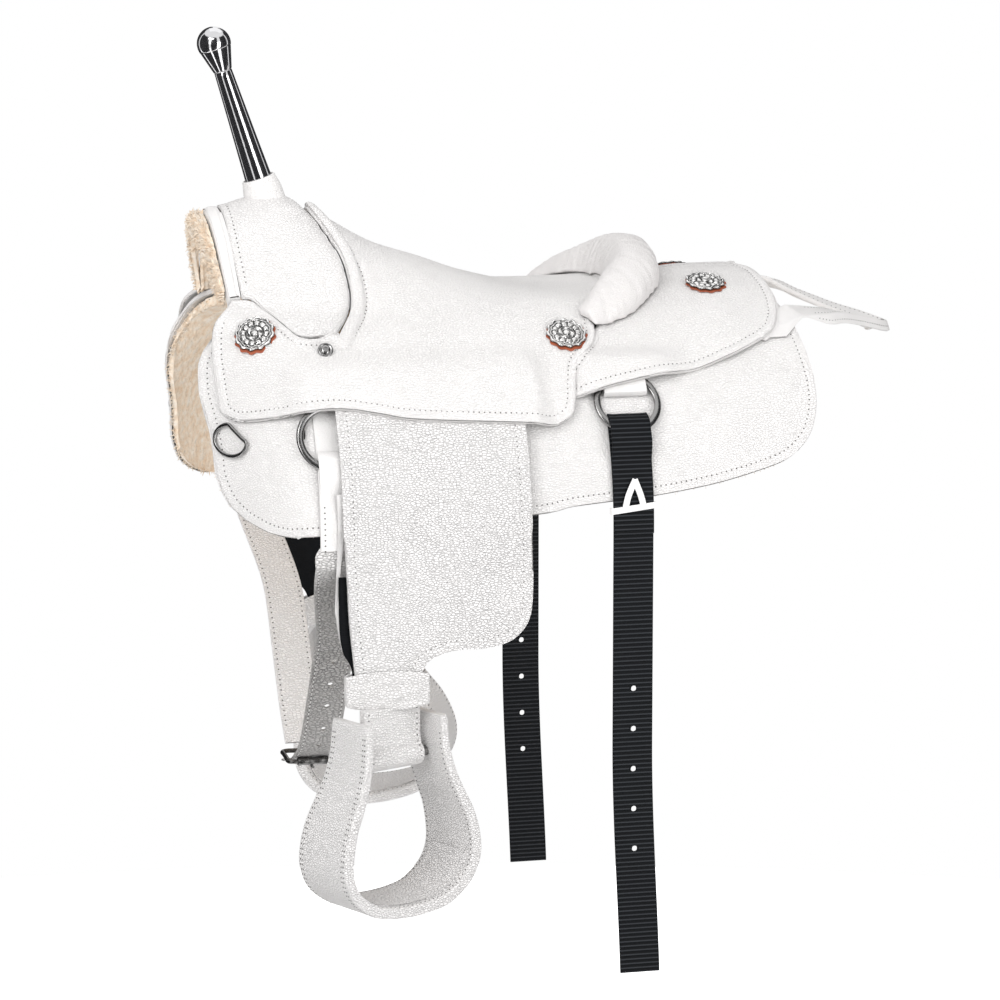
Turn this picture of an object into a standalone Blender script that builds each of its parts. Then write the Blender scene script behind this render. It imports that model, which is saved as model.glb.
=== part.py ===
"""A white leather trick riding saddle with a tall ball horn, a low cantle roll and a rear hand hold.

X runs along the horse with the front at -X, the near side is -Y, and Z is up. The origin is the middle
of the line over the horse's back that the fleece pads straddle. Every layer of leather lies on one
barrel: a place on it is (x, s), where s is the arc length down the side from the ridge, negative on the
near side, and a height out from the barrel.
"""

import math

import bmesh
import bpy
from mathutils import Matrix, Vector

NEAR, FAR = -1, 1
SIDES = (("near", NEAR), ("far", FAR))
GAP = 0.0003

# The barrel of the horse, whose ridge dips a little under the rider.
BACK_RADIUS = 0.215
ROCK = 0.016
ROCK_HALF_LENGTH = 0.26
ROCK_HALF_ANGLE = 0.6

# Heights of the layers over the barrel.
FLEECE_TOP = 0.0142
SKIRT_UNDER = 0.0150
SKIRT_TOP = 0.0200
REAR_JOCKEY_TOP = 0.0250
JOCKEY_TOP = 0.0305
COVER_THICK = 0.0045

# The seat and swell, as the height of their middle line at stations along X.
SEAT_LINE = (
    (-0.300, 0.100), (-0.285, 0.104), (-0.262, 0.108), (-0.240, 0.116), (-0.218, 0.121), (-0.198, 0.120),
    (-0.180, 0.110), (-0.165, 0.101), (-0.150, 0.094), (-0.134, 0.084), (-0.117, 0.074), (-0.100, 0.0655),
    (-0.084, 0.0595), (-0.051, 0.0500), (-0.015, 0.0365), (0.032, 0.0230), (0.059, 0.0165), (0.086, 0.0135),
    (0.120, 0.0150), (0.160, 0.0215), (0.200, 0.0260),
)
# How far round the barrel the raised middle reaches, in radians, at stations along X.
SEAT_HALF_ANGLE = ((-0.28, 0.39), (-0.20, 0.46), (-0.10, 0.52), (0.0, 0.46), (0.1, 0.42))

# The horn leans forward from the swell.
HORN_FOOT = Vector((-0.2195, 0.0, 0.1290))
HORN_AXIS = Vector((-0.0380, 0.0, 0.1177)).normalized()
HORN_LENGTH = 0.157
HORN_FOOT_RADIUS, HORN_NECK_RADIUS = 0.0147, 0.0095
BALL_RADIUS = 0.0180
# The ball tapers down to the post as a cone.
BALL_CONE = 0.0300
COLLAR_HEIGHT, COLLAR_WALL = 0.0085, 0.0045

# The saddle narrows towards the front, where its sides cup in below the ridge.
CUP, CUP_START, CUP_END = 0.48, 0.205, 0.335

# Rings lie on the skirts, each tipped a little to lie flat where its strap goes round it.
RING_X = {"front": -0.1900, "rear": 0.1272}
RING_S = {"front": 0.241, "rear": 0.217}
RING_FACES_S = {"front": 0.250, "rear": 0.2045}
RING_HEIGHT = {"front": 0.0259, "rear": 0.0253}
RING_RADIUS, RING_WIRE, RING_HALF_THICK = 0.0323, 0.0040, 0.0025
DEE_BAR = ((-0.2838, 0.2345), (-0.2689, 0.2513))
DEE_REACH = (-0.2925, 0.2610)
DEE_WIRE, DEE_LIFT = 0.0021, 0.0074

# Straps that hang below the saddle on each side, as distances out from the middle plane.
STRAP_OUT = 0.2360
NYLON_OUT, FENDER_OUT, FENDER_THICK = 0.2454, 0.2475, 0.0040
NYLON_THICK = 0.0024
BILLET_X, BILLET_WIDTH, BILLET_BOTTOM = 0.1250, 0.0430, -0.690
BILLET_PIVOT_Z, BILLET_LEAN = -0.2150, 0.0055
BILLET_HOLES_Z, BILLET_HOLE_PITCH = -0.3835, 0.0430
GIRTH_WIDTH, GIRTH_THICK, GIRTH_DRIFT = 0.0430, 0.0022, 0.0190
GIRTH_PIVOT = Vector((RING_X["front"], 0.0, -0.2350))
FENDER_PIVOT = Vector((-0.0865, 0.0, -0.130))
FENDER_DISC = 0.106
SWING = {"near": 0.0, "far": math.radians(13)}
TWIST_X, TWIST_Z = -0.137, -0.3860
STIRRUP_TURN = math.radians(25)
BOLT_Z, BOLT_RADIUS = -0.4385, 0.0055
TAIL_WIDTH, TAIL_LOOP = 0.062, 0.0130
HOBBLE_Z, HOBBLE_HEIGHT = -0.3665, 0.0360
CONCHO_RADIUS, CONCHO_THICK, CONCHO_LIFT = 0.0205, 0.0030, 0.0014


def collection(name):
    found = bpy.data.collections.new(name)
    bpy.context.scene.collection.children.link(found)
    return found


def material(name, colour, roughness, metallic=0.0):
    made = bpy.data.materials.new(name)
    made.use_nodes = True
    shader = made.node_tree.nodes["Principled BSDF"]
    shader.inputs["Base Color"].default_value = (*colour, 1.0)
    shader.inputs["Roughness"].default_value = roughness
    shader.inputs["Metallic"].default_value = metallic
    made.diffuse_color = (*colour, 1.0)
    return made


for old in list(bpy.data.objects):
    bpy.data.objects.remove(old, do_unlink=True)
PARTS = collection("trick_riding_saddle")
CUTTERS = collection("cutters")
LEATHER = ((0.90, 0.885, 0.88), 0.55)
FLEECE = ((0.80, 0.62, 0.43), 0.95)
WOOD = ((0.62, 0.45, 0.28), 0.7)
NYLON = ((0.012, 0.013, 0.015), 0.6)
STEEL = ((0.42, 0.42, 0.43), 0.3, 1.0)
SILVER = ((0.80, 0.80, 0.81), 0.25, 1.0)


# Curves and patches
def stations(table, x):
    """The value at x of a table of (x, value), joined by straight lines."""
    if x <= table[0][0]:
        return table[0][1]
    for (x0, v0), (x1, v1) in zip(table, table[1:]):
        if x <= x1:
            return v0 + (v1 - v0) * (x - x0) / (x1 - x0)
    return table[-1][1]


def fade(u):
    """1 at u = 0, falling smoothly to 0 at u = 1 and staying there."""
    return max(0.0, 1.0 - u * u) ** 2


def rise(value, start, end):
    """0 before start, 1 after end and a smooth step between them."""
    t = min(1.0, max(0.0, (value - start) / (end - start)))
    return t * t * (3 - 2 * t)


def spline(points, pieces):
    """Evenly spaced points along a smooth curve through the given ones."""
    points = [Vector(p) for p in points]
    if len(points) == 2:
        return [points[0].lerp(points[1], i / pieces) for i in range(pieces + 1)]
    ends = [2 * points[0] - points[1]] + points + [2 * points[-1] - points[-2]]
    fine = []
    for a, b, c, d in zip(ends, ends[1:], ends[2:], ends[3:]):
        for step in range(12):
            t = step / 12
            bend, twist = 2 * a - 5 * b + 4 * c - d, 3 * b - a - 3 * c + d
            fine.append(0.5 * (2 * b + (c - a) * t + bend * t**2 + twist * t**3))
    fine.append(points[-1])
    lengths = [0.0]
    for p, q in zip(fine, fine[1:]):
        lengths.append(lengths[-1] + (q - p).length)
    result, at = [], 0
    for i in range(pieces + 1):
        want = lengths[-1] * i / pieces
        while at < len(fine) - 2 and lengths[at + 1] < want:
            at += 1
        span = lengths[at + 1] - lengths[at]
        t = (want - lengths[at]) / span if span else 0.0
        result.append(fine[at].lerp(fine[at + 1], min(1.0, t)))
    return result


def patch(top, bottom, left, right, across, down):
    """A grid of (x, s) places filling four edges: two that run across and two that run down."""
    top, bottom = spline(top, across), spline(bottom, across)
    left, right = spline(left, down), spline(right, down)
    grid = []
    for j in range(down + 1):
        v = j / down
        row = []
        for i in range(across + 1):
            u = i / across
            blended = (1 - v) * top[i] + v * bottom[i] + (1 - u) * left[j] + u * right[j]
            upper = (1 - u) * top[0] + u * top[-1]
            lower = (1 - u) * bottom[0] + u * bottom[-1]
            row.append(blended - (1 - v) * upper - v * lower)
        grid.append(row)
    return grid


def on_side(grid, side):
    return [[Vector((p.x, side * p.y)) for p in row] for row in grid]


# Heights over the barrel
def rock(x, s):
    """How far the barrel dips below its round at a place."""
    return -ROCK * fade(x / ROCK_HALF_LENGTH) * fade(s / BACK_RADIUS / ROCK_HALF_ANGLE)


def place(x, s, height):
    """The point at a height over a place on the barrel, drawn in sideways at the cupped front."""
    angle = s / BACK_RADIUS
    radius = BACK_RADIUS + height
    width = 1 - CUP * rise(-x, CUP_START, CUP_END) * rise(abs(s), 0.05, 0.17)
    return Vector((x, width * radius * math.sin(angle), radius * math.cos(angle) - BACK_RADIUS))


def normal_at(s):
    angle = s / BACK_RADIUS
    return Vector((0.0, math.sin(angle), math.cos(angle)))


def over_fender(x, s):
    """The jockey's edge rides up where the fender and the front ring pass under it."""
    along = rise(x, -0.245, -0.205) * (1 - rise(x, 0.022, 0.050))
    return 0.0114 * along * rise(abs(s), 0.145, 0.188)


def seat_top(x, s):
    raised = stations(SEAT_LINE, x) - JOCKEY_TOP
    bulge = fade(s / BACK_RADIUS / stations(SEAT_HALF_ANGLE, x))
    return JOCKEY_TOP + raised * bulge + over_fender(x, s)


def seat_under(x, s):
    return seat_top(x, s) - COVER_THICK


def over_ring(x, s):
    """The rear jockey's lower edge rides up over the ring's tab."""
    start = 0.080 + 0.013 * (1 - rise(abs(s), 0.166, 0.186))
    along = rise(x, start, start + 0.010) * (1 - rise(x, 0.165, 0.190))
    return 0.0112 * along * rise(abs(s), 0.160, 0.175)


def rear_jockey_top(x, s):
    crown = 0.0035 * fade(s / BACK_RADIUS / ROCK_HALF_ANGLE)
    return REAR_JOCKEY_TOP + crown + 0.0033 * rise(x, 0.205, 0.250) + over_ring(x, s)


def rear_jockey_under(x, s):
    return rear_jockey_top(x, s) - COVER_THICK


def bar_under(x, s):
    return rock(x, s) + SKIRT_TOP + 0.0008


def bar_top(x, s):
    thick = bar_under(x, s) + 0.004 + 0.011 * fade(x / 0.30)
    if x < 0.172:
        thick = min(thick, seat_top(x, s) - 0.0105)
    if x > 0.100:
        thick = min(thick, rear_jockey_under(x, s) - GAP * 5)
    return max(thick, bar_under(x, s) + 0.0009)


def fork_under(x, s):
    arch = seat_top(x, s) - 0.036 + 0.024 * rise(abs(s), 0.020, 0.072)
    return max(arch, bar_top(x, s) + GAP)


# Solids
def finish(name, mesh_or_bm, look, origin=None):
    """Links a mesh built in world space as a part whose origin is on its joint's axis."""
    if isinstance(mesh_or_bm, bmesh.types.BMesh):
        mesh = bpy.data.meshes.new(name)
        bmesh.ops.recalc_face_normals(mesh_or_bm, faces=mesh_or_bm.faces)
        if mesh_or_bm.calc_volume(signed=True) < 0:
            bmesh.ops.reverse_faces(mesh_or_bm, faces=mesh_or_bm.faces)
        mesh_or_bm.to_mesh(mesh)
        mesh_or_bm.free()
    else:
        mesh = mesh_or_bm
    obj = bpy.data.objects.new(name, mesh)
    PARTS.objects.link(obj)
    mesh.materials.append(material(name + "_look", *look))
    if origin is not None:
        mesh.transform(Matrix.Translation(-Vector(origin)))
        obj.location = origin
    mesh.shade_smooth()
    mesh.set_sharp_from_angle(angle=math.radians(40))
    return obj


def layer(name, patches, under, over, look):
    """A closed sheet on the barrel: its patches' places at two heights, joined round the open edges."""
    bm = bmesh.new()
    flat = bm.verts.layers.float_vector.new("place")
    for grid in patches:
        rows = []
        for row in grid:
            rows.append([bm.verts.new((p.x, p.y, 0.0)) for p in row])
        for upper, lower in zip(rows, rows[1:]):
            for i in range(len(upper) - 1):
                bm.faces.new((upper[i], upper[i + 1], lower[i + 1], lower[i]))
    bmesh.ops.remove_doubles(bm, verts=bm.verts, dist=0.0001)
    for vert in bm.verts:
        vert[flat] = vert.co.copy()
    bmesh.ops.recalc_face_normals(bm, faces=bm.faces)
    grown = bmesh.ops.extrude_face_region(bm, geom=bm.faces[:])
    raised = {v for v in grown["geom"] if isinstance(v, bmesh.types.BMVert)}
    for vert in bm.verts:
        x, s = vert[flat].x, vert[flat].y
        height = over(x, s) if vert in raised else under(x, s)
        vert.co = place(x, s, height)
    return finish(name, bm, look)


def loft(name, rings, look, origin=None, round_trip=False):
    """A closed skin through rings of points. A round trip joins the last ring to the first."""
    bm = bmesh.new()
    rows = [[bm.verts.new(p) for p in ring] for ring in rings]
    following = rows[1:] + rows[:1] if round_trip else rows[1:]
    for low, high in zip(rows, following):
        for i in range(len(low)):
            j = (i + 1) % len(low)
            bm.faces.new((low[i], low[j], high[j], high[i]))
    if not round_trip:
        bm.faces.new(rows[0])
        bm.faces.new(rows[-1][::-1])
    return finish(name, bm, look, origin)


def plate(name, outline, holes, thick, frame, look, origin=None):
    """A flat outline with holes, in the frame's XY plane, given half its thickness each way."""
    curve = bpy.data.curves.new(name, "CURVE")
    curve.dimensions = "2D"
    curve.fill_mode = "BOTH"
    curve.extrude = thick / 2
    for loop in [outline] + list(holes):
        line = curve.splines.new("POLY")
        line.points.add(len(loop) - 1)
        for point, (u, v) in zip(line.points, loop):
            point.co = (u, v, 0.0, 1.0)
        line.use_cyclic_u = True
    guide = bpy.data.objects.new(name + "_outline", curve)
    PARTS.objects.link(guide)
    mesh = bpy.data.meshes.new_from_object(guide.evaluated_get(bpy.context.evaluated_depsgraph_get()))
    bpy.data.objects.remove(guide)
    bpy.data.curves.remove(curve)
    bm = bmesh.new()
    bm.from_mesh(mesh)
    bpy.data.meshes.remove(mesh)
    bmesh.ops.remove_doubles(bm, verts=bm.verts, dist=0.00005)
    bm.transform(frame)
    return finish(name, bm, look, origin)


def circle(centre, radius, sides, start=0.0):
    points = []
    for i in range(sides):
        angle = start + 2 * math.pi * i / sides
        points.append((centre[0] + radius * math.cos(angle), centre[1] + radius * math.sin(angle)))
    return points


def frame_from(origin, x_axis, y_axis):
    x_axis, y_axis = Vector(x_axis).normalized(), Vector(y_axis).normalized()
    z_axis = x_axis.cross(y_axis)
    return Matrix.Translation(origin) @ Matrix((x_axis, y_axis, z_axis)).transposed().to_4x4()


def turned(name, profile, frame, look, steps=24, origin=None):
    """A shape turned about the frame's Z axis from (radius, height) points, top to bottom."""
    mesh = bpy.data.meshes.new(name)
    mesh.from_pydata([(r, 0.0, h) for r, h in profile], [(i, i + 1) for i in range(len(profile) - 1)], [])
    guide = bpy.data.objects.new(name + "_profile", mesh)
    PARTS.objects.link(guide)
    screw = guide.modifiers.new("turn", "SCREW")
    screw.steps = screw.render_steps = steps
    screw.use_merge_vertices = True
    screw.merge_threshold = 0.00002
    made = bpy.data.meshes.new_from_object(guide.evaluated_get(bpy.context.evaluated_depsgraph_get()))
    bpy.data.objects.remove(guide)
    made.transform(frame)
    bm = bmesh.new()
    bm.from_mesh(made)
    bpy.data.meshes.remove(made)
    bmesh.ops.remove_doubles(bm, verts=bm.verts, dist=0.00002)
    return finish(name, bm, look, origin)


def wire(name, points, radius, look, closed=True, sides=2, origin=None):
    """A round wire along points, as a bevelled poly curve made a mesh."""
    curve = bpy.data.curves.new(name, "CURVE")
    curve.dimensions = "3D"
    curve.bevel_depth = radius
    curve.bevel_resolution = sides
    curve.use_fill_caps = not closed
    line = curve.splines.new("POLY")
    line.points.add(len(points) - 1)
    for point, place_ in zip(line.points, points):
        point.co = (*place_, 1.0)
    line.use_cyclic_u = closed
    guide = bpy.data.objects.new(name + "_line", curve)
    PARTS.objects.link(guide)
    mesh = bpy.data.meshes.new_from_object(guide.evaluated_get(bpy.context.evaluated_depsgraph_get()))
    bpy.data.objects.remove(guide)
    bpy.data.curves.remove(curve)
    bm = bmesh.new()
    bm.from_mesh(mesh)
    bpy.data.meshes.remove(mesh)
    bmesh.ops.remove_doubles(bm, verts=bm.verts, dist=0.00005)
    return finish(name, bm, look, origin)


def ring(name, centre, axis, radius, half_wide, half_thick, look, origin=None):
    """A round ring about an axis, of an oval section."""
    bm = bmesh.new()
    frame = Matrix.Translation(centre) @ Vector(axis).to_track_quat("Z", "Y").to_matrix().to_4x4()
    around, section = 20, 6
    rows = []
    for i in range(around):
        a = 2 * math.pi * i / around
        row = []
        for j in range(section):
            b = 2 * math.pi * (j + 0.5) / section
            r = radius + half_wide * math.cos(b)
            spot = Vector((r * math.cos(a), r * math.sin(a), half_thick * math.sin(b)))
            row.append(bm.verts.new(frame @ spot))
        rows.append(row)
    for i in range(around):
        for j in range(section):
            k = (j + 1) % section
            bm.faces.new((rows[i][j], rows[i - 1][j], rows[i - 1][k], rows[i][k]))
    return finish(name, bm, look, origin)


def cut(obj, cutter):
    cutter.hide_render = True
    cutter.display_type = "WIRE"
    PARTS.objects.unlink(cutter)
    CUTTERS.objects.link(cutter)
    bore = obj.modifiers.new("cut", "BOOLEAN")
    bore.operation = "DIFFERENCE"
    bore.solver = "EXACT"
    bore.object = cutter


# Pads, skirts and tree
SKIRT_TOP_EDGE = ((-0.262, 0.050), (-0.150, 0.056), (0.100, 0.056), (0.220, 0.035), (0.308, 0.030))
SKIRT_FRONT = (
    (-0.262, 0.050), (-0.277, 0.085), (-0.2918, 0.1282), (-0.3042, 0.1605), (-0.3069, 0.1938),
    (-0.3056, 0.2083), (-0.3002, 0.2385), (-0.2977, 0.2613), (-0.2960, 0.2844), (-0.2868, 0.3081),
    (-0.2714, 0.3232),
)
SKIRT_BOTTOM = (
    (-0.2714, 0.3232), (-0.2510, 0.3323), (-0.2288, 0.3344), (-0.2059, 0.3322), (0.013, 0.321),
    (0.060, 0.3145), (0.101, 0.311), (0.150, 0.307), (0.220, 0.297), (0.285, 0.281), (0.3075, 0.2695),
)
SKIRT_REAR = (
    (0.308, 0.030), (0.322, 0.085), (0.331, 0.130), (0.3355, 0.169), (0.337, 0.199), (0.3355, 0.2195),
    (0.330, 0.240), (0.321, 0.2565), (0.3075, 0.2695),
)


def drawn_in(edge, inset):
    """An edge moved inwards towards the middle of the skirt."""
    middle = Vector((0.0, 0.180))
    moved = []
    for point in edge:
        away = Vector(point) - middle
        moved.append(middle + away * (1 - inset / away.length))
    return moved


def fleece_top(x, s):
    return rock(x, s) + FLEECE_TOP - 0.0016 * rise(-x, 0.165, 0.200)


def skirt_under(x, s):
    return rock(x, s) + SKIRT_UNDER


def skirt_top(x, s):
    return rock(x, s) + SKIRT_TOP


def build_pads():
    for word, side in SIDES:
        grid = on_side(patch(SKIRT_TOP_EDGE, SKIRT_BOTTOM, SKIRT_FRONT, SKIRT_REAR, 18, 9), side)
        layer(word + "_skirt", [grid], skirt_under, skirt_top, LEATHER)
        edges = [drawn_in(edge, 0.004) for edge in (SKIRT_TOP_EDGE, SKIRT_BOTTOM, SKIRT_FRONT, SKIRT_REAR)]
        grid = on_side(patch(*edges, 18, 9), side)
        layer(word + "_fleece", [grid], rock, fleece_top, FLEECE)


def fork_top(x, s):
    return seat_under(x, s) - 0.0030


def ground_top(x, s):
    return seat_under(x, s) - 0.0018


def ground_under(x, s):
    return seat_under(x, s) - 0.0038


def build_tree():
    for word, side in SIDES:
        outline = (
            ((-0.245, 0.052), (0.100, 0.058), (0.200, 0.045)),
            ((-0.245, 0.112), (-0.10, 0.128), (0.030, 0.122), (0.110, 0.100), (0.200, 0.086)),
            ((-0.245, 0.052), (-0.249, 0.083), (-0.245, 0.112)),
            ((0.200, 0.045), (0.206, 0.066), (0.200, 0.086)),
        )
        layer(word + "_tree_bar", [on_side(patch(*outline, 14, 4), side)], bar_under, bar_top, WOOD)
    fork = patch(
        ((-0.250, -0.072), (-0.190, -0.078)), ((-0.250, 0.072), (-0.190, 0.078)),
        ((-0.250, -0.072), (-0.250, 0.072)), ((-0.190, -0.078), (-0.190, 0.078)), 4, 14,
    )
    layer("fork_block", [fork], fork_under, fork_top, WOOD)
    seat = patch(
        ((-0.168, -0.088), (-0.060, -0.100), (0.118, -0.095)),
        ((-0.168, 0.088), (-0.060, 0.100), (0.118, 0.095)),
        ((-0.168, -0.088), (-0.168, 0.088)), ((0.118, -0.095), (0.118, 0.095)), 11, 11,
    )
    layer("ground_seat", [seat], ground_under, ground_top, STEEL)


# Cantle roll: a crescent between its seat side and its rear side
ROLL_SEAT_SIDE = ((0.149, 0.0), (0.143, 0.040), (0.128, 0.066), (0.111, 0.091), (0.093, 0.115))
ROLL_REAR_SIDE = (
    (0.213, 0.0), (0.203, 0.055), (0.187, 0.083), (0.166, 0.106), (0.142, 0.122), (0.108, 0.134),
)
SEAT_EDGE = ((0.0, 0.160), (0.040, 0.155), (0.085, 0.135), (0.125, 0.110))
ROLL_CROWN, ROLL_TIP_CROWN = 0.0365, 0.008
ROLL_STATIONS, ROLL_SECTION = 16, 9


def roll_station(t):
    """The crescent's seat side and rear side places at t, from -1 on the near side to 1 on the far."""
    count = 40
    side = -1 if t < 0 else 1
    at = min(count - 1, int(abs(t) * count))
    part = abs(t) * count - at
    inner, outer = spline(ROLL_SEAT_SIDE, count), spline(ROLL_REAR_SIDE, count)
    a, b = inner[at].lerp(inner[at + 1], part), outer[at].lerp(outer[at + 1], part)
    return Vector((a.x, side * a.y)), Vector((b.x, side * b.y))


def roll_floor(x, s):
    """The leather under the roll: the seat in front of its edge, then the rear jockeys."""
    behind = x - stations(SEAT_EDGE, abs(s))
    share = rise(behind, 0.0, 0.008)
    return seat_top(x, s) * (1 - share) + rear_jockey_top(x, s) * share + GAP * 2


def roll_ring(t, lift, drop, inset, sink):
    """A closed ring round the roll: its crown from the seat side to the rear side, then its underside."""
    inner, outer = roll_station(t)
    across = outer - inner
    inner, outer = inner + across * inset, outer - across * inset
    crown = (ROLL_TIP_CROWN + (ROLL_CROWN - ROLL_TIP_CROWN) * (1 - abs(t) ** 2.2)) * lift
    over, under = [], []
    for i in range(ROLL_SECTION + 1):
        u = i / ROLL_SECTION
        at = inner.lerp(outer, u)
        bulge = math.sqrt(1 - abs(2 * u - 1) ** 2.4)
        floor = roll_floor(at.x, at.y)
        over.append(place(at.x, at.y, floor + 0.003 - sink + crown * bulge))
        under.append(place(at.x, at.y, floor + crown * bulge * drop))
    return over + under[::-1]


def build_cantle():
    rings = []
    for i in range(ROLL_STATIONS + 1):
        rings.append(roll_ring(2 * i / ROLL_STATIONS - 1, 1.0, 0.45, 0.0, 0.0))
    loft("cantle_roll", rings, LEATHER)
    rings = []
    for i in range(9):
        rings.append(roll_ring((i / 4 - 1) * 0.55, 0.38, 0.0, 0.16, 0.003))
    loft("cantle_block", rings, WOOD)


# Covers
NOTCH = (-0.166, 0.134)
JOCKEY_SPLIT = (-0.166, 0.2205)
ROLL_LINE = (
    (-0.172, 0.0), (-0.1690, 0.0144), (-0.159, 0.031), (-0.1475, 0.049), (-0.143, 0.067), (-0.143, 0.086),
    (-0.150, 0.106), NOTCH,
)
TAB_TOP = (
    (-0.2679, 0.0770), (-0.2556, 0.0784), (-0.2419, 0.0839), (-0.2177, 0.1211), (-0.2028, 0.1352), NOTCH,
)
JOCKEY_FRONT = (
    (-0.2679, 0.0770), (-0.2879, 0.1129), (-0.2921, 0.1487), (-0.2925, 0.1810), (-0.2908, 0.2183),
    (-0.2870, 0.2255),
)
TAB_BOTTOM = (
    (-0.2870, 0.2255), (-0.2794, 0.2299), (-0.2684, 0.2304), (-0.2265, 0.2212), (-0.1893, 0.2191),
    JOCKEY_SPLIT,
)
JOCKEY_BOTTOM = (
    JOCKEY_SPLIT, (-0.138, 0.2255), (-0.101, 0.2315), (0.004, 0.2375), (0.034, 0.2390), (0.049, 0.2375),
)
SEAT_REAR = ((0.160, 0.0), (0.155, 0.040), (0.135, 0.085), (0.108, 0.125))
JOCKEY_REAR = (
    (0.108, 0.125), (0.1075, 0.1385), (0.1010, 0.1530), (0.0890, 0.1655), (0.0800, 0.1765), (0.0755, 0.1910),
    (0.0715, 0.2120), (0.0655, 0.2280), (0.0490, 0.2375),
)
MIDDLE_LINE = (NOTCH, (-0.100, 0.128), (0.0, 0.124), (0.108, 0.125))
SWELL_FRONT = ((-0.2655, 0.0), (-0.2625, 0.040), (-0.2565, 0.0750))
SWELL_BOTTOM = (
    (-0.2565, 0.0750), (-0.2430, 0.0808), (-0.2190, 0.1170), (-0.2045, 0.1315), (-0.1685, 0.1322),
)
BINDING_LOW, LINING_LOW = 0.0755, 0.066
BINDING_FRONT, BINDING_REAR = (-0.2700, -0.2775, -0.2815), (-0.2575, -0.2632, -0.2662)
LINING_FRONT, LINING_REAR = (-0.2757, -0.2882, -0.2945), (-0.2728, -0.2797, -0.2822)
REAR_JOCKEY_TOP_EDGE = ((0.196, 0.0012), (0.250, 0.0012), (0.305, 0.0012))
REAR_JOCKEY_BOTTOM = (
    (0.052, 0.2125), (0.087, 0.2087), (0.115, 0.2024), (0.168, 0.1924), (0.208, 0.1839), (0.251, 0.1693),
    (0.290, 0.150),
)
REAR_JOCKEY_FRONT = (
    (0.196, 0.0012), (0.189, 0.050), (0.172, 0.080), (0.150, 0.100), (0.124, 0.113), (0.095, 0.150),
    (0.060, 0.190), (0.052, 0.2125),
)
REAR_JOCKEY_REAR = (
    (0.305, 0.0012), (0.315, 0.030), (0.318, 0.084), (0.3144, 0.114), (0.3045, 0.137), (0.290, 0.150),
)


def arch_band(low, front, rear):
    """A strip over the gullet from side to side: its edges are given low, half way up and at the top."""
    fronts, rears = [], []
    for share, which in ((-1, 0), (-0.46, 1), (0, 2), (0.46, 1), (1, 0)):
        fronts.append((front[which], share * low))
        rears.append((rear[which], share * low))
    return patch((fronts[0], rears[0]), (fronts[-1], rears[-1]), fronts, rears, 2, 16)


def binding_under(x, s):
    return seat_top(x, s) - 0.012


def binding_top(x, s):
    return seat_top(x, s) + 0.001


def lining_under(x, s):
    return max(seat_top(x, s) - 0.026, SKIRT_TOP + 0.001)


def lining_top(x, s):
    return seat_top(x, s) - 0.004


def build_covers():
    seat, swell = [], []
    swell_rear = [(x - 0.0015, s * 0.99) for x, s in ROLL_LINE[:-1]] + [(-0.1685, 0.1322)]
    for _, side in SIDES:
        pieces = (
            patch(((-0.172, 0.0), (0.160, 0.0)), MIDDLE_LINE, ROLL_LINE, SEAT_REAR, 16, 7),
            patch(MIDDLE_LINE, JOCKEY_BOTTOM, (NOTCH, JOCKEY_SPLIT), JOCKEY_REAR, 16, 6),
            patch(TAB_TOP, TAB_BOTTOM, JOCKEY_FRONT, (NOTCH, JOCKEY_SPLIT), 8, 6),
        )
        seat += [on_side(piece, side) for piece in pieces]
        half = patch(((-0.2655, 0.0), (-0.1735, 0.0)), SWELL_BOTTOM, SWELL_FRONT, swell_rear, 6, 8)
        swell.append(on_side(half, side))
    layer("seat_cover", seat, seat_under, seat_top, LEATHER)
    layer("swell_cover", swell, seat_under, seat_top, LEATHER)
    binding = arch_band(BINDING_LOW, BINDING_FRONT, BINDING_REAR)
    layer("gullet_binding", [binding], binding_under, binding_top, LEATHER)
    lining = arch_band(LINING_LOW, LINING_FRONT, LINING_REAR)
    layer("gullet_fleece", [lining], lining_under, lining_top, FLEECE)
    for word, side in SIDES:
        grid = patch(REAR_JOCKEY_TOP_EDGE, REAR_JOCKEY_BOTTOM, REAR_JOCKEY_FRONT, REAR_JOCKEY_REAR, 20, 8)
        layer(word + "_rear_jockey", [on_side(grid, side)], rear_jockey_under, rear_jockey_top, LEATHER)


# Horn
def height_over_cover(point):
    """How far a point stands over the leather of the seat and swell."""
    out = math.hypot(point.y, point.z + BACK_RADIUS)
    s = BACK_RADIUS * math.atan2(point.y, point.z + BACK_RADIUS)
    return out - BACK_RADIUS - seat_top(point.x, s)


def foot_ring(radius, sides):
    """A circle about the horn's axis, slid along it until it stands just off the leather."""
    frame = HORN_AXIS.to_track_quat("Z", "Y").to_matrix()
    ring = []
    for i in range(sides):
        a = 2 * math.pi * i / sides
        at = HORN_FOOT + frame @ Vector((radius * math.cos(a), radius * math.sin(a), 0.0))
        low, high = -0.04, 0.04
        for _ in range(24):
            middle = (low + high) / 2
            if height_over_cover(at + HORN_AXIS * middle) < GAP * 2:
                low = middle
            else:
                high = middle
        ring.append(at + HORN_AXIS * high)
    return ring


def axis_ring(radius, height, sides):
    frame = HORN_AXIS.to_track_quat("Z", "Y").to_matrix()
    centre = HORN_FOOT + HORN_AXIS * height
    ring = []
    for i in range(sides):
        a = 2 * math.pi * i / sides
        ring.append(centre + frame @ Vector((radius * math.cos(a), radius * math.sin(a), 0.0)))
    return ring


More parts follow.
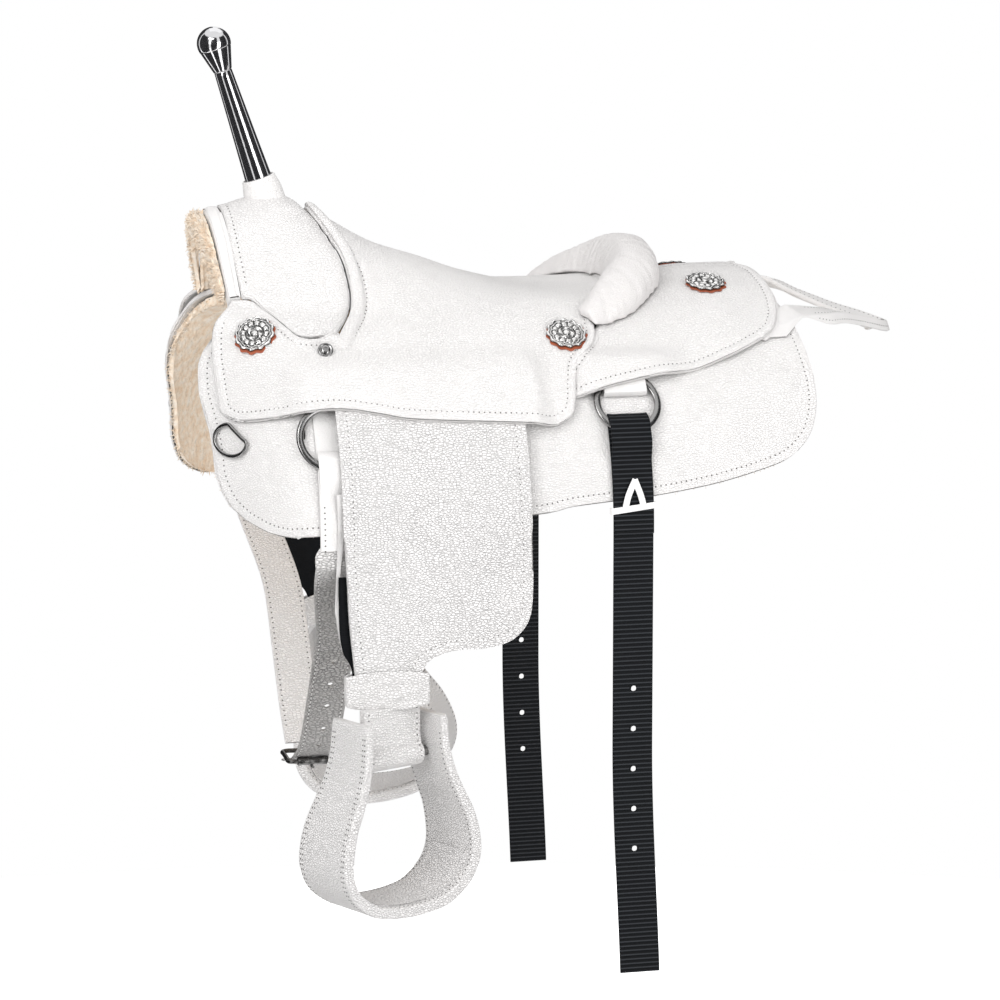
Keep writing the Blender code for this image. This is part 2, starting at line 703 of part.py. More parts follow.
def build_horn():
    sides = 16
    neck = HORN_LENGTH - BALL_CONE
    rings = [foot_ring(HORN_FOOT_RADIUS * share, sides) for share in (0.05, 0.5, 1.0)]
    for height in (0.012, 0.060, neck - 0.012, neck):
        share = (height / neck) ** 0.9
        radius = HORN_FOOT_RADIUS + (HORN_NECK_RADIUS - HORN_FOOT_RADIUS) * share
        rings.append(axis_ring(radius, height, sides))
    loft("horn_post", rings, STEEL)
    ball = Matrix.Translation(HORN_FOOT) @ HORN_AXIS.to_track_quat("Z", "Y").to_matrix().to_4x4()
    centre = HORN_LENGTH + GAP
    profile = [(0.0, centre + BALL_RADIUS)]
    for i in range(1, 8):
        a = math.radians(107) * i / 7
        profile.append((BALL_RADIUS * math.sin(a), centre + BALL_RADIUS * math.cos(a)))
    profile += [(HORN_NECK_RADIUS, centre - BALL_CONE), (0.0, centre - BALL_CONE)]
    turned("horn_ball", profile, ball, STEEL, 18)
    inner, outer = HORN_FOOT_RADIUS + 0.0004, HORN_FOOT_RADIUS + COLLAR_WALL
    rings = [
        foot_ring(outer + 0.0020, sides),
        axis_ring(outer, 0.003, sides),
        axis_ring(outer - 0.0012, COLLAR_HEIGHT, sides),
        axis_ring(inner, COLLAR_HEIGHT, sides),
        foot_ring(inner, sides),
    ]
    loft("horn_collar", rings, LEATHER, round_trip=True)


# Hand hold behind the seat: the outer top edge at stations, with the tilt of the leather there in degrees
HOLD_EDGE = (
    (0.342, -0.126, -0.0122, 24), (0.3817, -0.100, -0.0146, 18), (0.405, -0.078, -0.0164, 15),
    (0.436, -0.048, -0.0236, 10), (0.4697, -0.016, -0.0332, 4), (0.4840, 0.010, -0.0365, 0),
    (0.4640, 0.030, -0.0290, -4), (0.436, 0.052, -0.0205, -8), (0.405, 0.078, -0.0085, -11),
    (0.3817, 0.100, 0.0010, -12), (0.342, 0.126, -0.0030, 22),
)
HOLD_WIDTH, HOLD_TURN_DOWN, HOLD_THICK, HOLD_STATIONS = 0.0260, 0.0125, 0.0055, 22
HOLD_BASE = ((0.262, 0.100, 0.130, 0.148), (0.318, 0.105, 0.132, 0.146))
HOLD_BASE_UNDER, HOLD_BASE_TOP = 0.0210, 0.0233


def hold_base_ring(side, x, inner, crease, outer):
    """Where the hand hold's leather lies between the skirt and the rear jockey."""
    over = [place(x, side * s, HOLD_BASE_TOP) for s in (inner, crease, outer)]
    under = [place(x, side * s, HOLD_BASE_UNDER) for s in (outer, crease, inner)]
    return over + under


def hold_ring(at, along, tilt, free):
    """The loop: leather that slopes by tilt and, once free, is turned down along its outer edge."""
    outward = Vector((along.y, -along.x, 0.0)).normalized()
    upward = Vector((0.0, 0.0, 1.0))
    slope = outward * math.cos(tilt) - upward * math.sin(tilt)
    lift = outward * math.sin(tilt) + upward * math.cos(tilt)
    down = outward * 0.30 - upward * 0.95
    flat = HOLD_BASE_TOP - HOLD_BASE_UNDER
    thick = flat + (HOLD_THICK - flat) * free
    inner, outer = at - slope * HOLD_WIDTH, at + down * (flat + (HOLD_TURN_DOWN - flat) * free)
    under = at - lift * thick - slope * thick
    return [inner, at, outer, outer - slope * thick, under, inner - lift * thick]


def build_hand_hold():
    last = HOLD_STATIONS
    edge = spline([station[:3] for station in HOLD_EDGE], last)
    tilts = spline([(station[3], 0.0, 0.0) for station in HOLD_EDGE], last)
    rings = [hold_base_ring(NEAR, *base) for base in HOLD_BASE]
    for i, at in enumerate(edge):
        along = edge[min(last, i + 1)] - edge[max(0, i - 1)]
        free = rise(min(i, last - i), 0.0, 3.0)
        rings.append(hold_ring(at, along, math.radians(tilts[i].x), free))
    rings += [hold_base_ring(FAR, *base) for base in reversed(HOLD_BASE)]
    loft("rear_hand_hold", rings, LEATHER)


# Rings, and the straps that hang from them
def ring_middle(which, side):
    middle = place(RING_X[which], side * RING_S[which], RING_HEIGHT[which])
    return middle, normal_at(side * RING_FACES_S[which])


def yz_frame(x):
    """A frame whose XY plane is the world's YZ plane at x."""
    return frame_from((x, 0.0, 0.0), (0, 1, 0), (0, 0, 1))


def xz_frame(y):
    """A frame whose XY plane is the world's XZ plane at y."""
    return frame_from((0.0, y, 0.0), (1, 0, 0), (0, 0, 1))


def ring_loop(name, side, x, width, start, ring_s, join_s, end_z, wrap, thick, look):
    """A strap's end folded up over the bottom of a ring, seen from the front and carried along X."""
    back = STRAP_OUT - BACK_RADIUS
    fold, closing = start + thick + GAP, join_s - 0.004
    outer, inner, upper, lower = [], [], [], []
    for i in range(9):
        s = start + (join_s - start) * i / 8
        open_by = wrap * (1 - rise(s, ring_s + 0.006, join_s))
        outer.append(place(0, side * s, back + open_by + 2 * thick))
        inner.append(place(0, side * s, back))
        s = fold + (closing - fold) * i / 8
        open_by = wrap * (1 - rise(s, ring_s + 0.006, join_s))
        lower.append(place(0, side * s, back + thick))
        upper.append(place(0, side * s, back + thick + open_by))
    widest = BACK_RADIUS * math.pi / 2
    if join_s < widest - 0.004:
        half_way = (join_s + 0.003 + widest) / 2
        outer += [place(0, side * (join_s + 0.003), back + thick), place(0, side * half_way, back + thick)]
        inner.append(place(0, side * half_way, back))
    outer.append(Vector((0, side * (STRAP_OUT + thick), end_z)))
    inner.append(Vector((0, side * STRAP_OUT, end_z)))
    outline = [(p.y, p.z) for p in outer + inner[::-1]]
    hollow = [(p.y, p.z) for p in lower + upper[::-1]]
    return plate(name, outline, [hollow], width, yz_frame(x), look)


TAB_FROM, TAB_FOLD, TAB_THICK, TAB_WIDTH = 0.180, 0.2090, 0.0018, 0.046


def build_rings():
    for word, side in SIDES:
        for which in ("front", "rear"):
            middle, axis = ring_middle(which, side)
            name = word + "_" + which + "_ring"
            ring(name, middle, axis, RING_RADIUS, RING_WIRE, RING_HALF_THICK, STEEL, middle)
        # The tab comes from under the rear jockey, folds through the ring and goes back.
        low, high = SKIRT_TOP + GAP, SKIRT_TOP + 0.0087
        inside = TAB_FOLD - TAB_THICK
        half_way = (TAB_FROM + TAB_FOLD) / 2
        section = [(s, low) for s in (TAB_FROM, half_way, TAB_FOLD)]
        section += [(s, high + TAB_THICK) for s in (TAB_FOLD, half_way, TAB_FROM)]
        section += [(s, high) for s in (TAB_FROM, half_way, inside)]
        section += [(s, low + TAB_THICK) for s in (inside, half_way, TAB_FROM)]
        outline = [place(0, side * s, height) for s, height in section]
        frame = yz_frame(RING_X["rear"] - 0.001)
        plate(word + "_rear_ring_tab", [(p.y, p.z) for p in outline], [], TAB_WIDTH, frame, LEATHER)


def build_rear_billets():
    ring_bottom = RING_S["rear"] + RING_RADIUS
    half = BILLET_WIDTH / 2
    edge = (BILLET_PIVOT_Z, -0.42, -0.50, -0.60, BILLET_BOTTOM)
    for word, side in SIDES:
        ring_loop(
            word + "_billet_loop", side, BILLET_X, BILLET_WIDTH, 0.2282, ring_bottom, 0.276,
            BILLET_PIVOT_Z + 0.0015, 0.0086, NYLON_THICK, NYLON,
        )
        pivot = Vector((BILLET_X, side * (STRAP_OUT + NYLON_THICK / 2), BILLET_PIVOT_Z))
        outline = [(-half, z) for z in edge] + [(half, z) for z in reversed(edge)]
        outline = [(BILLET_X + x + BILLET_LEAN * 2 * rise(-z, 0.44, 0.76), z) for x, z in outline]
        holes = []
        for i in range(5):
            holes.append(circle((BILLET_X + 0.001, BILLET_HOLES_Z - BILLET_HOLE_PITCH * i), 0.003, 8))
        plate(word + "_rear_billet", outline, holes, NYLON_THICK, xz_frame(pivot.y), NYLON, pivot)


def build_dees():
    """A dee lies on each front corner of the skirts, held by its straight side."""
    for word, side in SIDES:
        ends = [place(x, side * s, SKIRT_TOP + DEE_LIFT) for x, s in DEE_BAR]
        reach = place(DEE_REACH[0], side * DEE_REACH[1], SKIRT_TOP + DEE_LIFT)
        middle = (ends[0] + ends[1]) / 2
        along = (ends[1] - ends[0]) / 2
        out = reach - middle
        points = [middle - along, middle, middle + along]
        for i in range(1, 10):
            a = math.pi * i / 10
            points.append(middle + along * 1.06 * math.cos(a) + out * math.sin(a) ** 0.8)
        wire(word + "_dee", points, DEE_WIRE, STEEL, sides=1, origin=middle)


# Girth straps joined by a roller buckle under the horse, as (distance from the middle, Z)
GIRTH_FALL = (
    (0.2370, -0.246), (0.205, -0.2720), (0.165, -0.3100), (0.125, -0.3600), (0.090, -0.4120),
    (0.062, -0.4510),
)
NEAR_GIRTH_END = (
    (0.040, -0.4740), (0.0147, -0.4882), (-0.004, -0.4965), (-0.030, -0.5035), (-0.062, -0.5100),
)
FAR_GIRTH_END = ((0.036, -0.4790),)
HEEL = (0.0250, -0.4920)
ROLLER = (-0.0147, -0.4950)
HEEL_BAR, ROLLER_RADIUS = 0.0026, 0.0045
GIRTH_HOLES = ((0.123, -0.3625), (0.104, -0.3915), (0.085, -0.4185), (0.064, -0.4480), (0.044, -0.4700))


def ribbon(line, thick, pieces):
    """Both edges of a strap seen from the front, along a smooth line."""
    line = spline([(y, z, 0.0) for y, z in line], pieces)
    left, right = [], []
    for i, at in enumerate(line):
        along = (line[min(i + 1, pieces)] - line[max(i - 1, 0)]).normalized()
        side = Vector((-along.y, along.x, 0.0)) * thick / 2
        left.append((at.x + side.x, at.y + side.y))
        right.append((at.x - side.x, at.y - side.y))
    return left, right


def girth_drift(z):
    """How far back the straps have drifted on their way down."""
    return GIRTH_DRIFT * rise(-z, 0.235, 0.345)


def lean_girth(obj):
    for vert in obj.data.vertices:
        vert.co.x += girth_drift(vert.co.z + obj.location.z)


def round_top(name, side, thick, look):
    """The flat round-ended top of a girth strap, which turns about its middle."""
    half = GIRTH_WIDTH / 2
    x, z = GIRTH_PIVOT.x, GIRTH_PIVOT.z
    outline = []
    for i in range(11):
        a = math.pi * i / 10
        outline.append((x + half * math.cos(a), z + half * math.sin(a)))
    outline += [(x - half, z - 0.016), (x + half, z - 0.016)]
    return plate(name, outline, [], thick, xz_frame(side * (STRAP_OUT + thick / 2)), look)


def joined(name, first, second, look, origin):
    """Two meshes made one body by a Boolean union."""
    union = first.modifiers.new("join", "BOOLEAN")
    union.operation = "UNION"
    union.solver = "EXACT"
    union.object = second
    mesh = bpy.data.meshes.new_from_object(first.evaluated_get(bpy.context.evaluated_depsgraph_get()))
    bpy.data.objects.remove(first)
    bpy.data.objects.remove(second)
    mesh.materials.clear()
    return finish(name, mesh, look, origin)


def girth_strap(word, side, end):
    line = [(side * out, z) for out, z in GIRTH_FALL + end]
    left, right = ribbon(line, GIRTH_THICK, 20)
    outline, holes = left + right[::-1], []
    if word == "far":
        outline = right + circle(HEEL, 0.0068, 14, math.radians(100))[:-2] + left[::-1]
        holes = [circle(HEEL, HEEL_BAR + 0.0008, 10)]
    strap = plate(word + "_strap", outline, holes, GIRTH_WIDTH, yz_frame(GIRTH_PIVOT.x), LEATHER)
    top = round_top(word + "_top", side, GIRTH_THICK, LEATHER)
    strap = joined(word + "_girth_strap", strap, top, LEATHER, GIRTH_PIVOT)
    lean_girth(strap)
    return strap


def build_girth():
    ring_bottom = RING_S["front"] + RING_RADIUS
    for word, side in SIDES:
        ring_loop(
            word + "_girth_loop", side, RING_X["front"], GIRTH_WIDTH, 0.2545, ring_bottom, 0.300,
            GIRTH_PIVOT.z + GIRTH_WIDTH / 2 + 0.0006, 0.0062, GIRTH_THICK, LEATHER,
        )
    x = GIRTH_PIVOT.x
    near = girth_strap("near", NEAR, NEAR_GIRTH_END)
    slots = bmesh.new()
    steep = Matrix.Rotation(math.radians(35), 4, "X")
    for out, z in GIRTH_HOLES:
        spot = Matrix.Translation((x + 0.0015 + girth_drift(z), NEAR * out, z)) @ steep
        bmesh.ops.create_cone(
            slots, cap_ends=True, segments=8, radius1=0.003, radius2=0.003, depth=0.012, matrix=spot,
        )
    # The tongue goes through a slot between the roller and the heel, long enough for its whole swing.
    size = Matrix.Diagonal((0.006, 0.037, 0.020, 1.0))
    spot = Matrix.Translation((x + GIRTH_DRIFT, 0.0175, -0.4995)) @ size
    bmesh.ops.create_cube(slots, size=1.0, matrix=spot)
    cut(near, finish("near_girth_slots", slots, LEATHER))
    far = girth_strap("far", FAR, FAR_GIRTH_END)
    slots = bmesh.new()
    spot = Matrix.Translation((x + GIRTH_DRIFT, *HEEL)) @ Matrix.Diagonal((0.006, 0.0165, 0.0170, 1.0))
    bmesh.ops.create_cube(slots, size=1.0, matrix=spot)
    cut(far, finish("far_girth_slot", slots, LEATHER))
    build_buckle(x + GIRTH_DRIFT)


def build_buckle(x):
    half = GIRTH_WIDTH / 2 + 0.0045
    corners = []
    for reach, end in ((-half, HEEL), (half, HEEL), (half, ROLLER), (-half, ROLLER)):
        corners.append(Vector((x + reach, *end)))
    points = []
    for corner, following in zip(corners, corners[1:] + corners[:1]):
        points += [corner.lerp(following, share) for share in (0.07, 0.5, 0.93)]
    wire("girth_buckle", points, HEEL_BAR, STEEL, sides=1, origin=GIRTH_PIVOT)
    bore = HEEL_BAR + 0.0005
    length = 0.017
    sleeve = [(bore, length), (ROLLER_RADIUS, length)]
    sleeve += [(ROLLER_RADIUS, -length), (bore, -length), (bore, length)]
    across = Matrix.Translation((x, *ROLLER)) @ Matrix.Rotation(math.pi / 2, 4, "Y")
    turned("buckle_roller", sleeve, across, STEEL, 12, (x, *ROLLER))
    roller_y, roller_z = ROLLER
    heel_y, heel_z = HEEL
    arm = [(roller_y - 0.0035, roller_z - 0.0052), (roller_y - 0.0035, roller_z - 0.0076)]
    arm += [(roller_y + 0.004, roller_z - 0.0078), (heel_y - 0.003, heel_z - 0.0057)]
    arm += circle(HEEL, 0.0062, 14, math.radians(-118))[:-2]
    arm += [(heel_y - 0.0058, heel_z - 0.0026), (roller_y + 0.0045, roller_z - 0.0056)]
    eye = circle(HEEL, HEEL_BAR + 0.0005, 10)
    plate("buckle_tongue", arm, [eye], 0.0030, yz_frame(x), STEEL, (x, *HEEL))


# Fenders and stirrups
FENDER_SIDES = (
    (0.0115, -0.166), (0.0125, -0.200), (0.0138, -0.243), (0.0130, -0.283), (0.0088, -0.3035),
    (-0.0030, -0.3185), (-0.0190, -0.3265), (-0.0410, -0.3300), (-0.0700, -0.3305), (-0.0890, -0.3360),
    (-0.0990, -0.3425), (-0.1026, -0.3480), (-0.1036, -0.3600), (-0.1040, -0.3830), (-0.1700, -0.3830),
    (-0.1735, -0.3540),
    (-0.1790, -0.3000), (-0.1810, -0.2600), (-0.1830, -0.2100),
)
FENDER_TOP_S = 0.196
DISC_FROM, DISC_TO = math.radians(-66.5), math.radians(67.5)
STIRRUP_LEATHER = (
    (-0.1890, -0.250), (-0.1885, -0.300), (-0.1850, -0.328), (-0.1760, -0.3465), (-0.1730, -0.3830),
    (-0.1330, -0.3830),
    (-0.1430, -0.335), (-0.1440, -0.300), (-0.1440, -0.250),
)


def on_disc(radius, angle):
    """A place (x, z) on a disc about the fender's pivot, from straight down towards the rear."""
    return FENDER_PIVOT.x + radius * math.sin(angle), FENDER_PIVOT.z - radius * math.cos(angle)


def fender_pivot(side):
    return Vector((FENDER_PIVOT.x, side * (FENDER_OUT + FENDER_THICK / 2), FENDER_PIVOT.z))


def swung(word, side, *pieces):
    """Hangs the pieces back by their side's swing, about the fender's pivot."""
    turn = Matrix.Rotation(-SWING[word], 4, "Y")
    pivot = fender_pivot(side)
    for obj in pieces:
        obj.data.transform(turn)
        obj.location = pivot + turn.to_3x3() @ (obj.location - pivot)


def fender_top(word, side):
    """The upper leather, which comes down from under the jockey to a round edge over the fender's disc."""
    columns, rows = 10, 6
    grid = []
    for j in range(rows + 1):
        row = []
        for i in range(columns + 1):
            angle = DISC_FROM + (DISC_TO - DISC_FROM) * i / columns
            upper, _ = on_disc(FENDER_DISC, angle)
            x, z = on_disc(FENDER_DISC, angle + SWING[word])
            low = BACK_RADIUS * math.acos((z + BACK_RADIUS) / FENDER_OUT)
            share = j / rows
            s = FENDER_TOP_S + (low - FENDER_TOP_S) * share
            row.append(Vector((upper + (x - upper) * share, side * s)))
        grid.append(row)
    height = FENDER_OUT - BACK_RADIUS
    layer(word + "_fender_top", [grid], lambda x, s: height, lambda x, s: height + FENDER_THICK, LEATHER)


def build_fenders():
    for word, side in SIDES:
        fender_top(word, side)
        pivot = fender_pivot(side)
        arc = []
        for i in range(15):
            arc.append(on_disc(FENDER_DISC + 0.0010, DISC_FROM + (DISC_TO - DISC_FROM) * i / 14))
        fender = plate(
            word + "_fender", arc + list(FENDER_SIDES), [], FENDER_THICK, xz_frame(pivot.y), LEATHER, pivot,
        )
        name, frame = word + "_stirrup_leather", xz_frame(side * NYLON_OUT)
        strap = plate(name, STIRRUP_LEATHER, [], NYLON_THICK, frame, NYLON, pivot)
        swung(word, side, fender, strap, hobble(word, side, pivot), *stirrup(word, side))


def stadium(x0, x1, y0, y1):
    """A long loop seen from above, with round ends."""
    across, deep = (x1 - x0) / 2, (y1 - y0) / 2
    points = []
    for i in range(20):
        a = 2 * math.pi * i / 20
        u = math.copysign(abs(math.cos(a)) ** 0.3, math.cos(a))
        v = math.copysign(abs(math.sin(a)) ** 0.3, math.sin(a))
        points.append((x0 + across * (1 + u), y0 + deep * (1 + v)))
    return points


def hobble(word, side, pivot):
    """The strap that holds the fender and the stirrup leather together above the stirrup."""
    faces = (side * (FENDER_OUT + FENDER_THICK + 0.0008), side * (NYLON_OUT - 0.0018))
    low, high = min(faces), max(faces)
    hole = stadium(-0.1800, -0.0990, low, high)
    outline = stadium(-0.1835, -0.0955, low - 0.0030, high + 0.0030)
    level = Matrix.Translation((0, 0, HOBBLE_Z))
    return plate(word + "_hobble_strap", outline, [hole], HOBBLE_HEIGHT, level, LEATHER, pivot)


# The stirrup's outer line: places (Z, distance from its middle)
STIRRUP_HALF = (
    (-0.3960, 0.0520), (-0.4300, 0.0545), (-0.4550, 0.0605), (-0.4770, 0.0700), (-0.5015, 0.0815),
    (-0.5290, 0.0880), (-0.5510, 0.0875), (-0.5710, 0.0785), (-0.5860, 0.0620), (-0.5965, 0.0400),
)
STIRRUP_BOTTOM = -0.6005
STIRRUP_LEG_WIDTH, TREAD_WIDTH = 0.062, 0.081
STIRRUP_LEG_THICK, TREAD_THICK = 0.0095, 0.0120
# The bolt's ends stay inside the legs, under their leather.
BOLT_REACH = 0.0545


def stirrup_frame(side):
    """The turned stirrup: the bolt's middle, the way along it to the front leg, and the way outward."""
    along = Vector((-math.cos(STIRRUP_TURN), side * math.sin(STIRRUP_TURN), 0.0))
    outward = Vector((math.sin(STIRRUP_TURN), side * math.cos(STIRRUP_TURN), 0.0))
    return Vector((TWIST_X, side * (FENDER_OUT + FENDER_THICK / 2), BOLT_Z)), along, outward


def stirrup_bell(name, middle, along, outward):
    """A band bent down one leg, across the tread and up the other."""
    half = [(u, z, 0.0) for z, u in STIRRUP_HALF]
    mirrored = [(-u, z, 0.0) for u, z, _ in reversed(half)]
    pieces = 28
    path = spline(half + [(0.0, STIRRUP_BOTTOM, 0.0)] + mirrored, pieces)
    heart = Vector((0.0, -0.50, 0.0))
    rings = []
    for i, at in enumerate(path):
        direction = (path[min(i + 1, pieces)] - path[max(i - 1, 0)]).normalized()
        inward = Vector((-direction.y, direction.x, 0.0))
        if inward.dot(heart - at) < 0:
            inward = -inward
        low = rise(-at.y, 0.40, 0.54)
        wide = STIRRUP_LEG_WIDTH + (TREAD_WIDTH - STIRRUP_LEG_WIDTH) * low
        thick = STIRRUP_LEG_THICK + (TREAD_THICK - STIRRUP_LEG_THICK) * low
        section = []
        for across, deep in ((-0.5, 0.0), (0.5, 0.0), (0.5, 1.0), (-0.5, 1.0)):
            spot = at + inward * thick * deep
            level = Vector((middle.x, middle.y, spot.y))
            section.append(level + along * spot.x + outward * wide * across)
        rings.append(section)
    return loft(name, rings, LEATHER, middle)


def stirrup(word, side):
    """The bell, its bolt, the bore for it and the fender's tail that the bolt goes through."""
    middle, along, outward = stirrup_frame(side)
    bell = stirrup_bell(word + "_stirrup", middle, along, outward)
    on_bolt = Matrix.Translation(middle) @ along.to_track_quat("Z", "Y").to_matrix().to_4x4()
    bores = bmesh.new()
    bore = BOLT_RADIUS + 0.0005
    bmesh.ops.create_cone(
        bores, cap_ends=True, segments=12, radius1=bore, radius2=bore, depth=0.20, matrix=on_bolt,
    )
    cutter = finish(word + "_bolt_bore", bores, LEATHER)
    cut(bell, cutter)
    profile = [(0.0, BOLT_REACH), (BOLT_RADIUS - 0.001, BOLT_REACH), (BOLT_RADIUS, BOLT_REACH - 0.001)]
    profile += [(radius, -height) for radius, height in reversed(profile)]
    bolt = turned(word + "_stirrup_bolt", profile, on_bolt, STEEL, 12, middle)
    neck, shoulder, end = 0.0050, BOLT_Z + 0.020, TWIST_Z - 0.0006
    outline = circle((0.0, BOLT_Z), TAIL_LOOP, 18, math.radians(120))[:-2]
    outline += [(neck, shoulder), (neck, end), (-neck, end), (-neck, shoulder)]
    frame = frame_from((middle.x, middle.y, 0.0), outward, (0, 0, 1))
    bolt_hole = circle((0.0, BOLT_Z), BOLT_RADIUS + 0.0006, 12)
    twist = Vector((middle.x, middle.y, TWIST_Z))
    tail = plate(word + "_fender_tail", outline, [bolt_hole], TAIL_WIDTH, frame, LEATHER, twist)
    return bell, cutter, bolt, tail


# Silver conchos
def concho_spots():
    return (
        ("front", -0.2507, 0.1316, seat_top),
        ("middle", 0.0752, 0.1416, seat_top),
        ("rear", 0.2500, 0.0640, rear_jockey_top),
    )


def surface_frame(x, s, top):
    """The frame of a place on a covered surface: its Z axis stands out from the leather."""
    step = 0.004
    here = place(x, s, top(x, s))
    along = place(x + step, s, top(x + step, s)) - place(x - step, s, top(x - step, s))
    down = place(x, s + step, top(x, s + step)) - place(x, s - step, top(x, s - step))
    out = along.cross(down).normalized()
    if out.dot(normal_at(s)) < 0:
        out = -out
    across = along.normalized()
    return here, across, out.cross(across), out


def build_conchos():
    for word, side in SIDES:
        for spot, x, s, top in concho_spots():
            here, across, up, out = surface_frame(x, side * s, top)
            lobes = []
            for i in range(36):
                a = 2 * math.pi * i / 36
                radius = CONCHO_RADIUS * (1 + 0.045 * math.cos(12 * a))
                lobes.append((radius * math.cos(a), radius * math.sin(a)))
            frame = frame_from(here + out * (CONCHO_LIFT + CONCHO_THICK / 2), across, up)
            plate(word + "_" + spot + "_concho", lobes, [], CONCHO_THICK, frame, SILVER)


build_pads()
build_tree()
build_covers()
build_cantle()
build_horn()
build_hand_hold()
build_rings()
build_rear_billets()
build_dees()
build_girth()
build_fenders()
build_conchos()
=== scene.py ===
# %% [markdown]
# # A white trick riding saddle, dressed
# A trick rider hangs, stands and spins on this saddle, so it has a tall steel horn, a low padded cantle
# and a leather loop behind the seat to hold. The frame brings its solids and joints. These cells cover
# them with leather, fleece, webbing and stitching, one piece after the other.

import math

import bmesh
import bpy
import numpy as np
from mathutils import Matrix, Vector, geometry, noise
from mathutils.bvhtree import BVHTree


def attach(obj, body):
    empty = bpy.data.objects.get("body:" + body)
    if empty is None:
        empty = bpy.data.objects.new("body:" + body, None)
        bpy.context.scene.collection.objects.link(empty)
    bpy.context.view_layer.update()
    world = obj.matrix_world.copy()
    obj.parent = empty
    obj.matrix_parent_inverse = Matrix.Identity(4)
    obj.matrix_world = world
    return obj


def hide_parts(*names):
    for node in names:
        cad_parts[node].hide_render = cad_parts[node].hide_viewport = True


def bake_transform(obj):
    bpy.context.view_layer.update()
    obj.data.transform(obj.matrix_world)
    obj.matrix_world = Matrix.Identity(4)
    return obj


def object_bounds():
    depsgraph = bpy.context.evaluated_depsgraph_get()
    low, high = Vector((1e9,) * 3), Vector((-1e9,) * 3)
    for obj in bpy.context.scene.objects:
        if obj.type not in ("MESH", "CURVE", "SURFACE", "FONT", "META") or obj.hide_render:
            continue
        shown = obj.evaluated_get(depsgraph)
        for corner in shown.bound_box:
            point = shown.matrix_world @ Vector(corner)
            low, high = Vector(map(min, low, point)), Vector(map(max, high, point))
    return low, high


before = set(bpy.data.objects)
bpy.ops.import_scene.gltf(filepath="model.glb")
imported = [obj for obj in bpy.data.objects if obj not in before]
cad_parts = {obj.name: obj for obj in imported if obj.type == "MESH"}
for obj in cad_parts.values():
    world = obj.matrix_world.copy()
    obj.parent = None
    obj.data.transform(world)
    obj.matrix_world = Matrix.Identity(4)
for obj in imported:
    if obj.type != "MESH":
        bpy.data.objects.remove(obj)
CAD_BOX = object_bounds()
SIDES = (("near", -1), ("far", 1))

# %% [markdown]
# ## Camera
# The picture was taken from in front of the near side and a little above, with a long lens. A lens of
# 149 mm at 4.5 m gives the same low perspective, and no shift is needed.

# %% The photograph's camera
LOOK_AT = Vector((0.0415, 0.0, -0.2200))
TURN, RISE, DISTANCE = math.radians(-14.0), math.radians(9.7), 4.5
towards_lens = Vector((math.sin(TURN) * math.cos(RISE), -math.cos(TURN) * math.cos(RISE), math.sin(RISE)))
camera = bpy.data.objects.new("photo_camera", bpy.data.cameras.new("photo_camera"))
camera.data.sensor_width, camera.data.lens = 36.0, 149.04
camera.location = LOOK_AT + towards_lens * DISTANCE
camera.rotation_euler = (-towards_lens).to_track_quat("-Z", "Y").to_euler()
bpy.context.scene.collection.objects.link(camera)
bpy.context.scene.camera = camera
print("camera at", [round(value, 3) for value in camera.location])

# %% [markdown]
# ## Studio
# The saddle sits as high as on a horse, so the floor is well below it and keeps a soft shadow. The world
# is white where the lens or a shiny part sees it, and gives the leather a weaker, even light. Two broad
# lamps add the shading that shows the leather's form.

# %% World, floor and lamps
FLOOR_DROP = 1.25
WORLD_LIGHT, KEY_LIGHT, FILL_LIGHT, TOP_LIGHT = 0.80, 32.0, 27.0, 3.0


def seen_white(tree, strength):
    """A shader that is white to the lens and to shiny parts, and lights the rest by strength."""
    path, both, most = (tree.nodes.new(kind) for kind in ("ShaderNodeLightPath", "ShaderNodeMath", "ShaderNodeMath"))
    both.operation = most.operation = "MAXIMUM"
    tree.links.new(path.outputs["Is Camera Ray"], both.inputs[0])
    tree.links.new(path.outputs["Is Glossy Ray"], both.inputs[1])
    tree.links.new(both.outputs[0], most.inputs[0])
    tree.links.new(path.outputs["Is Transmission Ray"], most.inputs[1])
    level = tree.nodes.new("ShaderNodeMapRange")
    level.inputs["To Min"].default_value, level.inputs["To Max"].default_value = strength, 1.0
    tree.links.new(most.outputs[0], level.inputs["Value"])
    return level.outputs["Result"]


world = bpy.data.worlds.new("white_studio")
world.use_nodes = True
background = world.node_tree.nodes["Background"]
background.inputs["Color"].default_value = (1.0, 1.0, 1.0, 1.0)
world.node_tree.links.new(seen_white(world.node_tree, WORLD_LIGHT), background.inputs["Strength"])
bpy.context.scene.world = world
bpy.context.scene.view_settings.view_transform = "Standard"

floor_mesh = bpy.data.meshes.new("floor")
floor_bm = bmesh.new()
bmesh.ops.create_circle(floor_bm, cap_ends=True, radius=5.0, segments=64)
floor_bm.to_mesh(floor_mesh)
floor_bm.free()
floor = bpy.data.objects.new("floor", floor_mesh)
floor.location.z = CAD_BOX[0].z - FLOOR_DROP
bpy.context.scene.collection.objects.link(floor)
paint = bpy.data.materials.new("pale_floor")
paint.use_nodes = True
shader = paint.node_tree.nodes["Principled BSDF"]
shader.inputs["Base Color"].default_value = (0.86, 0.86, 0.86, 1.0)
shader.inputs["Roughness"].default_value = 0.8
shader.inputs["Emission Color"].default_value = (1.0, 1.0, 1.0, 1.0)
paint.node_tree.links.new(seen_white(paint.node_tree, 0.0), shader.inputs["Emission Strength"])
floor_mesh.materials.append(paint)


def lamp(name, towards, distance, size, power):
    light = bpy.data.objects.new(name, bpy.data.lights.new(name, "AREA"))
    light.data.size, light.data.energy = size, power
    way = Vector(towards).normalized()
    light.location = Vector((0.0, 0.0, -0.2)) + way * distance
    light.rotation_euler = (-way).to_track_quat("-Z", "Y").to_euler()
    bpy.context.scene.collection.objects.link(light)


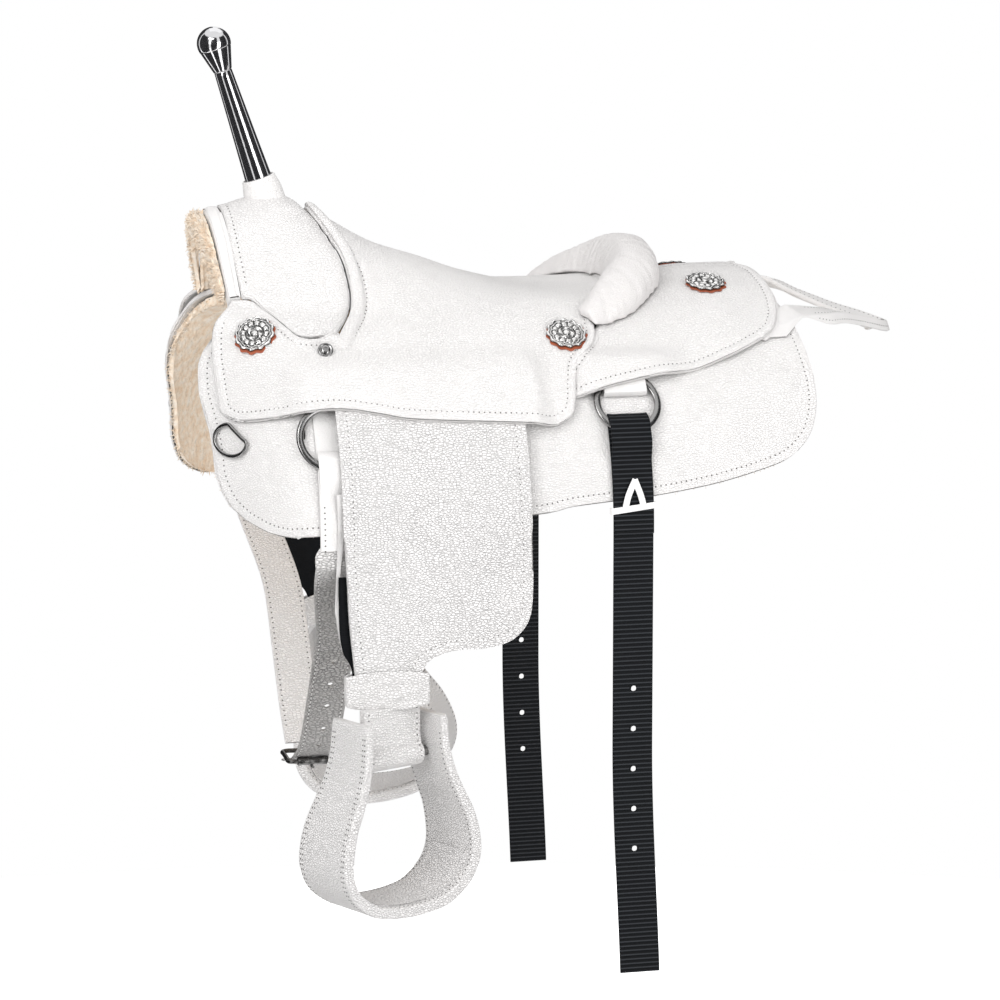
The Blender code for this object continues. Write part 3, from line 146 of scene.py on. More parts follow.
lamp("key", (-0.75, -1.0, 0.7), 2.6, 1.6, KEY_LIGHT)
lamp("fill", (0.45, -1.0, 0.05), 2.8, 2.0, FILL_LIGHT)
lamp("top", (0.1, 0.4, 1.0), 2.4, 1.8, TOP_LIGHT)
print("floor at", round(floor.location.z, 3))

# %% [markdown]
# ## The barrel
# Every layer lies on one barrel, the horse's back. A place on it is the length x along the horse and
# the arc s down the side, and a piece is a height over its places. The curves are the ones of the
# solids, only drawn finer here, so that each cover fits the solid that it stands for.

# %% Curves and heights over the barrel
BACK_RADIUS, GAP = 0.215, 0.0003
ROCK, ROCK_HALF_LENGTH, ROCK_HALF_ANGLE = 0.016, 0.26, 0.6
FLEECE_TOP, SKIRT_UNDER, SKIRT_TOP, REAR_JOCKEY_TOP, JOCKEY_TOP = 0.0142, 0.0150, 0.0200, 0.0250, 0.0305
COVER_THICK = 0.0045
SEAT_LINE = (
    (-0.300, 0.100), (-0.285, 0.104), (-0.262, 0.108), (-0.240, 0.116), (-0.218, 0.121), (-0.198, 0.120),
    (-0.180, 0.110), (-0.165, 0.101), (-0.150, 0.094), (-0.134, 0.084), (-0.117, 0.074), (-0.100, 0.0655),
    (-0.084, 0.0595), (-0.051, 0.0500), (-0.015, 0.0365), (0.032, 0.0230), (0.059, 0.0165), (0.086, 0.0135),
    (0.120, 0.015), (0.160, 0.0215), (0.200, 0.0260),
)
SEAT_HALF_ANGLE = ((-0.28, 0.39), (-0.20, 0.46), (-0.10, 0.52), (0.0, 0.46), (0.1, 0.42))
CUP, CUP_START, CUP_END = 0.48, 0.205, 0.335


def stations(table, x):
    if x <= table[0][0]:
        return table[0][1]
    for (x0, v0), (x1, v1) in zip(table, table[1:]):
        if x <= x1:
            return v0 + (v1 - v0) * (x - x0) / (x1 - x0)
    return table[-1][1]


def fade(u):
    """1 at u = 0, falling smoothly to 0 at u = 1 and staying there."""
    return max(0.0, 1.0 - u * u) ** 2


def rise(value, start, end):
    """0 before start, 1 after end and a smooth step between them."""
    t = min(1.0, max(0.0, (value - start) / (end - start)))
    return t * t * (3 - 2 * t)


def smooth_table(table, x, reach=0.010):
    """A table's value, rounded over the stations so that a fine cover shows no corner there."""
    return sum(stations(table, x + reach * step / 2) for step in (-2, -1, 0, 1, 2)) / 5


def rock(x, s):
    return -ROCK * fade(x / ROCK_HALF_LENGTH) * fade(s / BACK_RADIUS / ROCK_HALF_ANGLE)


def place(x, s, height):
    """The point at a height over a place, drawn in sideways at the cupped front."""
    angle, radius = s / BACK_RADIUS, BACK_RADIUS + height
    width = 1 - CUP * rise(-x, CUP_START, CUP_END) * rise(abs(s), 0.05, 0.17)
    return Vector((x, width * radius * math.sin(angle), radius * math.cos(angle) - BACK_RADIUS))


def normal_at(s):
    return Vector((0.0, math.sin(s / BACK_RADIUS), math.cos(s / BACK_RADIUS)))


def over_fender(x, s):
    along = rise(x, -0.245, -0.205) * (1 - rise(x, 0.022, 0.050))
    return 0.0114 * along * rise(abs(s), 0.145, 0.188)


def seat_top(x, s):
    raised = smooth_table(SEAT_LINE, x) - JOCKEY_TOP
    bulge = fade(s / BACK_RADIUS / smooth_table(SEAT_HALF_ANGLE, x))
    return JOCKEY_TOP + raised * bulge + over_fender(x, s)


def over_ring(x, s):
    along = rise(x, 0.066, 0.094) * (1 - rise(x, 0.158, 0.212))
    return 0.0112 * along * rise(abs(s), 0.150, 0.178)


def rear_jockey_top(x, s):
    crown = 0.0035 * fade(s / BACK_RADIUS / ROCK_HALF_ANGLE)
    return REAR_JOCKEY_TOP + crown + 0.0033 * rise(x, 0.205, 0.250) + over_ring(x, s)


def skirt_top(x, s):
    return rock(x, s) + SKIRT_TOP


def surface_frame(x, s, top):
    """A place on a cover: the point, the way along the horse, the way down the side and the way out."""
    step = 0.003
    here = place(x, s, top(x, s))
    along = (place(x + step, s, top(x + step, s)) - place(x - step, s, top(x - step, s))).normalized()
    down = place(x, s + step, top(x, s + step)) - place(x, s - step, top(x, s - step))
    out = along.cross(down).normalized()
    if out.dot(normal_at(s)) < 0:
        out = -out
    return here, along, out.cross(along), out


print("seat height over the back:", round(seat_top(0.0, 0.0), 4))

# %% [markdown]
# ## Patches and sheets
# A cover is cut as patches, each between four edges. Lines lie closer together near an edge that shows,
# because a rolled rim needs them there. A cover is then one closed sheet: its places at two heights,
# with the rim between them rounded. The distance to the rim stays on the sheet as a value that the
# leather's finish reads for its stitched groove and its worn edge.

# %% Patch and sheet builders
def along_curve(points, shares):
    """Points at these shares of a smooth curve's length."""
    points = [Vector((*p, 0.0)[:3]) for p in points]
    if len(points) == 2:
        return [points[0].lerp(points[1], share) for share in shares]
    ends = [2 * points[0] - points[1]] + points + [2 * points[-1] - points[-2]]
    fine = []
    for a, b, c, d in zip(ends, ends[1:], ends[2:], ends[3:]):
        for step in range(16):
            t = step / 16
            bend, twist = 2 * a - 5 * b + 4 * c - d, 3 * b - a - 3 * c + d
            fine.append(0.5 * (2 * b + (c - a) * t + bend * t**2 + twist * t**3))
    fine = np.array(fine + [points[-1]])
    lengths = np.concatenate([[0.0], np.cumsum(np.linalg.norm(np.diff(fine, axis=0), axis=1))])
    want = np.array(shares) * lengths[-1]
    return [Vector(p) for p in np.stack([np.interp(want, lengths, fine[:, k]) for k in range(3)], 1)]


def even(count):
    return [i / count for i in range(count + 1)]


def crowded(count, start=0.65, end=0.65):
    """Shares from 0 to 1 that lie closer together towards a start or an end that shows."""
    shares = []
    for u in even(count):
        both = u - start * math.sin(2 * math.pi * u) / (2 * math.pi) if start == end else None
        lean = u - (start - end) * math.sin(math.pi * u) / math.pi
        shares.append(both if both is not None else lean)
    return [share / shares[-1] for share in shares]


def patch(top, bottom, left, right, across, down):
    """A grid of places between four edges, at shares across and down."""
    top, bottom = along_curve(top, across), along_curve(bottom, across)
    left, right = along_curve(left, down), along_curve(right, down)
    grid = []
    for j, v in enumerate(down):
        row = []
        for i, u in enumerate(across):
            blended = (1 - v) * top[i] + v * bottom[i] + (1 - u) * left[j] + u * right[j]
            upper, lower = top[0].lerp(top[-1], u), bottom[0].lerp(bottom[-1], u)
            row.append(blended - (1 - v) * upper - v * lower)
        grid.append(row)
    return grid


def on_side(grid, side):
    return [[Vector((p.x, side * p.y, 0.0)) for p in row] for row in grid]


def distance_to(points, line, loop=False):
    """The distance of each point to a line through other points."""
    points, line = np.array(points, float), np.array(line, float)
    starts = line if loop else line[:-1]
    ways = (np.roll(line, -1, axis=0) if loop else line[1:]) - starts
    squares = np.maximum((ways**2).sum(1), 1e-18)
    found = np.full(len(points), 1e9)
    for first in range(0, len(starts), 200):
        a, d, q = starts[first:first + 200], ways[first:first + 200], squares[first:first + 200]
        gap = points[:, None, :] - a[None]
        t = np.clip((gap * d[None]).sum(2) / q[None], 0.0, 1.0)
        found = np.minimum(found, np.linalg.norm(gap - t[..., None] * d[None], axis=2).min(1))
    return found


def dress(name, mesh_or_bm, look, body, replaced=(), smooth=math.radians(50)):
    """Links a mesh as a piece that rides on a body and stands for its solids."""
    mesh = mesh_or_bm
    if isinstance(mesh_or_bm, bmesh.types.BMesh):
        mesh = bpy.data.meshes.new(name)
        mesh_or_bm.to_mesh(mesh)
        mesh_or_bm.free()
    obj = bpy.data.objects.new(name, mesh)
    bpy.context.scene.collection.objects.link(obj)
    for one in look if isinstance(look, (list, tuple)) else [look]:
        mesh.materials.append(one)
    mesh.shade_smooth()
    if smooth:
        mesh.set_sharp_from_angle(angle=smooth)
    if body:
        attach(obj, body)
    if replaced:
        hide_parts(*replaced)
    return obj


def open_loops(bm):
    """The open edges of a flat sheet, each loop in order."""
    left = {e for e in bm.edges if e.is_boundary}
    loops = []
    while left:
        edge = left.pop()
        loop, at = [edge.verts[0], edge.verts[1]], edge.verts[1]
        while True:
            onward = [e for e in at.link_edges if e in left]
            if not onward:
                break
            left.discard(onward[0])
            at = onward[0].other_vert(at)
            loop.append(at)
        loops.append([v.co.copy() for v in loop[:-1]])
    return loops


def sheet_on_barrel(grids, under, top, rim=0.0017, steps=3, lift=None):
    """A closed sheet between two heights, its rims rounded. Returns it and its open edges in places.
    lift(x, s, distance to the rim) is added to the top."""
    bm = bmesh.new()
    flat = bm.verts.layers.float_vector.new("place")
    inside = bm.verts.layers.float.new("from_edge")
    for grid in grids:
        rows = [[bm.verts.new((p.x, p.y, 0.0)) for p in row] for row in grid]
        for upper, lower in zip(rows, rows[1:]):
            for i in range(len(upper) - 1):
                bm.faces.new((upper[i], upper[i + 1], lower[i + 1], lower[i]))
    bmesh.ops.remove_doubles(bm, verts=bm.verts, dist=0.00012)
    loops = open_loops(bm)
    bm.verts.ensure_lookup_table()
    spots = [v.co.copy() for v in bm.verts]
    gaps = np.min([distance_to(spots, loop, True) for loop in loops], axis=0)
    for vert, gap in zip(bm.verts, gaps):
        vert[flat], vert[inside] = vert.co.copy(), gap
    bmesh.ops.recalc_face_normals(bm, faces=bm.faces)
    grown = bmesh.ops.extrude_face_region(bm, geom=bm.faces[:])
    raised = {v for v in grown["geom"] if isinstance(v, bmesh.types.BMVert)}
    for vert in bm.verts:
        x, s = vert[flat].x, vert[flat].y
        if vert in raised:
            height = top(x, s) + (lift(x, s, vert[inside]) if lift else 0.0)
        else:
            height = under(x, s)
        vert.co = place(x, s, height)
    walls = [f for f in bm.faces if len({v in raised for v in f.verts}) == 2]
    edges = {e for f in walls for e in f.edges if (e.verts[0] in raised) == (e.verts[1] in raised)}
    bmesh.ops.bevel(bm, geom=list(edges), offset=rim, segments=steps, profile=0.5, affect="EDGES")
    bmesh.ops.recalc_face_normals(bm, faces=bm.faces)
    if bm.calc_volume(signed=True) < 0:
        bmesh.ops.reverse_faces(bm, faces=bm.faces)
    return bm, loops


print("shares near an edge:", [round(share, 3) for share in crowded(12)[:4]])

# %% [markdown]
# ## Stitching
# A saddler sews with thick waxed thread: short raised stitches in a shallow groove, with a dark needle
# hole at each end. Each stitch is a small arched bead of thread here, and each hole a flat dark dot of
# painted shade, and all of a piece's stitches are one mesh. That keeps them sharp in any light and from
# any side.

# %% Stitch builder
STITCH_PITCH, THREAD_RADIUS, HOLE_RADIUS = 0.0056, 0.00045, 0.00100


def bead_shape():
    """One stitch along X from -0.5 to 0.5, as rings of five points, sunk at both ends."""
    points, faces = [], []
    rings = ((-0.5, 0.35, -0.9), (-0.30, 0.95, 0.1), (0.0, 1.0, 0.35), (0.30, 0.95, 0.1), (0.5, 0.35, -0.9))
    for at, size, lift in rings:
        for k in range(5):
            a = 2 * math.pi * k / 5 + 0.3
            points.append((at, size * math.cos(a), lift + size * math.sin(a)))
    for r in range(4):
        for k in range(5):
            faces.append((5 * r + k, 5 * r + (k + 1) % 5, 5 * r + 5 + (k + 1) % 5, 5 * r + 5 + k))
    faces += [tuple(range(4, -1, -1)), tuple(range(20, 25))]
    return np.array(points), faces


def resample(points, pitch, closed=False):
    points = np.array([list(p) for p in points], float)
    if closed:
        points = np.concatenate([points, points[:1]])
    lengths = np.concatenate([[0.0], np.cumsum(np.linalg.norm(np.diff(points, axis=0), axis=1))])
    count = max(2, int(round(lengths[-1] / pitch)) + 1)
    want = np.linspace(0.0, lengths[-1], count)
    return np.stack([np.interp(want, lengths, points[:, k]) for k in range(points.shape[1])], 1)


def sew(name, runs, body, on, pitch=STITCH_PITCH, thread=THREAD_RADIUS, blend=None):
    """Stitches along runs, each a pair of lists: points near the leather and the ways out of it."""
    leather_ = bpy.data.objects[on].data
    surface = BVHTree.FromPolygons([v.co for v in leather_.vertices], [tuple(p.vertices) for p in leather_.polygons])
    bead, bead_faces = bead_shape()
    points, faces, kinds = [], [], []
    for spots, outs in runs:
        path = resample([(*p, *(n * 1e-5)) for p, n in zip(spots, outs)], pitch)
        for row in path:
            out = Vector(row[3:]).normalized()
            hit = surface.ray_cast(Vector(row[:3]) + out * 0.0030, -out, 0.0060)[0]
            row[:3] = row[:3] if hit is None else hit
        for a, b in zip(path, path[1:]):
            along, out = b[:3] - a[:3], a[3:] + b[3:]
            length = np.linalg.norm(along)
            if length < 1e-6:
                continue
            along, out = along / length, out / np.linalg.norm(out)
            across = np.cross(out, along)
            axes = np.stack([along * length * 0.58, across * thread, out * thread * 0.8])
            start = len(points)
            points.extend((a[:3] + b[:3]) / 2 + bead @ axes)
            faces.extend(tuple(start + k for k in face) for face in bead_faces)
            kinds.extend([0] * len(bead_faces))
            # A flat dark disc at each needle hole: painted shade.
            start = len(points)
            for k in range(7):
                turn = 2 * math.pi * k / 7
                spot = along * math.cos(turn) * HOLE_RADIUS * 0.8 + across * math.sin(turn) * HOLE_RADIUS
                points.append(a[:3] + spot + out * 0.00010)
            faces.append(tuple(range(start, start + 7)))
            kinds.append(1)
    mesh = bpy.data.meshes.new(name)
    mesh.from_pydata([tuple(p) for p in points], [], faces)
    obj = dress(name, mesh, [thread_look, needle_hole_shade_look], None if blend else body, smooth=math.radians(80))
    obj.data.polygons.foreach_set("material_index", np.array(kinds, np.int32))
    if blend:
        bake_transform(obj)
    print(name, kinds.count(0), "stitches")
    return obj


def inner_run(loop, inset, top, keep, lift=0.0):
    """The stitch line a distance inside an open edge of a sheet, as points on the leather and ways out."""
    loop = resample([(p.x, p.y) for p in loop], 0.0025, True)[:-1]
    ways = np.roll(loop, -1, axis=0) - np.roll(loop, 1, axis=0)
    sides = np.stack([-ways[:, 1], ways[:, 0]], 1) / np.linalg.norm(ways, axis=1)[:, None]
    area = (loop[:, 0] * np.roll(loop[:, 1], -1) - np.roll(loop[:, 0], -1) * loop[:, 1]).sum()
    line = loop + sides * inset * (1 if area > 0 else -1)
    kept = distance_to(line, loop, True) > inset * 0.985
    runs, spots, outs = [], [], []
    start = next((i for i in range(len(line)) if not (kept[i] and keep(*line[i]))), 0)
    for k in range(len(line) + 1):
        x, s = line[(start + k) % len(line)]
        if k < len(line) and not kept[(start + k) % len(line)] and keep(x, s):
            continue
        if k == len(line) or not keep(x, s):
            if len(spots) > 3:
                runs.append((spots, outs))
            spots, outs = [], []
            continue
        here, _, _, out = surface_frame(x, s, top)
        spots.append(here + out * (lift(x, s, inset) + 0.0001 if callable(lift) else lift))
        outs.append(out)
    return runs


print("a stitch takes", STITCH_PITCH * 1000, "mm")

# %% [markdown]
# ## Finishes
# Each finish is a small tree of noise and cell patterns, in real units, so it looks the same on every
# piece and needs no picture. The white leather is tanned with a pebbled grain: cells about 1.6 mm wide
# with fine creases between them, over slower changes in colour, shine and height.

# %% Tools for a finish
def finish_tree(name, roughness, metallic=0.0):
    look = bpy.data.materials.new(name)
    look.use_nodes = True
    shader = look.node_tree.nodes["Principled BSDF"]
    shader.inputs["Roughness"].default_value = roughness
    shader.inputs["Metallic"].default_value = metallic
    return look, look.node_tree, shader


def add(tree, kind, settings=(), **inputs):
    """A node with its settings, and its inputs as numbers or as sockets that feed them."""
    node = tree.nodes.new(kind)
    for key, value in dict(settings).items():
        setattr(node, key, value)
    for key, value in inputs.items():
        socket = node.inputs[int(key[2:])] if key.startswith("at") else node.inputs[key.replace("_", " ")]
        if isinstance(value, bpy.types.NodeSocket):
            tree.links.new(value, socket)
        else:
            socket.default_value = value
    return node


def spot(tree):
    return add(tree, "ShaderNodeTexCoord").outputs["Object"]


def cells(tree, scale, feature="F1", randomness=1.0, stretch=(1.0, 1.0, 1.0)):
    spread = add(tree, "ShaderNodeMapping", Vector=spot(tree), Scale=stretch).outputs["Vector"]
    return add(tree, "ShaderNodeTexVoronoi", {"feature": feature}, Vector=spread, Scale=scale,
               Randomness=randomness).outputs["Distance"]


def cloud(tree, scale, detail=4.0, stretch=(1.0, 1.0, 1.0)):
    spread = add(tree, "ShaderNodeMapping", Vector=spot(tree), Scale=stretch).outputs["Vector"]
    return add(tree, "ShaderNodeTexNoise", Vector=spread, Scale=scale, Detail=detail).outputs["Fac"]


def ramp(tree, value, *stops):
    """Colours, or grey levels, at places from 0 to 1."""
    node = add(tree, "ShaderNodeValToRGB", Fac=value)
    while len(node.color_ramp.elements) < len(stops):
        node.color_ramp.elements.new(0.5)
    for element, (at, colour) in zip(node.color_ramp.elements, stops):
        element.position = at
        element.color = (*colour, 1.0) if isinstance(colour, tuple) else (colour, colour, colour, 1.0)
    return node.outputs["Color"]


def mixed(tree, share, a, b, how="MIX"):
    node = tree.nodes.new("ShaderNodeMix")
    node.data_type, node.blend_type = "RGBA", how
    for socket, value in ((node.inputs[0], share), (node.inputs[6], a), (node.inputs[7], b)):
        if isinstance(value, bpy.types.NodeSocket):
            tree.links.new(value, socket)
        else:
            socket.default_value = (*value, 1.0) if isinstance(value, tuple) else value
    return node.outputs[2]


def number(tree, how, a, b):
    node = add(tree, "ShaderNodeMath", {"operation": how})
    for socket, value in zip(node.inputs, (a, b)):
        if isinstance(value, bpy.types.NodeSocket):
            tree.links.new(value, socket)
        else:
            socket.default_value = value
    return node.outputs[0]


def raised(tree, shader, *layers):
    """Bumps in metres, one over the other: each a height socket and how deep it is."""
    normal = None
    for height, depth in layers:
        bump = add(tree, "ShaderNodeBump", Height=height, Distance=depth)
        if normal:
            tree.links.new(normal, bump.inputs["Normal"])
        normal = bump.outputs["Normal"]
    tree.links.new(normal, shader.inputs["Normal"])


def colour_from(tree, shader, socket, roughness=None):
    tree.links.new(socket, shader.inputs["Base Color"])
    if roughness:
        tree.links.new(roughness, shader.inputs["Roughness"])


print("finish tools ready")

# %% [markdown]
# ### White leather
# The groove of the stitch line comes from the sheet's own distance to its rim, and the rim itself is a
# touch darker and smoother, where the cut edge was rubbed down and hands have worn it. Occlusion darkens
# the colour in seams and folds, which is painted shade, and the near girth's grey is painted shade with
# painted light towards its top.

# %% White leather
STITCH_INSET = 0.0085


WHITE = (0.860, 0.842, 0.833)


def leather(name, colour, pebble=400.0, depth=0.00060, groove=STITCH_INSET, roughness=0.50, crease=0.10,
            painted_lit_above=None):
    look, tree, shader = finish_tree(name, roughness)
    shader.inputs["Specular IOR Level"].default_value = 0.38
    grain = cells(tree, pebble, "DISTANCE_TO_EDGE", 1.0, (0.7, 0.9, 1.25))
    fade_out = ramp(tree, cloud(tree, 18.0, 3.0), (0.38, 0.45), (0.62, 1.0))
    pebbles = ramp(tree, grain, (0.0, 0.0), (0.10, 0.75), (0.28, 1.0))
    slow, wide = cloud(tree, 46.0, 5.0), cloud(tree, 7.0, 3.0)
    dusk = tuple(c * (1 - crease) for c in colour)
    ground = mixed(tree, ramp(tree, wide, (0.35, 0.0), (0.65, 1.0)), colour, tuple(c * 0.975 for c in colour))
    shaded = mixed(tree, pebbles, mixed(tree, fade_out, ground, dusk), ground)
    edge = add(tree, "ShaderNodeAttribute", {"attribute_name": "from_edge"}).outputs["Fac"]
    away = add(tree, "ShaderNodeMapRange", Value=edge, at1=0.0, at2=0.0022).outputs["Result"]
    worn_and_painted_shading = mixed(tree, away, tuple(c * 0.955 for c in colour), shaded)
    # Above this height the colour is mixed to white: painted light on the top of a strap whose colour is painted shade.
    if painted_lit_above:
        high = add(tree, "ShaderNodeSeparateXYZ", Vector=spot(tree)).outputs["Z"]
        lit = add(tree, "ShaderNodeMapRange", Value=high, at1=painted_lit_above - 0.055, at2=painted_lit_above).outputs["Result"]
        worn_and_painted_shading = mixed(tree, lit, worn_and_painted_shading, WHITE)
    shine = ramp(tree, slow, (0.3, roughness - 0.07), (0.7, roughness + 0.10))
    # A short-reach occlusion darkens the colour in seams and where pieces touch: painted seam shade.
    seam = add(tree, "ShaderNodeAmbientOcclusion", {"samples": 6}, Distance=0.0040).outputs["AO"]
    dust_and_seam_shade = ramp(tree, seam, (0.0, 0.36), (0.32, 1.0))
    # A long-reach occlusion darkens the colour in folds and under overlapping pieces: painted shade.
    painted_fold_shade = add(tree, "ShaderNodeAmbientOcclusion", {"samples": 6}, Distance=0.022).outputs["AO"]
    worn_and_painted_shading = mixed(tree, 1.0, worn_and_painted_shading, ramp(tree, painted_fold_shade, (0.0, 0.60), (0.42, 1.0)), "MULTIPLY")
    colour_from(tree, shader, mixed(tree, 1.0, worn_and_painted_shading, dust_and_seam_shade, "MULTIPLY"), shine)
    from_line = number(tree, "ABSOLUTE", number(tree, "SUBTRACT", edge, groove), 0.0)
    sunk = add(tree, "ShaderNodeMapRange", {"interpolation_type": "SMOOTHSTEP"}, Value=from_line,
               at1=0.0, at2=0.0016).outputs["Result"]
    raised(tree, shader, (slow, 0.0016), (sunk, 0.00016), (pebbles, depth))
    return look


white_leather = leather("white_pebbled_leather", WHITE)
smooth_leather = leather("smooth_white_leather", (0.875, 0.858, 0.849), 520.0, 0.00030, roughness=0.44, crease=0.06)
soft_leather = leather("soft_cantle_leather", (0.845, 0.820, 0.811), 480.0, 0.00040, groove=1.0)
# The near girth strap is white leather painted grey as painted shade where it turns in under the saddle, and painted
# white again towards its top as painted light.
painted_shade_girth_leather = leather("girth_leather_painted_shade", (0.50, 0.485, 0.475), 300.0, 0.00160, groove=0.0042, crease=0.50,
                        painted_lit_above=-0.215)
far_girth_leather = leather("girth_leather_inside", (0.88, 0.865, 0.862), 360.0, 0.00080, groove=0.0042)
fender_finish = leather("fender_leather", (0.860, 0.843, 0.836), 370.0, 0.00105, groove=0.0095, crease=0.20)
stirrup_finish = leather("stirrup_cover_leather", (0.875, 0.856, 0.848), 370.0, 0.00105, groove=1.0, crease=0.22)
print("leather finishes: 7")

# %% [markdown]
# ### Thread, fleece and webbing
# Fleece is dyed sheepskin: warm tan in its depths and paler at the tips of the locks. Webbing is black
# nylon woven in ribs across its width, with a firmer woven border on each side, and its rib crests are
# painted lighter as a painted highlight.

# %% Thread, needle holes, fleece and webbing
thread_look, tree, shader = finish_tree("white_waxed_thread", 0.5)
twist = add(tree, "ShaderNodeTexWave", {"bands_direction": "DIAGONAL"}, Vector=spot(tree), Scale=900.0)
colour_from(tree, shader, ramp(tree, twist.outputs["Fac"], (0.2, (0.80, 0.785, 0.775)), (0.8, (0.88, 0.87, 0.86))))
raised(tree, shader, (twist.outputs["Fac"], 0.0001))

# Needle holes are flat dark dots laid on the leather: painted shade for the holes.
needle_hole_shade_look, tree, shader = finish_tree("needle_hole", 0.8)
colour_from(tree, shader, ramp(tree, cloud(tree, 300.0), (0.3, (0.085, 0.08, 0.078)), (0.7, (0.16, 0.15, 0.145))))

fleece_look, tree, shader = finish_tree("tan_fleece", 0.95)
shader.inputs["Sheen Weight"].default_value = 0.35
shader.inputs["Sheen Roughness"].default_value = 0.5
wool = cloud(tree, 130.0, 6.0)
curl = cells(tree, 210.0)
tan = ramp(tree, wool, (0.30, (0.84, 0.65, 0.47)), (0.52, (0.95, 0.83, 0.69)), (0.75, (0.99, 0.94, 0.87)))
colour_from(tree, shader, mixed(tree, ramp(tree, curl, (0.1, 0.0), (0.8, 0.18)), tan, (0.86, 0.67, 0.49)))
raised(tree, shader, (wool, 0.0030), (curl, 0.0012))


def webbing(name, rib_axis, pitch=0.0024):
    look, tree, shader = finish_tree(name, 0.55)
    shader.inputs["Specular IOR Level"].default_value = 0.10
    ribs = add(tree, "ShaderNodeTexWave", {"bands_direction": rib_axis}, Vector=spot(tree),
               Scale=2 * math.pi / (20 * pitch), Distortion=0.6, Detail=1.0, Detail_Scale=3.0).outputs["Fac"]
    dust_and_seam_shade = cloud(tree, 90.0, 6.0)
    dark = mixed(tree, ramp(tree, dust_and_seam_shade, (0.35, 0.0), (0.75, 1.0)), (0.0030, 0.0036, 0.0047), (0.0062, 0.0070, 0.0086))
    # Rib crests are painted a lighter grey: a painted highlight along each rib.
    crest = ramp(tree, add(tree, "ShaderNodeAttribute", {"attribute_name": "rib"}).outputs["Fac"], (0.62, 0.0), (0.95, 1.0))
    dark = mixed(tree, crest, dark, (0.034, 0.037, 0.042))
    colour_from(tree, shader, dark, ramp(tree, dust_and_seam_shade, (0.3, 0.42), (0.7, 0.62)))
    weave = cells(tree, 900.0)
    raised(tree, shader, (ribs, 0.00012), (weave, 0.00012))
    return look


nylon_webbing = webbing("black_nylon_webbing", "Z")
cord_look, tree, shader = finish_tree("white_lace", 0.6)
braid = cells(tree, 1100.0)
colour_from(tree, shader, ramp(tree, braid, (0.1, (0.80, 0.79, 0.78)), (0.7, (0.91, 0.90, 0.89))))
raised(tree, shader, (braid, 0.00025))
print("fabric finishes: thread, needle hole, fleece, webbing, lace")

# %% [markdown]
# ### Metal, wood and the rosettes
# The horn is turned and polished steel, darker than the rings, which were blasted to a satin grey. The
# conchos are silver with black left in the engraving. Under the covers the tree keeps its own finishes:
# laminated wood for the bars and fork and sheet steel for the ground seat.

# %% Metal, wood and rosette leather
def metal(name, colour, roughness, scratch, depth, stretch=(1.0, 1.0, 1.0), dark=0.85):
    look, tree, shader = finish_tree(name, roughness, 1.0)
    streaks, stain = cloud(tree, scratch, 4.0, stretch), cloud(tree, 60.0, 4.0)
    shade = mixed(tree, ramp(tree, stain, (0.3, 0.0), (0.7, 1.0)), tuple(c * dark for c in colour), colour)
    colour_from(tree, shader, shade, ramp(tree, streaks, (0.3, roughness * 0.75), (0.7, roughness * 1.3)))
    raised(tree, shader, (streaks, depth))
    return look


horn_steel = metal("polished_horn_steel", (0.78, 0.78, 0.795), 0.09, 260.0, 0.00004, (1.0, 1.0, 0.12), 0.85)
ring_steel = metal("satin_ring_steel", (0.40, 0.395, 0.392), 0.20, 700.0, 0.00005)
buckle_steel = metal("dull_buckle_steel", (0.16, 0.157, 0.154), 0.30, 600.0, 0.00005)
silver, tree, shader = finish_tree("engraved_silver", 0.22, 1.0)
cut_line = cells(tree, 520.0)
polish = ramp(tree, cut_line, (0.0, (0.50, 0.497, 0.494)), (0.30, (0.82, 0.815, 0.81)), (0.7, (0.97, 0.965, 0.96)))
edge = add(tree, "ShaderNodeAttribute", {"attribute_name": "relief"}).outputs["Fac"]
tarnish = ramp(tree, edge, (0.22, (0.03, 0.03, 0.03)), (0.42, (0.45, 0.445, 0.44)), (0.62, (0.97, 0.965, 0.96)))
colour_from(tree, shader, mixed(tree, 0.85, polish, tarnish, "MULTIPLY"), ramp(tree, cloud(tree, 400.0), (0.3, 0.18), (0.7, 0.34)))
raised(tree, shader, (cut_line, 0.00012))

rosette_leather, tree, shader = finish_tree("red_brown_rosette_leather", 0.6)
brown = cloud(tree, 160.0, 5.0)
colour_from(tree, shader, ramp(tree, brown, (0.3, (0.29, 0.066, 0.030)), (0.7, (0.46, 0.125, 0.058))))
raised(tree, shader, (brown, 0.0003))

tree_wood, tree, shader = finish_tree("laminated_tree_wood", 0.7)
rings = add(tree, "ShaderNodeTexWave", {"bands_direction": "Z"}, Vector=spot(tree), Scale=60.0, Distortion=5.0, Detail=3.0)
colour_from(tree, shader, ramp(tree, rings.outputs["Fac"], (0.2, (0.45, 0.29, 0.16)), (0.8, (0.66, 0.47, 0.29))))
raised(tree, shader, (rings.outputs["Fac"], 0.0003))
ground_steel = metal("ground_seat_steel", (0.42, 0.42, 0.43), 0.38, 300.0, 0.00005, (0.2, 1.0, 1.0))

HIDDEN = {"tree_bar": tree_wood, "fork_block": tree_wood, "cantle_block": tree_wood, "ground_seat": ground_steel}
for name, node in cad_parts.items():
    for ending, look in HIDDEN.items():
        if name.endswith(ending):
            for index in range(len(node.material_slots)):
                node.material_slots[index].link = "OBJECT"
                node.material_slots[index].material = look
print("metal, silver, rosette and tree finishes made")

# %% [markdown]
# ## Skirts and fleece
# The two skirts are the lowest leather and spread the rider's weight. Each could be a flat shape with a
# thickness, but it has to follow the barrel, so it is a sheet over its places with a stitched border.
# The fleece below is a thick lining; its edge shows as a row of small curled locks.

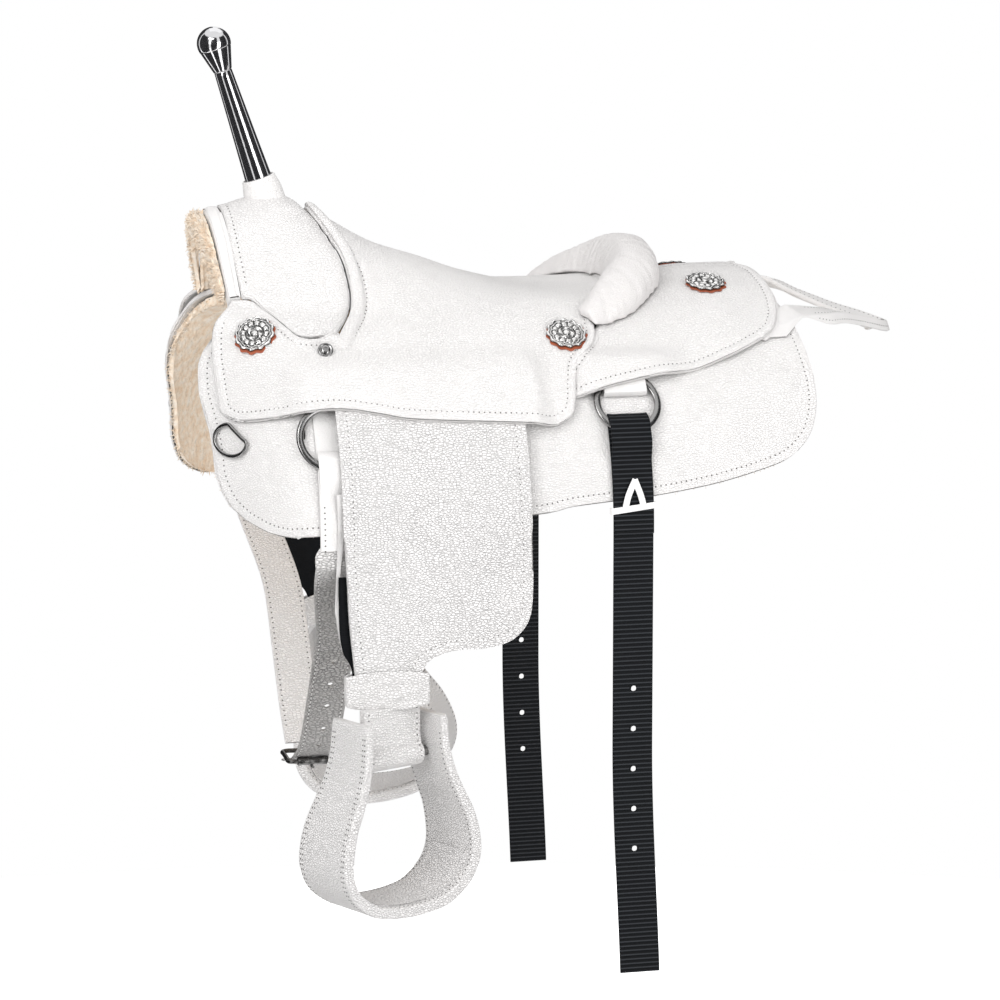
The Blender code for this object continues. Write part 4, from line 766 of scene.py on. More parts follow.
# %% Skirts
SKIRT_TOP_EDGE = ((-0.262, 0.050), (-0.150, 0.056), (0.100, 0.056), (0.220, 0.035), (0.308, 0.030))
SKIRT_FRONT = (
    (-0.262, 0.050), (-0.277, 0.085), (-0.2918, 0.1282), (-0.3042, 0.1605), (-0.3069, 0.1938),
    (-0.3056, 0.2083), (-0.3002, 0.2385), (-0.2977, 0.2613), (-0.2960, 0.2844), (-0.2868, 0.3081),
    (-0.2714, 0.3232),
)
SKIRT_BOTTOM = (
    (-0.2714, 0.3232), (-0.2510, 0.3323), (-0.2288, 0.3344), (-0.2059, 0.3322), (0.013, 0.321),
    (0.060, 0.3145), (0.101, 0.311), (0.150, 0.307), (0.220, 0.297), (0.285, 0.281), (0.3075, 0.2695),
)
SKIRT_REAR = (
    (0.308, 0.030), (0.322, 0.085), (0.331, 0.130), (0.3355, 0.169), (0.337, 0.199), (0.3355, 0.2195),
    (0.330, 0.240), (0.321, 0.2565), (0.3075, 0.2695),
)


def waves(x, s, size, seed, wide=0.045):
    """The slow unevenness of hand-fitted leather."""
    return size * noise.noise(Vector((x / wide + seed, s / wide, seed * 3.1)))


def bead(gap, high, line=STITCH_INSET, groove=0.0003):
    """Leather swells between a stitch line and its rim, and sinks where the thread pulls it in."""
    swell = math.sin(math.pi * min(1.0, gap / line)) * high if gap < line else 0.0
    return swell - groove * math.exp(-(((gap - line) / 0.0018) ** 2))


def skirt_lift(x, s, gap):
    return bead(gap, 0.0003, groove=0.0002) + waves(x, s, 0.0007, 1.7) * rise(gap, 0.0, 0.03)


for word, side in SIDES:
    grid = on_side(patch(SKIRT_TOP_EDGE, SKIRT_BOTTOM, SKIRT_FRONT, SKIRT_REAR, crowded(128), crowded(64)), side)
    under = lambda x, s: rock(x, s) + SKIRT_UNDER
    bm, loops = sheet_on_barrel([grid], under, skirt_top, lift=skirt_lift)
    dress(word + "_skirt_leather", bm, white_leather, "saddle", [word + "_skirt"])
    runs = inner_run(loops[0], STITCH_INSET, skirt_top, lambda x, s: abs(s) > 0.120, skirt_lift)
    sew(word + "_skirt_stitching", runs, "saddle", word + "_skirt_leather")

# %% Fleece under the skirts
LOCK_LENGTH = 0.0052


def drawn_in(edge, inset):
    middle = Vector((0.0, 0.180))
    return [middle + (Vector(p) - middle) * (1 - inset / (Vector(p) - middle).length) for p in edge]


def woolly(x, s, size, seed):
    coarse = noise.noise(Vector((x * 95 + seed, s * 95, seed)))
    return size * (0.6 * coarse + 0.4 * noise.noise(Vector((x * 260, s * 260 + seed, seed))))


def locks(name, roots, body, seed, length=LOCK_LENGTH, replaced=()):
    """Curled locks of wool, each a thin horn bent to one side, from roots: pairs of a point and a way out."""
    draw = np.random.default_rng(seed)
    points, faces = [], []
    for root, out in roots:
        out = Vector(out).normalized()
        side = out.orthogonal().normalized()
        side.rotate(Matrix.Rotation(draw.uniform(0, 6.28), 3, out))
        bend, reach = draw.uniform(0.3, 1.0), length * draw.uniform(0.6, 1.15)
        start, rings = len(points), 5
        for r in range(rings):
            t = r / (rings - 1)
            centre = Vector(root) + out * reach * (t - 0.18) + side * reach * bend * t * t
            width = reach * 0.21 * (1 - 0.72 * t)
            other = out.cross(side)
            for k in range(4):
                a = math.pi * k / 2 + t * 1.5
                points.append(centre + (side * math.cos(a) + other * math.sin(a)) * width)
        for r in range(rings - 1):
            for k in range(4):
                j = (k + 1) % 4
                faces.append((start + 4 * r + k, start + 4 * r + j, start + 4 * r + 4 + j, start + 4 * r + 4 + k))
        faces.append(tuple(start + 4 * rings - 4 + k for k in range(4)))
    mesh = bpy.data.meshes.new(name)
    mesh.from_pydata([tuple(p) for p in points], [], faces)
    return dress(name, mesh, fleece_look, body, replaced, smooth=0)


fleece_rng = np.random.default_rng(12)
for index, (word, side) in enumerate(SIDES):
    edges = [drawn_in(edge, 0.004) for edge in (SKIRT_TOP_EDGE, SKIRT_BOTTOM, SKIRT_FRONT, SKIRT_REAR)]
    grid = on_side(patch(*edges, crowded(110), crowded(54)), side)
    top = lambda x, s: rock(x, s) + FLEECE_TOP - 0.0016 * rise(-x, 0.165, 0.200)
    under = lambda x, s, seed=index + 1: rock(x, s) + 0.0018 + woolly(x, s, 0.0017, seed)
    bm, loops = sheet_on_barrel([grid], under, top, rim=0.0042, steps=4)
    dress(word + "_fleece_lining", bm, fleece_look, "saddle", [word + "_fleece"])
    roots = []
    for x, s in resample([(p.x, p.y) for p in loops[0]], 0.0028, True)[:-1]:
        if abs(s) < 0.062:
            continue
        middle = Vector((0.0, side * 0.180))
        outward = (Vector((x, s)) - middle).normalized()
        for height in (0.003, 0.0065, 0.010):
            jog = fleece_rng.uniform(-0.001, 0.001)
            here = place(x + jog, s, rock(x, s) + height)
            way = place(x + outward.x * 0.002, s + outward.y * 0.002, rock(x, s) + height) - place(x, s, rock(x, s) + height)
            roots.append((here - way.normalized() * 0.0015, way))
    locks(word + "_fleece_edge_locks", roots, "saddle", 40 + index, 0.0052)
print("fleece linings and their locks")

# %% [markdown]
# ## Seat, jockeys and swell
# One hide covers the seat and comes down each side as a jockey, the flap over the fender. At the front
# it ends in a padded roll that stops the rider sliding into the swell. The roll could be a tube laid on
# top, but it is sewn in the same hide, so here it is a swelling of the sheet behind its front edge, with
# a sunk seam behind it.

# %% The edges of the seat and of the swell
NOTCH, JOCKEY_SPLIT = (-0.166, 0.134), (-0.166, 0.2205)
ROLL_LINE = (
    (-0.172, 0.0), (-0.1690, 0.0144), (-0.159, 0.031), (-0.1475, 0.049), (-0.143, 0.067), (-0.143, 0.086),
    (-0.150, 0.106), NOTCH,
)
TAB_TOP = (
    (-0.2679, 0.0770), (-0.2556, 0.0784), (-0.2419, 0.0839), (-0.2177, 0.1211), (-0.2028, 0.1352), NOTCH,
)
JOCKEY_FRONT = (
    (-0.2679, 0.0770), (-0.2879, 0.1129), (-0.2921, 0.1487), (-0.2925, 0.1810), (-0.2908, 0.2183),
    (-0.2870, 0.2255),
)
TAB_BOTTOM = (
    (-0.2870, 0.2255), (-0.2794, 0.2299), (-0.2684, 0.2304), (-0.2265, 0.2212), (-0.1893, 0.2191),
    JOCKEY_SPLIT,
)
JOCKEY_BOTTOM = (
    JOCKEY_SPLIT, (-0.138, 0.2255), (-0.101, 0.2315), (0.004, 0.2375), (0.034, 0.2390), (0.049, 0.2375),
)
SEAT_REAR = ((0.160, 0.0), (0.155, 0.040), (0.135, 0.085), (0.108, 0.125))
JOCKEY_REAR = (
    (0.108, 0.125), (0.1075, 0.1385), (0.1010, 0.1530), (0.0890, 0.1655), (0.0800, 0.1765), (0.0755, 0.1910),
    (0.0715, 0.2120), (0.0655, 0.2280), (0.0490, 0.2375),
)
MIDDLE_LINE = (NOTCH, (-0.100, 0.128), (0.0, 0.124), (0.108, 0.125))
SWELL_FRONT = ((-0.2655, 0.0), (-0.2625, 0.040), (-0.2565, 0.0750))
SWELL_BOTTOM = (
    (-0.2565, 0.0750), (-0.2430, 0.0808), (-0.2190, 0.1170), (-0.2045, 0.1315), (-0.1685, 0.1322),
)
ROLL_WIDE, ROLL_HIGH = 0.0150, 0.0078
half_roll = along_curve(ROLL_LINE, even(40))
roll_line = [Vector((p.x, -p.y, 0.0)) for p in reversed(half_roll)] + half_roll[1:]
print("seat roll", round(sum((b - a).length for a, b in zip(roll_line, roll_line[1:])), 3), "m long")


# %% Seat cover with its front roll and jockeys
def seat_under(x, s):
    return seat_top(x, s) - COVER_THICK


def seat_lift(x, s, gap):
    from_roll = 1.0
    if x < -0.10 and abs(s) < 0.15:
        from_roll = float(distance_to([(x, s, 0.0)], roll_line)[0])
    if from_roll < gap + 0.0012 or from_roll < ROLL_WIDE:
        high = ROLL_HIGH * (1 - 0.52 * rise(abs(s), 0.035, 0.130))
        across = min(1.0, from_roll / ROLL_WIDE)
        seam = 0.0016 * math.exp(-(((from_roll - ROLL_WIDE) / 0.0030) ** 2))
        return high * math.sqrt(max(0.0, 1 - (2 * across - 1) ** 2)) - seam
    seam = 0.0016 * math.exp(-(((from_roll - ROLL_WIDE) / 0.0030) ** 2))
    return bead(gap, 0.0015, groove=0.0006) - seam + waves(x, s, 0.0010, 4.2) * rise(gap, 0.0, 0.03)


cover = []
for _, side in SIDES:
    for edges, across, down in (
        ((((-0.172, 0.0), (0.160, 0.0)), MIDDLE_LINE, ROLL_LINE, SEAT_REAR), crowded(84, 0.72, 0.72), even(40)),
        ((MIDDLE_LINE, JOCKEY_BOTTOM, (NOTCH, JOCKEY_SPLIT), JOCKEY_REAR), crowded(84, 0.72, 0.72), crowded(36)),
        ((TAB_TOP, TAB_BOTTOM, JOCKEY_FRONT, (NOTCH, JOCKEY_SPLIT)), crowded(36), crowded(36)),
    ):
        cover.append(on_side(patch(*edges, across, down), side))
bm, seat_loops = sheet_on_barrel(cover, seat_under, seat_top, rim=0.0019, lift=seat_lift)
dress("seat_leather", bm, white_leather, "saddle", ["seat_cover"])


def sewn_seat(x, s):
    away = float(distance_to([(x, s, 0.0)], roll_line)[0])
    return away > 0.022 and abs(s) > 0.105


runs = inner_run(seat_loops[0], STITCH_INSET, seat_top, sewn_seat, seat_lift)
seam = [p + Vector((ROLL_WIDE + 0.0022, 0.0, 0.0)) for p in roll_line]
frames = [surface_frame(p.x, p.y, seat_top) for p in seam]
runs.append(([here - out * 0.0006 for here, _, _, out in frames], [out for _, _, _, out in frames]))
sew("seat_stitching", runs, "saddle", "seat_leather")

# %% Swell cover
def swell_lift(x, s, gap):
    behind = float(distance_to([(x, s, 0.0)], roll_line)[0]) if x > -0.215 else 1.0
    sunk = 0.0042 * math.exp(-((behind / 0.0075) ** 2))
    return bead(gap, 0.0006, 0.0070, 0.0004) * rise(behind, 0.010, 0.020) - sunk + waves(x, s, 0.0008, 8.8)


swell_rear = [(x - 0.0015, s * 0.99) for x, s in ROLL_LINE[:-1]] + [(-0.1685, 0.1322)]
cover = []
for _, side in SIDES:
    edges = (((-0.2655, 0.0), (-0.1735, 0.0)), SWELL_BOTTOM, SWELL_FRONT, swell_rear)
    cover.append(on_side(patch(*edges, crowded(34), crowded(40, 0.0, 0.0)), side))
bm, swell_loops = sheet_on_barrel(cover, seat_under, seat_top, rim=0.0014, lift=swell_lift)
dress("swell_leather", bm, white_leather, "saddle", ["swell_cover"])
runs = inner_run(swell_loops[0], 0.0070, seat_top, lambda x, s: x < -0.2450 and abs(s) < 0.068, swell_lift)
sew("swell_stitching", runs, "saddle", "swell_leather")

# %% [markdown]
# ### Gullet edge
# The front of the swell is finished with a rolled binding, and the arch inside it is lined with fleece
# so that it can't rub the withers. The binding is a narrow sheet with a very round rim.

# %% Gullet binding and its fleece
BINDING_LOW, LINING_LOW = 0.0755, 0.066
BINDING_FRONT, BINDING_REAR = (-0.2700, -0.2775, -0.2815), (-0.2575, -0.2632, -0.2662)
LINING_FRONT, LINING_REAR = (-0.2757, -0.2882, -0.2945), (-0.2728, -0.2797, -0.2822)


def arch_band(low, front, rear, across, around):
    fronts, rears = [], []
    for share, which in ((-1, 0), (-0.46, 1), (0, 2), (0.46, 1), (1, 0)):
        fronts.append((front[which], share * low))
        rears.append((rear[which], share * low))
    return patch((fronts[0], rears[0]), (fronts[-1], rears[-1]), fronts, rears, across, around)


band = arch_band(BINDING_LOW, BINDING_FRONT, BINDING_REAR, even(10), even(120))
under = lambda x, s: seat_top(x, s) - 0.012
bm, _ = sheet_on_barrel([band], under, seat_top, rim=0.0042, steps=5, lift=lambda x, s, gap: 0.0012 * rise(gap, 0.0, 0.006))
dress("gullet_binding_leather", bm, smooth_leather, "saddle", ["gullet_binding"])

band = arch_band(LINING_LOW, LINING_FRONT, LINING_REAR, even(16), even(150))
under = lambda x, s: max(seat_top(x, s) - 0.026, SKIRT_TOP + 0.001) + woolly(x, s, 0.0016, 3.0)
top = lambda x, s: seat_top(x, s) - 0.004
bm, _ = sheet_on_barrel([band], under, top, rim=0.0045, steps=4, lift=lambda x, s, gap: woolly(x, s, 0.0020, 6.0))
dress("gullet_fleece_lining", bm, fleece_look, "saddle", ["gullet_fleece"])
inner = (LINING_REAR[0] + 0.0006, LINING_REAR[1] + 0.0010, LINING_REAR[2] + 0.0010)
band = arch_band(LINING_LOW, inner, (-0.2560, -0.2620, -0.2665), even(10), even(120))
deep = lambda x, s: max(seat_top(x, s) - 0.032, SKIRT_TOP + 0.001) + woolly(x, s, 0.0016, 5.0)
bm, _ = sheet_on_barrel([band], deep, lambda x, s: seat_top(x, s) - 0.0125, rim=0.0035, steps=3)
dress("gullet_inner_fleece", bm, fleece_look, "saddle")
roots = []
for row in arch_band(LINING_LOW, LINING_FRONT, LINING_REAR, even(6), even(150)):
    for p in row[:5]:
        depth = fleece_rng.uniform(0.0, 1.0)
        high = top(p.x, p.y) * (1 - depth) + under(p.x, p.y) * depth if p is row[0] else top(p.x, p.y)
        way = Vector((-1.0, 0.0, 0.0)) if p is row[0] else normal_at(p.y) * 0.8 - Vector((0.6, 0.0, 0.0))
        roots.append((place(p.x, p.y, high), way))
for p in arch_band(LINING_LOW, LINING_FRONT, LINING_REAR, even(2), even(150)):
    for depth in (0.15, 0.32, 0.5, 0.68, 0.85):
        high = top(p[0].x, p[0].y) * (1 - depth) + under(p[0].x, p[0].y) * depth
        jog = fleece_rng.uniform(-0.0015, 0.0015)
        roots.append((place(p[0].x + 0.001, p[0].y + jog, high), Vector((-1.0, 0.0, 0.1))))
locks("gullet_fleece_locks", roots, "saddle", 7, 0.0062)

# %% [markdown]
# ### Rear jockeys
# Two flaps meet behind the cantle and cover the back of the tree. A second layer shows under the rear
# edge. They are sheets with the same stitched border as the seat.

# %% Rear jockeys
REAR_JOCKEY_TOP_EDGE = ((0.196, 0.0012), (0.250, 0.0012), (0.305, 0.0012))
REAR_JOCKEY_BOTTOM = (
    (0.052, 0.2125), (0.087, 0.2087), (0.115, 0.2024), (0.168, 0.1924), (0.208, 0.1839), (0.251, 0.1693),
    (0.290, 0.150),
)
REAR_JOCKEY_FRONT = (
    (0.196, 0.0012), (0.189, 0.050), (0.172, 0.080), (0.150, 0.100), (0.124, 0.113), (0.095, 0.150),
    (0.060, 0.190), (0.052, 0.2125),
)
REAR_JOCKEY_REAR = (
    (0.305, 0.0012), (0.315, 0.030), (0.318, 0.084), (0.3144, 0.114), (0.3045, 0.137), (0.290, 0.150),
)


def rear_jockey_lift(x, s, gap):
    return bead(gap, 0.0010, groove=0.0005) * rise(abs(s), 0.008, 0.016) + waves(x, s, 0.0008, 12.1) * rise(gap, 0.0, 0.02)


for word, side in SIDES:
    edges = (REAR_JOCKEY_TOP_EDGE, REAR_JOCKEY_BOTTOM, REAR_JOCKEY_FRONT, REAR_JOCKEY_REAR)
    grid = on_side(patch(*edges, crowded(70), crowded(60)), side)
    under = lambda x, s: rear_jockey_top(x, s) - COVER_THICK
    bm, loops = sheet_on_barrel([grid], under, rear_jockey_top, rim=0.0019, lift=rear_jockey_lift)
    dress(word + "_rear_jockey_leather", bm, white_leather, "saddle", [word + "_rear_jockey"])
    keep = lambda x, s: abs(s) > 0.012 and (x > 0.235 or abs(s) > 0.150)
    runs = inner_run(loops[0], STITCH_INSET, rear_jockey_top, keep, rear_jockey_lift)
    sew(word + "_rear_jockey_stitching", runs, "saddle", word + "_rear_jockey_leather")
    layer_edge = [(p[0] + 0.0035, p[1] + 0.001) for p in REAR_JOCKEY_REAR[1:]]
    inner = [(p[0] - 0.012, p[1] - 0.006) for p in REAR_JOCKEY_REAR[1:]]
    strip = on_side(patch((inner[0], layer_edge[0]), (inner[-1], layer_edge[-1]), inner, layer_edge, even(8), even(40)), side)
    lower = lambda x, s: rear_jockey_top(x, s) - COVER_THICK - 0.0022
    higher = lambda x, s: rear_jockey_top(x, s) - COVER_THICK - 0.0002
    bm, _ = sheet_on_barrel([strip], lower, higher, rim=0.0008)
    dress(word + "_rear_jockey_second_layer", bm, smooth_leather, "saddle")

# %% [markdown]
# ## Cantle roll
# The cantle is a stuffed crescent of soft leather behind the rider. Stuffing pushes the leather out
# until it is tight, which is what Blender's cloth does under pressure, so the crescent starts a little
# slim, swells for a few frames and is held to a few millimetres. Fine stretch wrinkles run across it,
# because the leather is pulled over the edge of the tree.

# %% Cantle crescent
ROLL_SEAT_SIDE = ((0.149, 0.0), (0.143, 0.040), (0.128, 0.066), (0.111, 0.091), (0.093, 0.115))
ROLL_REAR_SIDE = (
    (0.213, 0.0), (0.203, 0.055), (0.187, 0.083), (0.166, 0.106), (0.142, 0.122), (0.108, 0.134),
)
SEAT_EDGE = ((0.0, 0.160), (0.040, 0.155), (0.085, 0.135), (0.125, 0.110))
ROLL_CROWN, ROLL_TIP_CROWN = 0.0365, 0.008
CANTLE_PIECES, SWELL_CAP = 72, 0.0055
seat_side = along_curve(ROLL_SEAT_SIDE, even(CANTLE_PIECES // 2))
rear_side = along_curve(ROLL_REAR_SIDE, even(CANTLE_PIECES // 2))


def cantle_floor(x, s):
    share = rise(x - stations(SEAT_EDGE, abs(s)), 0.0, 0.008)
    return seat_top(x, s) * (1 - share) + rear_jockey_top(x, s) * share + GAP * 2


def cantle_section(at, slim):
    """One section of the crescent: over its crown from the seat side, then back underneath."""
    side, t = (-1 if at < 0 else 1), abs(at) / (CANTLE_PIECES // 2)
    inner, outer = seat_side[abs(at)], rear_side[abs(at)]
    inner, outer = Vector((inner.x, side * inner.y)), Vector((outer.x, side * outer.y))
    crown = (ROLL_TIP_CROWN + (ROLL_CROWN - ROLL_TIP_CROWN) * (1 - t**2.2)) * slim
    over, under = [], []
    for i in range(19):
        u = 0.5 - 0.5 * math.cos(math.pi * i / 18)
        p = inner.lerp(outer, u)
        bulge = math.sqrt(max(0.0, 1 - abs(2 * u - 1) ** 2.2))
        floor_here = cantle_floor(p.x, p.y)
        over.append(place(p.x, p.y, floor_here + 0.003 + crown * bulge))
        under.append(place(p.x, p.y, floor_here + 0.0004))
    return over + under[::-1]


def skin(sections, closed_ends=True):
    bm = bmesh.new()
    rows = [[bm.verts.new(p) for p in section] for section in sections]
    for low, high in zip(rows, rows[1:]):
        for i in range(len(low)):
            j = (i + 1) % len(low)
            bm.faces.new((low[i], low[j], high[j], high[i]))
    if closed_ends:
        bm.faces.new(rows[0])
        bm.faces.new(rows[-1][::-1])
    bmesh.ops.recalc_face_normals(bm, faces=bm.faces)
    if bm.calc_volume(signed=True) < 0:
        bmesh.ops.reverse_faces(bm, faces=bm.faces)
    return bm


half = CANTLE_PIECES // 2
cantle = dress("cantle_roll_leather", skin([cantle_section(i, 0.90) for i in range(-half, half + 1)]), soft_leather, None)
print("cantle crescent:", len(cantle.data.vertices), "points")

# %% Stuff the crescent
def apply_all(obj):
    """Replaces an object's mesh by what its modifiers make of it."""
    graph = bpy.context.evaluated_depsgraph_get()
    made = bpy.data.meshes.new_from_object(obj.evaluated_get(graph))
    obj.modifiers.clear()
    obj.data = made


remesh = cantle.modifiers.new("even_skin", "REMESH")
remesh.mode, remesh.voxel_size = "VOXEL", 0.0042
apply_all(cantle)
slim_points = np.array([v.co for v in cantle.data.vertices])
cloth = cantle.modifiers.new("stuffing", "CLOTH")
cloth.settings.use_pressure = True
cloth.settings.uniform_pressure_force = 4.0
cloth.settings.effector_weights.gravity = 0.0
cloth.point_cache.frame_start, cloth.point_cache.frame_end = 1, 20
for number_ in range(1, 21):
    bpy.context.scene.frame_set(number_)
apply_all(cantle)
bpy.context.scene.frame_set(1)
stuffed = np.array([v.co for v in cantle.data.vertices])
moves = stuffed - slim_points
reach = np.linalg.norm(moves, axis=1, keepdims=True)
moves *= np.minimum(1.0, SWELL_CAP / np.maximum(reach, 1e-9))
print("stuffing moved the leather up to", round(float(np.linalg.norm(moves, axis=1).max()) * 1000, 1), "mm")

# %% Keep its foot down, wrinkle it and subdivide
def over_floor(p):
    s = BACK_RADIUS * math.atan2(p[1], p[2] + BACK_RADIUS)
    return math.hypot(p[1], p[2] + BACK_RADIUS) - BACK_RADIUS - cantle_floor(p[0], s)


for vert, start, move in zip(cantle.data.vertices, slim_points, moves):
    free = rise(over_floor(start), 0.0010, 0.0075)
    vert.co = Vector(start) + Vector(move) * free
bm = bmesh.new()
bm.from_mesh(cantle.data)
for _ in range(2):
    bmesh.ops.smooth_vert(bm, verts=bm.verts, factor=0.5, use_axis_x=True, use_axis_y=True, use_axis_z=True)
bm.to_mesh(cantle.data)
bm.free()
finer = cantle.modifiers.new("finer", "SUBSURF")
finer.levels = finer.render_levels = 1
apply_all(cantle)
CANTLE_HEART = Vector((0.075, 0.0))
for vert in cantle.data.vertices:
    around = math.atan2(vert.co.y, vert.co.x - CANTLE_HEART.x)
    out = Vector((vert.co.x, vert.co.y)) - CANTLE_HEART
    folds = noise.noise(Vector((around * 16.0, out.length * 11.0, 2.0))) + 0.5 * noise.noise(Vector((around * 38.0, out.length * 20.0, 9.0)))
    where_ = rise(over_floor(vert.co), 0.002, 0.012)
    vert.co += vert.normal * folds * 0.00085 * where_
cantle.data.shade_smooth()
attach(cantle, "saddle")
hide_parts("cantle_roll")
print("cantle roll:", len(cantle.data.vertices), "points")

# %% [markdown]
# ## Horn
# The horn is one turned steel post with a ball on it, tall enough to hang from. A turned piece is a
# profile carried round an axis. The collar is leather, sewn round the foot where the post comes out.

# %% Turned pieces
HORN_FOOT = Vector((-0.2195, 0.0, 0.1290))
HORN_AXIS = Vector((-0.0380, 0.0, 0.1177)).normalized()
HORN_LENGTH, HORN_FOOT_RADIUS, HORN_NECK_RADIUS, BALL_RADIUS = 0.157, 0.0147, 0.0095, 0.0180
COLLAR_HEIGHT, COLLAR_WALL, BALL_CONE = 0.0085, 0.0045, 0.0300


def standing(origin, axis):
    return Matrix.Translation(origin) @ Vector(axis).to_track_quat("Z", "Y").to_matrix().to_4x4()


def turned(profile, at, steps=64, closed=False):
    """A profile of (radius, height) carried round an axis. A closed profile makes a ring."""
    bm = bmesh.new()
    rows = []
    for radius, height in profile:
        if radius < 1e-6:
            rows.append([bm.verts.new(at @ Vector((0.0, 0.0, height)))])
            continue
        row = []
        for i in range(steps):
            a = 2 * math.pi * i / steps
            row.append(bm.verts.new(at @ Vector((radius * math.cos(a), radius * math.sin(a), height))))
        rows.append(row)
    for low, high in zip(rows, rows[1:] + (rows[:1] if closed else [])):
        for i in range(steps):
            j = (i + 1) % steps
            corners = [low[i % len(low)], low[j % len(low)], high[j % len(high)], high[i % len(high)]]
            bm.faces.new(list(dict.fromkeys(corners)))
    bmesh.ops.recalc_face_normals(bm, faces=bm.faces)
    if bm.calc_volume(signed=True) < 0:
        bmesh.ops.reverse_faces(bm, faces=bm.faces)
    return bm


def arc(centre, radius, start, end, steps):
    points = []
    for i in range(steps + 1):
        a = math.radians(start + (end - start) * i / steps)
        points.append((centre[0] + radius * math.cos(a), centre[1] + radius * math.sin(a)))
    return points


# %% Post, ball and collar
horn = standing(HORN_FOOT, HORN_AXIS)
neck = HORN_LENGTH - BALL_CONE
profile = [(0.0, -0.006), (HORN_FOOT_RADIUS, -0.006)]
for i in range(25):
    share = i / 24
    profile.append((HORN_FOOT_RADIUS + (HORN_NECK_RADIUS - HORN_FOOT_RADIUS) * share**0.9, share * (neck - 0.0006)))
profile += [(HORN_NECK_RADIUS - 0.0005, neck), (0.0, neck)]
dress("horn_post_steel", turned(profile, horn), horn_steel, "saddle", ["horn_post"])
ball_profile = arc((0.0, HORN_LENGTH), BALL_RADIUS, -17, 89, 22)
cone_end = HORN_NECK_RADIUS + 0.0006
foot = [(0.0, neck + 0.0003), (cone_end - 0.0004, neck + 0.0003), (cone_end, neck + 0.0009)]
lip = [(ball_profile[0][0] - 0.0006, ball_profile[0][1] - 0.0010), (ball_profile[0][0] - 0.0005, ball_profile[0][1] - 0.0003)]
ball_profile = [*foot, *lip, *ball_profile, (0.0, HORN_LENGTH + BALL_RADIUS)]
dress("horn_ball_steel", turned(ball_profile, horn), horn_steel, "saddle", ["horn_ball"])
inside, outside = HORN_FOOT_RADIUS + 0.0003, HORN_FOOT_RADIUS + COLLAR_WALL
collar = [(inside, -0.022), (inside, COLLAR_HEIGHT - 0.001), (inside + 0.0008, COLLAR_HEIGHT)]
collar += arc((outside - 0.0027, COLLAR_HEIGHT - 0.0015), 0.0015, 90, 0, 4)
collar += [(outside - 0.0006, 0.0035), (outside + 0.0006, -0.001), (outside + 0.0016, -0.006), (outside + 0.0022, -0.022)]
dress("horn_collar_leather", turned(collar, horn, closed=True), smooth_leather, "saddle", ["horn_collar"])

# %% [markdown]
# Polished steel shows what stands round it. A photographer hangs dark curtains with open slits round the
# set, so that the post shows dark with bright lines. These hang two metres off and trail on the floor,
# and only shiny parts see them: the lens and the shadows don't.

# %% Curtains round the set
CURTAIN_RADIUS, CURTAIN_TOP, CURTAIN_TRAIL = 2.0, 2.20, 0.9
CURTAIN_FALL = ((CURTAIN_TRAIL, floor.location.z), (CURTAIN_RADIUS, floor.location.z), (CURTAIN_RADIUS, CURTAIN_TOP))
SLITS = ((-128.6, 6.3), (-67.3, 10.4), (3.5, 4.9), (76.0, 7.5), (143.7, 4.4))
bm = bmesh.new()
for (start, half_slit), (end, half_next) in zip(SLITS, SLITS[1:] + ((SLITS[0][0] + 360, SLITS[0][1]),)):
    start, end = start + half_slit, end - half_next
    columns = []
    for i in range(9):
        turn = math.radians(start + (end - start) * i / 8)
        columns.append([bm.verts.new((HORN_FOOT.x + out * math.cos(turn), out * math.sin(turn), z + 0.01))
                        for out, z in CURTAIN_FALL])
    for one, following in zip(columns, columns[1:]):
        for k in range(2):
            bm.faces.new((one[k], following[k], following[k + 1], one[k + 1]))
curtain_look, tree, shader = finish_tree("dark_curtain", 1.0)
colour_from(tree, shader, ramp(tree, cloud(tree, 8.0), (0.3, (0.020, 0.020, 0.022)), (0.7, (0.032, 0.032, 0.035))))
curtains = dress("studio_curtains", bm, curtain_look, None)
curtains.visible_camera = curtains.visible_diffuse = False
curtains.visible_shadow = curtains.visible_transmission = False

# %% [markdown]
# ## Hand hold
# Behind the seat a long loop of folded leather gives the rider something to hold in a drag or a spin.
# It is a section carried along a bent line: its top slopes, and its outer edge is turned down.

# %% Rear hand hold
HOLD_EDGE = (
    (0.342, -0.126, -0.0122, 24), (0.3817, -0.100, -0.0146, 18), (0.405, -0.078, -0.0164, 15),
    (0.436, -0.048, -0.0236, 10), (0.4697, -0.016, -0.0332, 4), (0.4840, 0.010, -0.0365, 0),
    (0.4640, 0.030, -0.0290, -4), (0.436, 0.052, -0.0205, -8), (0.405, 0.078, -0.0085, -11),
    (0.3817, 0.100, 0.0010, -12), (0.342, 0.126, -0.0030, 22),
)
HOLD_WIDTH, HOLD_TURN_DOWN, HOLD_THICK, HOLD_STATIONS = 0.0260, 0.0125, 0.0055, 110
HOLD_BASE = ((0.262, 0.100, 0.130, 0.148), (0.318, 0.105, 0.132, 0.146))
HOLD_BASE_UNDER, HOLD_BASE_TOP = 0.0210, 0.0233


def round_corners(corners, radius, steps=4):
    """A polygon's corners, each turned into a small curve."""
    points = []
    for i, corner in enumerate(corners):
        before, after = corners[i - 1] - corner, corners[(i + 1) % len(corners)] - corner
        start = corner + before.normalized() * min(radius, before.length * 0.42)
        end = corner + after.normalized() * min(radius, after.length * 0.42)
        for k in range(steps + 1):
            t = k / steps
            points.append(start * (1 - t) ** 2 + corner * 2 * t * (1 - t) + end * t**2)
    return points


